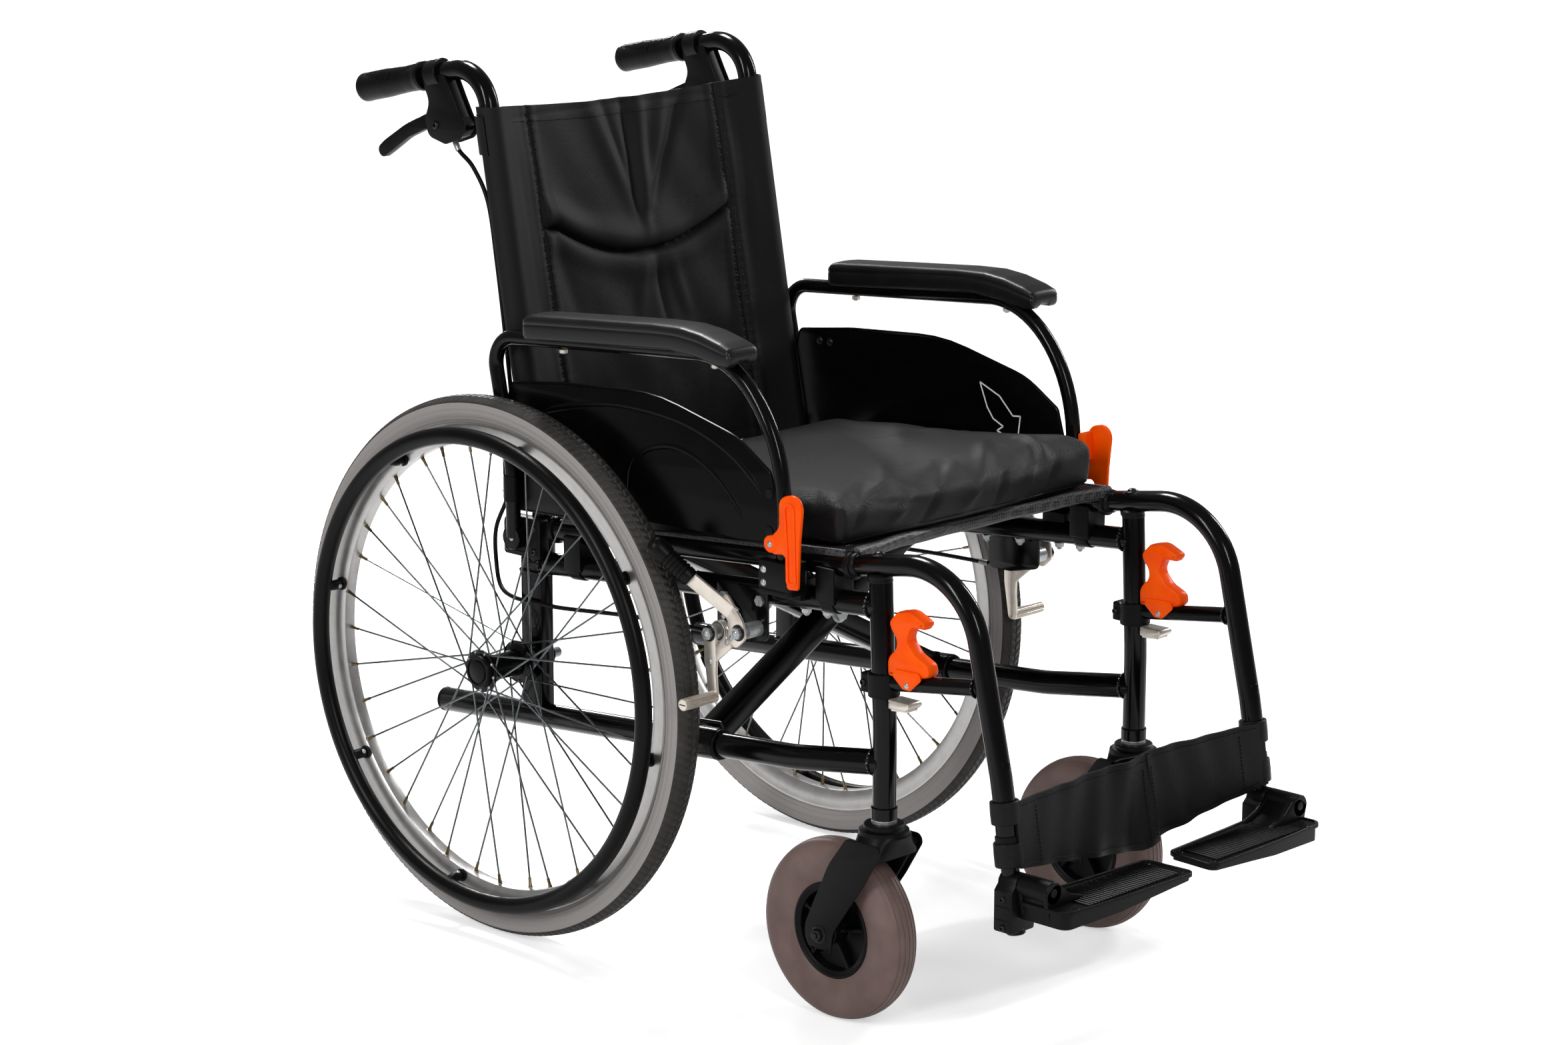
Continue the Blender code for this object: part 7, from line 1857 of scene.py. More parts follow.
        for outline, y, thick, edge in ((arm, front + cheek / 2, cheek, 0.0012),
                (arm, back - cheek / 2, cheek, 0.0012),
                (inset(arm, 0.002), (front + back) / 2, back - front - 0.01, 0.0006)):
            piece.add(NYLON_BLACK, plate(outline, thick, lying(OUTWARD, UPWARD, (0, y, 0)), edge))
        piece.add(NYLON_BLACK, turned([(0.0062, 0), (0.0062, 0.003), (0.005, 0.0036), (0.0034, 0.0036),
            (0.0034, 0.001), (0, 0.001)], (0.183, -0.731, top - 0.002), UPWARD, 24))
        return piece

    def strap(self) -> None:
        """Half the calf strap: a sagging webbing band with two loops round the hanger."""
        piece = Piece("calf_strap", self.side)
        shell, thick = self.radius + 0.0006, 0.003
        lap = 0.0034 * self.side.value
        columns, rows = 60, 14
        reach = FRAME_X + 0.03
        sheets = []
        for skin_side in (1, -1):
            grid = []
            for i in range(columns + 1):
                x = FRAME_X - reach * i / columns
                share = 1 - min(1.0, abs(x) / FRAME_X) ** 2
                row = []
                for k in range(rows + 1):
                    t = k / rows
                    drop = 0.03 * (1 - abs(x) / FRAME_X) * (1 - t)
                    z = self.strap_foot + (self.strap_top - self.strap_foot) * t - drop
                    ripple = 0.0022 * math.sin(x * 61 + t * 4) * share + 0.0016 * math.sin(x * 140 + 3 * t)
                    y = self.leg_y(z) - shell - thick / 2 + 0.016 * share + lap * share + ripple * share
                    slant = 0.01 * t if i == columns else 0
                    row.append((x + slant, y - skin_side * thick / 2, z))
                grid.append(row)
            sheets.append(np.array(grid))
        rings = np.concatenate([sheets[0], sheets[1][:, ::-1]], axis=1)
        piece.add(STRAP_WEBBING, loft(rings))
        height = self.strap_top - self.strap_foot
        leg = Vector((0, math.sin(self.rake), math.cos(self.rake)))
        for low, high in ((self.strap_foot, self.strap_foot + height * 0.37),
                (self.strap_top - height * 0.35, self.strap_top)):
            length = (high - low) / math.cos(self.rake)
            base = Vector((FRAME_X, self.leg_y(low), low))
            ring = [(shell - 0.0002, 0.0004), (shell + thick - 0.0006, 0.0), (shell + thick, 0.0008),
                (shell + thick + 0.0003, length * 0.5), (shell + thick, length - 0.0008),
                (shell + thick - 0.0006, length), (shell - 0.0002, length - 0.0004)]
            piece.add(STRAP_WEBBING, turned(ring, base, leg, 36, closed=True))
        front = sheets[0] + (0, -0.0002, 0)
        seams = [front[3:, row] for row in (1, rows - 1)] + [front[column, 1:-1] for column in (-2, -5, 9)]
        for seam in seams:
            piece.add(THREAD, *stitches(seam, FORWARD, 0.0042, 0.0027, 0.00042))
        made = piece.mesh()
        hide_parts(piece.node)
        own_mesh(made)
        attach(made, f"{self.side.word}_hanger")
        LOG.info("%s: %d faces", made.name, len(made.data.polygons))


def stitches(path: np.ndarray, out: Place, pitch: float, length: float, radius: float) -> list[Shape]:
    """Thread stitches along a path, each bowed out of the cloth.

    Args:
        path: points of the seam on the cloth's face.
        out: the direction away from the cloth.
        pitch: from one stitch to the next.
        length: of one stitch.
        radius: of the thread.

    Returns:
        One form for each stitch.
    """
    lengths = np.concatenate([[0], np.cumsum(np.linalg.norm(np.diff(path, axis=0), axis=1))])
    away = np.array(Vector(out).normalized())
    made = []
    for k in range(int((lengths[-1] - length) / pitch)):
        marks = [k * pitch, k * pitch + length / 2, k * pitch + length]
        places = np.column_stack([np.interp(marks, lengths, path[:, i]) for i in range(3)])
        places[1] += away * radius * 1.4
        made.append(tube(places, radius, 5))
    return made


# Wheel locks


@dataclass
class WheelLock:
    """A push-to-lock wheel lock: bracket, cranked lever with its grip, and the arm with the roller."""

    side: Side
    pivot: tuple[float, float] = (-0.35805, 0.405)
    shoe_pivot: tuple[float, float] = (-0.31005, 0.395)
    link: tuple[float, float] = (-0.31105, 0.364)
    roller: tuple[float, float] = (-0.31585, 0.327)
    plate_x: float = 0.2189
    arm_x: float = 0.2425
    lever_x: float = 0.248
    gauge: float = 0.0036

    def build(self) -> None:
        """Makes bracket, lever and arm."""
        word = self.side.word
        self.bracket().lay(f"{word}_frame")
        self.lever().lay(f"{word}_lock_lever")
        self.shoe().lay(f"{word}_lock_shoe")

    def bracket(self) -> Piece:
        """The bracket on the upper rail with the two pivots, its bolts, stop and return spring."""
        piece = Piece("wheel_lock_bracket", self.side)
        y, z = self.pivot
        outline = about(self.pivot, [(-0.014, 0.045, 0.004), (0.06, 0.041, 0.004), (0.06, -0.021, 0.008),
            (0.028, -0.021, 0.01), (-0.014, -0.012, 0.008)])
        piece.add(GLOSS_BLACK, side_plate(outline, 0.0032, self.plate_x, 0.0008))
        for py, pz in (self.pivot, self.shoe_pivot):
            end = self.arm_x - self.gauge / 2 - 0.0003
            boss = [(0.0085, self.plate_x), (0.0085, end - 0.0003), (0.007, end), (0, end)]
            piece.add(ZINC_STEEL, turned(boss, (0, py, pz), OUTWARD, 28))
            tip = (self.lever_x if (py, pz) == self.pivot else self.arm_x) + self.gauge / 2
            piece.add(ZINC_STEEL, tube([(self.plate_x, py, pz), (tip + 0.002, py, pz)], 0.0038, 18))
            place = Vector((tip + 0.0002, py, pz))
            piece.add(DARK_STEEL, washer(place, OUTWARD, 0.0088, 0.0012))
            piece.add(ZINC_STEEL, hexagon(place + Vector((0.001, 0, 0)), OUTWARD, 0.0068, 0.0046),
                dome(place + Vector((0.0054, 0, 0)), OUTWARD, 0.004, 0.0014, 14))
        for by, bz in ((y - 0.004, z + 0.03), (y + 0.048, z + 0.026)):
            piece.add(ZINC_STEEL, hexagon((self.plate_x + 0.0016, by, bz), OUTWARD, 0.0062, 0.0042))
        self.spring(piece)
        return piece

    def spring(self, piece: Piece) -> None:
        """The coil spring round the shoe's boss, with one leg to the bracket."""
        py, pz = self.shoe_pivot
        turns, start, pitch, radius = 4, self.plate_x + 0.0045, 0.0023, 0.0104
        path = [(start + pitch * a / TAU, py + radius * math.cos(a), pz + radius * math.sin(a))
            for a in np.linspace(0, TAU * turns, 24 * turns)]
        path.append((path[-1][0], py + radius, pz - 0.014))
        piece.add(NICKEL_STEEL, tube(path, 0.00095, 8))

    def lever(self) -> Piece:
        """The nickel lever: a cranked plate, a leaning bar, a ribbed black grip and its rivets."""
        piece = Piece("wheel_lock_lever", self.side)
        outline = about(self.pivot, [(-0.009, -0.006, 0.007), (0.004, -0.018, 0.007),
            (0.018, -0.012, 0.007), (0.014, 0.006, 0.01), (0.03, 0.031, 0.006), (0.018, 0.04, 0.006),
            (-0.006, 0.012, 0.012)])
        piece.add(NICKEL_STEEL, side_plate(outline, self.gauge, self.lever_x, 0.0006))
        low = Vector((self.lever_x, -0.34605, 0.425))
        mid = Vector((0.2623, -0.3005, 0.456))
        tip = Vector((0.2815, -0.264, 0.4915))
        bar = oblong((-0.0085, -0.0018), (0.0085, 0.0018), 0.0006, turn_step=45)
        ends = low - (mid - low) * 0.1, mid + (tip - mid) * 0.35
        path = rounded([(*ends[0], 0), (*low, 0.02), (*mid, 0.02), (*ends[1], 0)])
        piece.add(NICKEL_STEEL, swept(path, bar, up=OUTWARD))
        way = (tip - mid).normalized()
        length = (tip - mid).length
        profile = [(0, -0.0015), (0.0088, -0.0015), (0.0098, 0.0005), (0.01, 0.005)]
        for k in range(6):
            at = 0.0075 + k * 0.0048
            profile += [(0.0102, at), (0.0092, at + 0.0006), (0.0092, at + 0.0014), (0.0104, at + 0.002)]
        profile += [(0.0116, length - 0.011), (0.0118, length - 0.006), (0.0108, length - 0.0015),
            (0.0078, length + 0.0016), (0.004, length + 0.003), (0, length + 0.0034)]
        piece.add(GRIP_BLACK, turned(profile, mid, way, 32))
        for ry, rz in ((-0.3554, 0.3975), (-0.344, 0.419)):
            piece.add(ZINC_STEEL, dome((self.lever_x + self.gauge / 2, ry + 0.008, rz), OUTWARD, 0.003,
                0.0012, 14))
        return piece

    def shoe(self) -> Piece:
        """The nickel arm with its link, rivets and fluted roller."""
        piece = Piece("wheel_lock_shoe", self.side)
        py, pz = self.shoe_pivot
        ly, lz = self.link
        ry, rz = self.roller
        arm = rounded([(py - 0.0085, pz + 0.008, 0.007), (py + 0.0085, pz + 0.008, 0.007),
            (ly + 0.0085, lz, 0.008), (ry + 0.006, rz - 0.006, 0.005), (ry - 0.006, rz - 0.006, 0.005),
            (ly - 0.008, lz - 0.012, 0.008), (ly - 0.0085, lz + 0.004, 0.004)], True)
        piece.add(NICKEL_STEEL, side_plate(arm, self.gauge, self.arm_x, 0.0006))
        link = rounded([(ly + 0.004, lz - 0.009, 0.007), (ly + 0.006, lz + 0.006, 0.006),
            (self.pivot[0] + 0.024, self.pivot[1] - 0.008, 0.005),
            (self.pivot[0] + 0.014, self.pivot[1] - 0.019, 0.005)], True)
        piece.add(NICKEL_STEEL, side_plate(link, self.gauge * 0.9, self.arm_x, 0.0005))
        for cy, cz in ((ly, lz), (self.pivot[0] + 0.022, self.pivot[1] - 0.015)):
            piece.add(ZINC_STEEL, dome((self.arm_x + self.gauge / 2, cy, cz), OUTWARD, 0.0036, 0.0014, 16))
        start, out, radius = self.arm_x, 0.2905, 0.0065
        grid = []
        for x, size in ((start, 0.92), (start + 0.0006, 1.0), (out - 0.0008, 1.0), (out, 0.88)):
            row = []
            for k in range(72):
                angle = TAU * k / 72
                flute = 1.0 if k % 3 else 0.9
                row.append((x, ry + radius * size * flute * math.cos(angle),
                    rz + radius * size * flute * math.sin(angle)))
            grid.append(row)
        piece.add(NICKEL_STEEL, loft(np.array(grid)))
        # A thin dark bar laid on the roller's end: painted shade for the slot across it.
        piece.add(DARK_STEEL, block((out - 0.0004, ry - 0.0045, rz - 0.0007),
            (out + 0.0001, ry + 0.0045, rz + 0.0007), 0.0001))
        return piece


# Upholstery


def thick_sheet(grid: np.ndarray, thickness: float) -> Shape:
    """A cloth of real thickness over a grid of its middle surface."""
    along = np.gradient(grid, axis=0)
    across = np.gradient(grid, axis=1)
    normal = np.cross(along, across)
    normal /= np.linalg.norm(normal, axis=2)[:, :, None]
    front, back = grid + normal * (thickness / 2), grid - normal * (thickness / 2)
    return loft(np.concatenate([front, back[:, ::-1]], axis=1))


def hump(gap: np.ndarray, height: float, width: float) -> np.ndarray:
    """A smooth hump of a height, at points that far from its middle."""
    return height * np.exp(-(gap / width) ** 2)


@dataclass(frozen=True)
class Fold:
    """A fold of the cloth along a line: where it runs, how wide and how deep it is."""

    start: tuple[float, float]
    end: tuple[float, float]
    width: float
    depth: float

    def reach(self, first: np.ndarray, second: np.ndarray) -> np.ndarray:
        """How far the fold moves each point of the cloth."""
        a, b = np.array(self.start), np.array(self.end)
        way = b - a
        length = np.linalg.norm(way)
        way = way / length
        t = (first - a[0]) * way[0] + (second - a[1]) * way[1]
        off = (first - a[0]) * -way[1] + (second - a[1]) * way[0]
        share = np.clip(t / length, 0, 1)
        past = np.maximum(np.maximum(-t, t - length), 0)
        fade = np.sin(np.pi * np.clip(share, 0.04, 0.96)) ** 0.6
        return fade * hump(off, self.depth, self.width) * hump(past, 1.0, 2 * self.width)


@dataclass
class BackCloth:
    """The back: a canvas hung between the canes and wrapped round them, sewn, creased and gathered."""

    low: float = 0.5
    high: float = 0.913
    cane_x: float = 0.2022
    wrap_radius: float = 0.0143
    wrap_start: float = math.radians(-24)
    wrap_end: float = math.radians(112)
    thickness: float = 0.003
    sag: float = 0.026
    seam_x: float = 0.147
    columns: int = 190
    rows: int = 130
    folds: tuple[Fold, ...] = (Fold((0.008, 0.915), (0.01, 0.765), 0.007, 0.0042),
        Fold((0.034, 0.915), (0.016, 0.755), 0.009, -0.005),
        Fold((0.105, 0.912), (0.03, 0.775), 0.008, 0.0045),
        Fold((0.075, 0.912), (0.03, 0.79), 0.01, -0.004),
        Fold((-0.05, 0.912), (-0.002, 0.79), 0.011, -0.003),
        Fold((-0.026, 0.912), (0.002, 0.8), 0.007, 0.0032),
        Fold((0.026, 0.722), (0.032, 0.64), 0.006, 0.0034),
        Fold((0.008, 0.722), (-0.012, 0.655), 0.0085, -0.0028),
        Fold((0.046, 0.725), (0.066, 0.65), 0.009, -0.0026),
        Fold((-0.14, 0.8), (-0.1, 0.64), 0.012, 0.0018), Fold((0.14, 0.7), (0.105, 0.56), 0.012, 0.0018),
        Fold((-0.085, 0.6), (-0.06, 0.505), 0.013, 0.0022),
        Fold((0.01, 0.6), (0.006, 0.505), 0.014, 0.0018), Fold((0.09, 0.62), (0.075, 0.505), 0.012, 0.0016),
        Fold((0.175, 0.9), (0.168, 0.64), 0.006, 0.0014), Fold((-0.178, 0.9), (-0.17, 0.62), 0.006, 0.0014))

    def crease_z(self, x: np.ndarray) -> np.ndarray:
        """Height of the sewn crease, which dips in the middle."""
        return 0.732 + 0.0405 * np.minimum(1.0, np.abs(x - 0.012) / 0.135) ** 2

    def depth(self, x: np.ndarray, z: np.ndarray) -> np.ndarray:
        """How far the cloth lies behind the line between the canes."""
        span = self.cane_x + self.wrap_radius * math.sin(self.wrap_start)
        share = np.minimum(1.0, np.abs(x) / span)
        height = (z - self.low) / (self.high - self.low)
        deep = self.sag * (1 - share ** 3) * (0.75 + 0.25 * height)
        off = z - self.crease_z(x)
        inside = np.clip((self.seam_x + 0.004 - np.abs(x)) / 0.02, 0, 1)
        inside = inside * inside * (3 - 2 * inside)
        rolls = hump(off - 0.017, 0.007, 0.015) + hump(off + 0.016, 0.0035, 0.014)
        deep = deep + inside * (hump(off, 0.0095, 0.0042) - rolls)
        for fold in self.folds:
            deep = deep + fold.reach(x, z) * (1 - share ** 8)
        for seam in (-1, 1):
            gap = x - seam * self.seam_x
            deep = deep + hump(gap, 0.002, 0.003) - hump(np.abs(gap) - 0.0085, 0.0012, 0.0045)
            deep = deep + np.sin(z * TAU / 0.0105 + seam) * hump(gap, 0.00045, 0.011)
        hem = hump(self.high - 0.016 - z, 0.001, 0.0028) + hump(z - self.low - 0.016, 0.001, 0.0028)
        broad = 0.0012 * np.sin(x * 37 + 1.3) * np.sin(z * 29 + 0.4) + 0.0007 * np.sin(x * 83 + z * 51)
        return deep + hem * (1 - share ** 6) + broad * (1 - share ** 4)

    def line_y(self, z: np.ndarray) -> np.ndarray:
        """Station of the straight line between the canes, at each height."""
        return np.array([cane_y(v) for v in z]) - self.wrap_radius * math.cos(self.wrap_start)

    def seam(self, x: np.ndarray, z: np.ndarray, radius: float) -> list[Shape]:
        """A row of stitches on the cloth's face."""
        face = self.line_y(z) + self.depth(x, z) - self.thickness / 2 - 0.0001
        return stitches(np.column_stack([x, face, z]), FORWARD, 0.0046, 0.003, radius)

    def middle_grid(self) -> np.ndarray:
        """The cloth's middle surface, from one wrapped edge to the other."""
        wraps = np.linspace(self.wrap_end, self.wrap_start, 22)[:-1]
        span = self.cane_x + self.wrap_radius * math.sin(self.wrap_start)
        flat = np.linspace(-span, span, self.columns)
        rows = np.linspace(0, 1, self.rows)
        grid = []
        grid.extend([self.wrapped(-1, a, t) for t in rows] for a in wraps)
        for x in flat:
            z = self.low + (self.high - self.low) * rows
            share = abs(x) / span
            z = z - 0.01 * (1 - share ** 2) * rows ** 6 + 0.006 * (1 - share ** 2) * (1 - rows) ** 6
            across = np.full(len(z), x)
            grid.append(list(zip(across, self.line_y(z) + self.depth(across, z), z)))
        grid.extend([self.wrapped(1, a, t) for t in rows] for a in wraps[::-1])
        return np.array(grid)

    def wrapped(self, sign: int, angle: float, t: float) -> tuple[float, float, float]:
        """A point of the cloth where it goes round a cane."""
        z = self.low + (self.high - self.low) * t
        return (sign * (self.cane_x + self.wrap_radius * math.sin(angle)),
            cane_y(z) - self.wrap_radius * math.cos(angle), z)

    def build(self) -> None:
        """Makes the cloth with its seams, tabs and stitching."""
        piece = Piece("back_upholstery")
        grid = self.middle_grid()
        piece.add(BACK_CLOTH, thick_sheet(grid, self.thickness))
        z = np.linspace(self.low + 0.004, self.high - 0.006, 150)
        for seam in (-1, 1):
            for gap in (-0.0042, 0.0042):
                piece.add(THREAD, *self.seam(np.full(len(z), seam * self.seam_x + gap), z, 0.00048))
        x = np.linspace(-0.18, 0.18, 150)
        for level in (self.high - 0.017, self.low + 0.017):
            height = np.full(len(x), level) - (0.01 * (1 - (x / 0.1964) ** 2) if level > 0.8 else 0)
            piece.add(THREAD, *self.seam(x, height, 0.00045))
        for sign in (-1, 1):
            self.tab(piece, sign)
        made = piece.mesh(sharp=50)
        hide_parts("back_upholstery")
        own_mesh(made)
        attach(made, "right_frame")

    def tab(self, piece: Piece, sign: int) -> None:
        """A webbing tab behind a cane, sewn to the cloth's edge."""
        radius = self.wrap_radius + 0.0026
        grid = [[(sign * (self.cane_x + radius * math.sin(a)), cane_y(z) - radius * math.cos(a), z)
            for z in np.linspace(0.861, 0.903, 8)] for a in np.radians(np.linspace(70, 205, 14))]
        piece.add(STRAP_WEBBING, thick_sheet(np.array(grid), 0.0018))


@dataclass
class SeatSling:
    """The sling under the cushion: canvas over both rails, hanging between them, with a mesh-rolled edge."""

    half: float = 0.2085
    rest: float = 0.2015
    front: float = -0.481
    rear: float = -0.046
    curve: float = 0.036
    thickness: float = 0.003
    rows: int = 70

    def top(self, y: np.ndarray) -> np.ndarray:
        """Height of the cloth's middle surface over the rails."""
        return SEAT_RAIL_Z - y * math.tan(SLOPE) + 0.0125 / math.cos(SLOPE) + 0.0003 + 0.0015

    def sag(self, x: np.ndarray, y: np.ndarray) -> np.ndarray:
        """How far the cloth hangs under its line over the rails."""
        inside = np.maximum(0.0, 1 - (x / self.rest) ** 2)
        share = np.clip((y - self.front) / 0.11, 0, 1)
        return inside * (0.003 + 0.012 * share * share * (3 - 2 * share))

    def point_grid(self) -> np.ndarray:
        """The sling's middle surface, wrapped a little over each rail."""
        grid = []
        for x in np.linspace(-self.half, self.half, 121):
            curve = self.curve * math.cos(x / self.half * math.pi / 2)
            y = np.linspace(self.front + curve, self.rear, self.rows)
            across = np.full(self.rows, x)
            z = self.top(y) - self.sag(across, y) - max(0.0, abs(x) - self.rest) ** 2 * 12
            z = z + 0.0006 * np.sin(x * 70) * np.sin(y * 44)
            grid.append(np.column_stack([across, y, z]))
        return np.array(grid)

    def build(self) -> None:
        """Makes the sling, its mesh roll and its stitches."""
        piece = Piece("seat_sling")
        grid = self.point_grid()
        piece.add(SLING_CLOTH, thick_sheet(grid, self.thickness))
        edge = grid[:, 0] + (0, -0.002, -0.003)
        section = circle(14) * (0.0058, 0.0072)
        piece.add(MESH_TAPE, swept(edge[1:-1], section, up=UPWARD))
        for side in (-1, 1):
            y = np.linspace(-0.474, -0.052, self.rows)
            strip = np.column_stack([np.full(self.rows, side * 0.2105), y, self.top(y) - 0.003])
            flat = oblong((-0.0022, -0.0062), (0.0022, 0.0056), 0.002, turn_step=30)
            piece.add(MESH_TAPE, swept(strip, flat, up=UPWARD))
        for row in (3, 5):
            piece.add(THREAD, *stitches(grid[4:-4, row] + (0, 0, 0.0017), UPWARD, 0.005, 0.0032, 0.00045))
        made = piece.mesh(sharp=50)
        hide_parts("seat_sling")
        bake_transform(made)


@dataclass
class SeatCushion:
    """The boxed seat cushion: swollen by a cloth simulation, then wrinkled, seamed and stitched."""

    sling: SeatSling
    half: float = 0.211
    front: float = -0.469
    rear: float = -0.05
    thick: float = 0.051
    crown: float = 0.003
    near_puff: float = 0.004
    far_puff: float = 0.0125
    bulge: float = 0.0035
    drop: float = 0.006
    seam_share: float = 0.12
    voxel: float = 0.0055
    pressure: float = 4.0
    swell: float = 0.006
    folds: tuple[Fold, ...] = (Fold((-0.13, -0.455), (-0.04, -0.36), 0.011, -0.0042),
        Fold((0.02, -0.46), (0.11, -0.38), 0.009, -0.0045),
        Fold((-0.16, -0.3), (0.0, -0.25), 0.018, -0.003), Fold((0.06, -0.3), (0.17, -0.2), 0.016, -0.003),
        Fold((-0.1, -0.18), (0.06, -0.12), 0.02, -0.0026),
        Fold((0.128, -0.462), (0.158, -0.385), 0.007, -0.005),
        Fold((-0.06, -0.46), (0.01, -0.41), 0.008, 0.003),
        Fold((0.08, -0.24), (0.18, -0.29), 0.011, 0.0022),
        Fold((0.085, -0.462), (0.15, -0.425), 0.007, 0.003),
        Fold((-0.18, -0.455), (-0.12, -0.42), 0.007, 0.0026))
    front_folds: tuple[Fold, ...] = (Fold((-0.19, 0.515), (-0.15, 0.556), 0.005, 0.0036),
        Fold((-0.135, 0.508), (-0.075, 0.556), 0.006, -0.004),
        Fold((-0.08, 0.508), (-0.03, 0.552), 0.005, 0.0036),
        Fold((-0.01, 0.512), (0.035, 0.556), 0.0065, -0.004),
        Fold((0.04, 0.51), (0.075, 0.556), 0.005, 0.004),
        Fold((0.085, 0.512), (0.12, 0.56), 0.0055, -0.0038),
        Fold((0.125, 0.515), (0.165, 0.565), 0.005, 0.0036),
        Fold((-0.165, 0.545), (-0.06, 0.53), 0.005, 0.0024),
        Fold((0.02, 0.535), (0.15, 0.545), 0.005, 0.0022))

    def base(self, u: float, v: float, w: float, shrink: float = 0.0) -> tuple[float, float, float]:
        """A point of the cushion from its place in a unit cube."""
        middle, half_y = (self.front + self.rear) / 2, (self.rear - self.front) / 2
        out = self.bulge * (1 - w * w)
        top = max(0.0, w) ** 6
        x = u * (self.half - shrink - 0.004 + out - 0.003 * top * abs(u) ** 8)
        y = middle + v * (half_y - shrink - 0.004 + out - 0.01 * top * abs(v) ** 8)
        share = (w + 1) / 2
        rest = float(self.sling.top(np.array(y)) + 0.0024 - self.sling.sag(np.array(x),
            np.array(y)) * (1 - share))
        puff = (self.near_puff if u < 0 else self.far_puff) * abs(u) ** 3 * (0.35 + 0.65 * max(0.0,
            -v) ** 3)
        crown = self.crown * (1 - u ** 4) * (1 - v ** 4)
        drop = self.drop * max(abs(v) ** 8, 0.5 * abs(u) ** 8)
        lift = (crown + puff - drop) * share if w > 0 else puff * 0.8 * share
        under = (self.sling.sag(np.array(x), np.array(y)) + puff * 0.5) * max(0.0, -v) ** 8 * (1 - share)
        return (x, y, rest + share * (self.thick - shrink) + lift + float(under))

    def box(self, shrink: float) -> Shape:
        """The closed, crowned form before it swells."""
        steps, layers = 40, 7
        ring = [(-1 + 2 * k / steps, -1) for k in range(steps)] + [(1, -1 + 2 * k / steps)
            for k in range(steps)]
        ring += [(1 - 2 * k / steps, 1) for k in range(steps)] + [(-1, 1 - 2 * k / steps)
            for k in range(steps)]
        wall = np.array([[self.base(u, v, -1 + 2 * k / layers, shrink) for u, v in ring]
            for k in range(layers + 1)])
        form = skin(wall, wrap_columns=True)
        for w in (-1, 1):
            cap = [[self.base(-1 + 2 * i / steps, -1 + 2 * k / steps, w, shrink) for k in range(steps + 1)]
                for i in range(steps + 1)]
            form = form + skin(np.array(cap))
        return form

    def build(self) -> None:
        """Makes the cushion with its wrinkles and its seam."""
        piece = Piece("seat_cushion")
        piece.add(SEAT_CLOTH, self.box(0.0035))
        made = piece.mesh(sharp=60)
        self.swollen(made)
        self.wrinkled(made)
        self.trimmed(made)
        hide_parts("seat_cushion")
        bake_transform(made)
        LOG.info("%s: %d faces", made.name, len(made.data.polygons))

    def swollen(self, made: Object) -> None:
        """Swells the form with a short cloth simulation and keeps the result as its mesh."""
        scene = bpy.context.scene
        even = made.modifiers.new("even_faces", "REMESH")
        even.mode = "VOXEL"
        even.voxel_size = self.voxel
        even.use_smooth_shade = True
        self.applied(made)
        start = self.places(made)
        cloth = made.modifiers.new("air", "CLOTH")
        cloth.settings.quality = 5
        cloth.settings.use_pressure = True
        cloth.settings.uniform_pressure_force = self.pressure
        cloth.settings.effector_weights.gravity = 0.0
        cloth.point_cache.frame_end = 20
        for number in range(1, 21):
            scene.frame_set(number)
        self.applied(made)
        scene.frame_set(1)
        moved = self.places(made) - start
        far = np.linalg.norm(moved, axis=1)
        moved *= np.minimum(1.0, self.swell / np.maximum(far, 1e-9))[:, None]
        made.data.vertices.foreach_set("co", (start + moved).ravel())
        smooth = made.modifiers.new("finer", "SUBSURF")
        smooth.levels = smooth.render_levels = 1
        self.applied(made)

    def applied(self, made: Object) -> None:
        """Keeps what an object's modifiers show as its mesh."""
        bpy.context.view_layer.update()
        shown = made.evaluated_get(bpy.context.evaluated_depsgraph_get())
        data = bpy.data.meshes.new_from_object(shown)
        made.modifiers.clear()
        old = made.data
        made.data = data
        bpy.data.meshes.remove(old)
        data.name = made.name

    def places(self, made: Object) -> np.ndarray:
        """The mesh's points as an array."""
        flat = np.empty(len(made.data.vertices) * 3)
        made.data.vertices.foreach_get("co", flat)
        return flat.reshape(-1, 3)

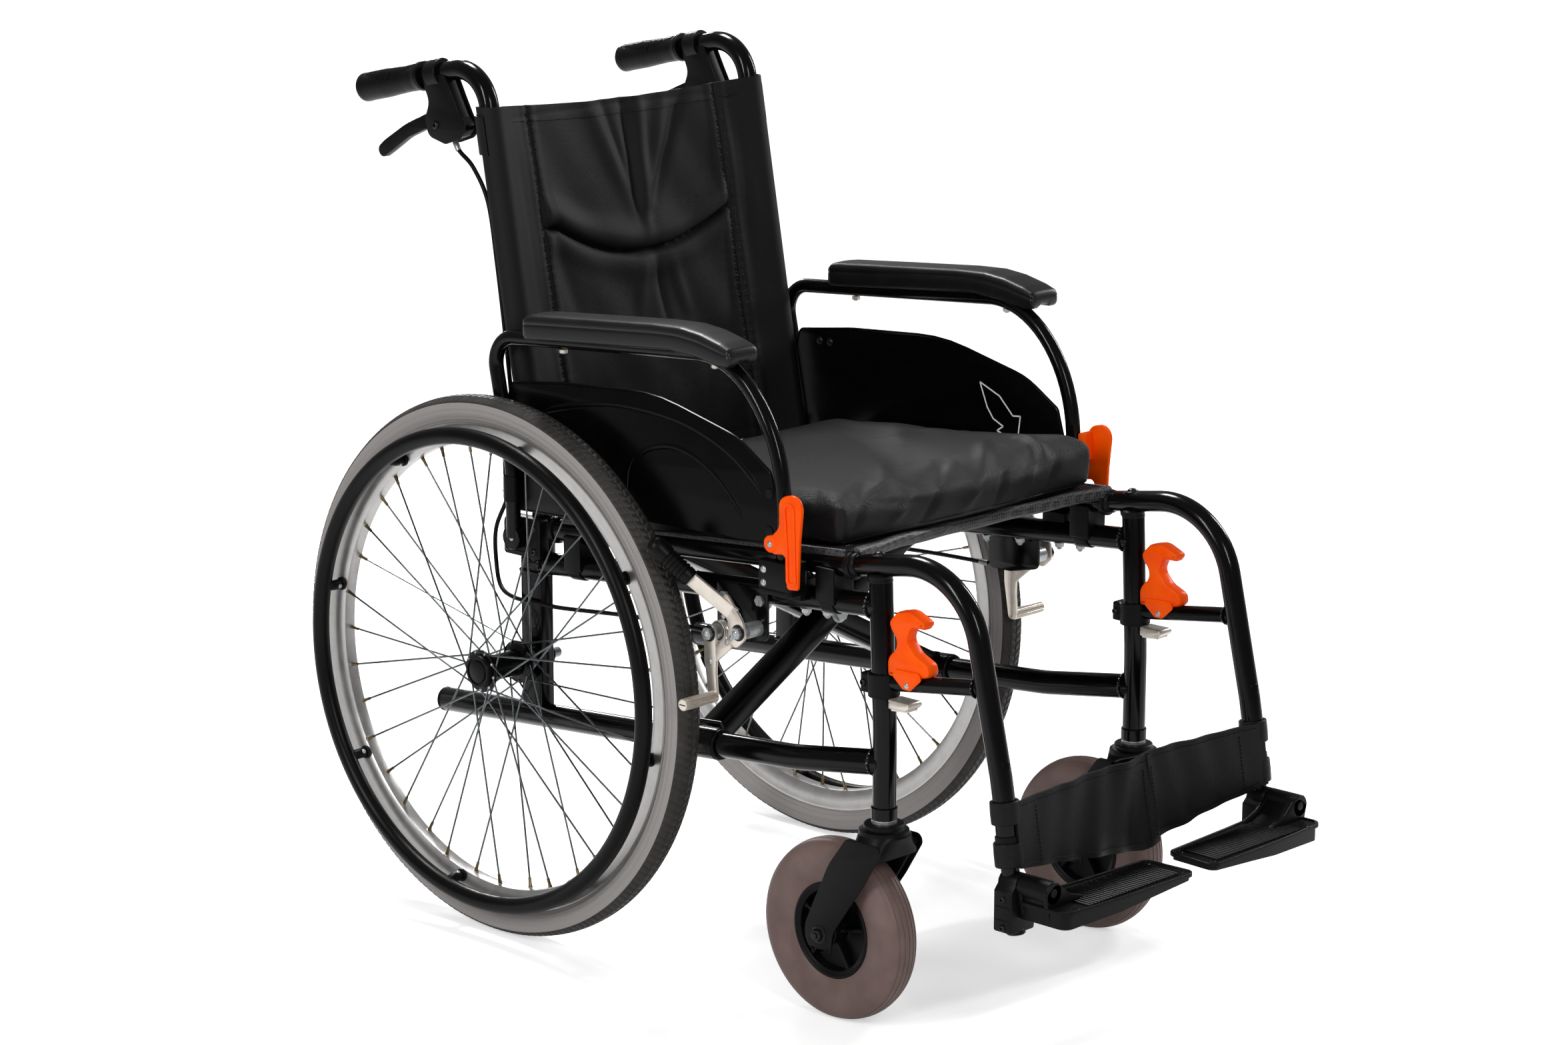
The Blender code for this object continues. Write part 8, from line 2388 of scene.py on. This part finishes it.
    def wrinkled(self, made: Object) -> None:
        """Adds wrinkles and the boxed seams, and keeps the cushion off the sling."""
        p = self.places(made) - (0, AXLE_Y, 0)
        floor = self.sling.top(p[:, 1]) + 0.0024 - self.sling.sag(p[:, 0], p[:, 1])
        share = (p[:, 2] - floor) / self.thick
        high = np.clip((share - 0.55) / 0.35, 0, 1)
        lift = sum(fold.reach(p[:, 0], p[:, 1]) for fold in self.folds)
        p[:, 2] -= lift * high
        ahead = np.clip((self.front + 0.034 - p[:, 1]) / 0.02, 0, 1)
        band = 4 * np.clip(share, 0, 1) * (1 - np.clip(share, 0, 1))
        push = sum(fold.reach(p[:, 0], p[:, 2]) for fold in self.front_folds)
        p[:, 1] += push * ahead * band
        for side in (-1, 1):
            near = np.exp(-((p[:, 0] - side * (self.half - 0.01)) / 0.0024) ** 2)
            p[:, 1] += 0.003 * near * ahead
        p[:, 2] = np.maximum(p[:, 2], floor)
        p[:, 0] = np.clip(p[:, 0], -self.half - 0.0005, self.half + 0.0005)
        p[:, 1] = np.clip(p[:, 1], self.front - 0.003, self.rear + 0.001)
        made.data.vertices.foreach_set("co", (p + (0, AXLE_Y, 0)).ravel())
        made.data.update()

    def trimmed(self, made: Object) -> None:
        """Sews a thread round the lower edge, on the swollen form itself."""
        bpy.context.view_layer.update()
        shift = Vector((0, AXLE_Y, 0))
        path = []
        for angle in TAU * np.arange(160) / 160:
            u, v = math.cos(angle), math.sin(angle)
            scale = 1 / max(abs(u), abs(v))
            x, y, _ = self.base(u * scale, v * scale, 1.0)
            z = float(self.sling.top(np.array(y))) + 0.0024 + self.seam_share * self.thick - 0.003
            aim = Vector((x * 1.2, y, z)) + shift
            out = (aim - Vector((0, AXLE_Y + (self.front + self.rear) / 2, z))).normalized()
            hit, place, _, _ = made.ray_cast(aim + out * 0.2, -out)
            if hit:
                path.append(tuple(place - shift - out * 0.0001))
        trim = Piece("seat_cushion_trim").add(THREAD,
            swept(path, circle(8, 0.0011), up=UPWARD, closed=True))
        extra = trim.mesh(sharp=60)
        count = len(made.data.materials)
        made.data.materials.append(THREAD.material())
        for polygon in extra.data.polygons:
            polygon.material_index = count
        sewn = bmesh.new()
        sewn.from_mesh(made.data)
        sewn.from_mesh(extra.data)
        sewn.to_mesh(made.data)
        sewn.free()
        bpy.data.objects.remove(extra, do_unlink=True)


# The chair


def main() -> None:
    """Builds every sub-assembly of the chair on the frame."""
    logging.basicConfig(level=logging.INFO, format="%(message)s")
    bpy.context.scene.view_settings.view_transform = "Standard"
    Studio().build()
    for side in Side:
        SideFrame(side).build()
        RearWheel(side).build()
        Castor(side).build()
        BackCane(side).build()
        Armrest(side).build()
        Footrest(side).build()
        WheelLock(side).build()
    Brace("brace_b", "brace_front", Side.RIGHT, 0.0155).build()
    Brace("brace_a", "brace_rear", Side.LEFT, -0.0155).build()
    BraceBolt().build()
    sling = SeatSling()
    sling.build()
    SeatCushion(sling).build()
    BackCloth().build()


if __name__ == "__main__":
    main()
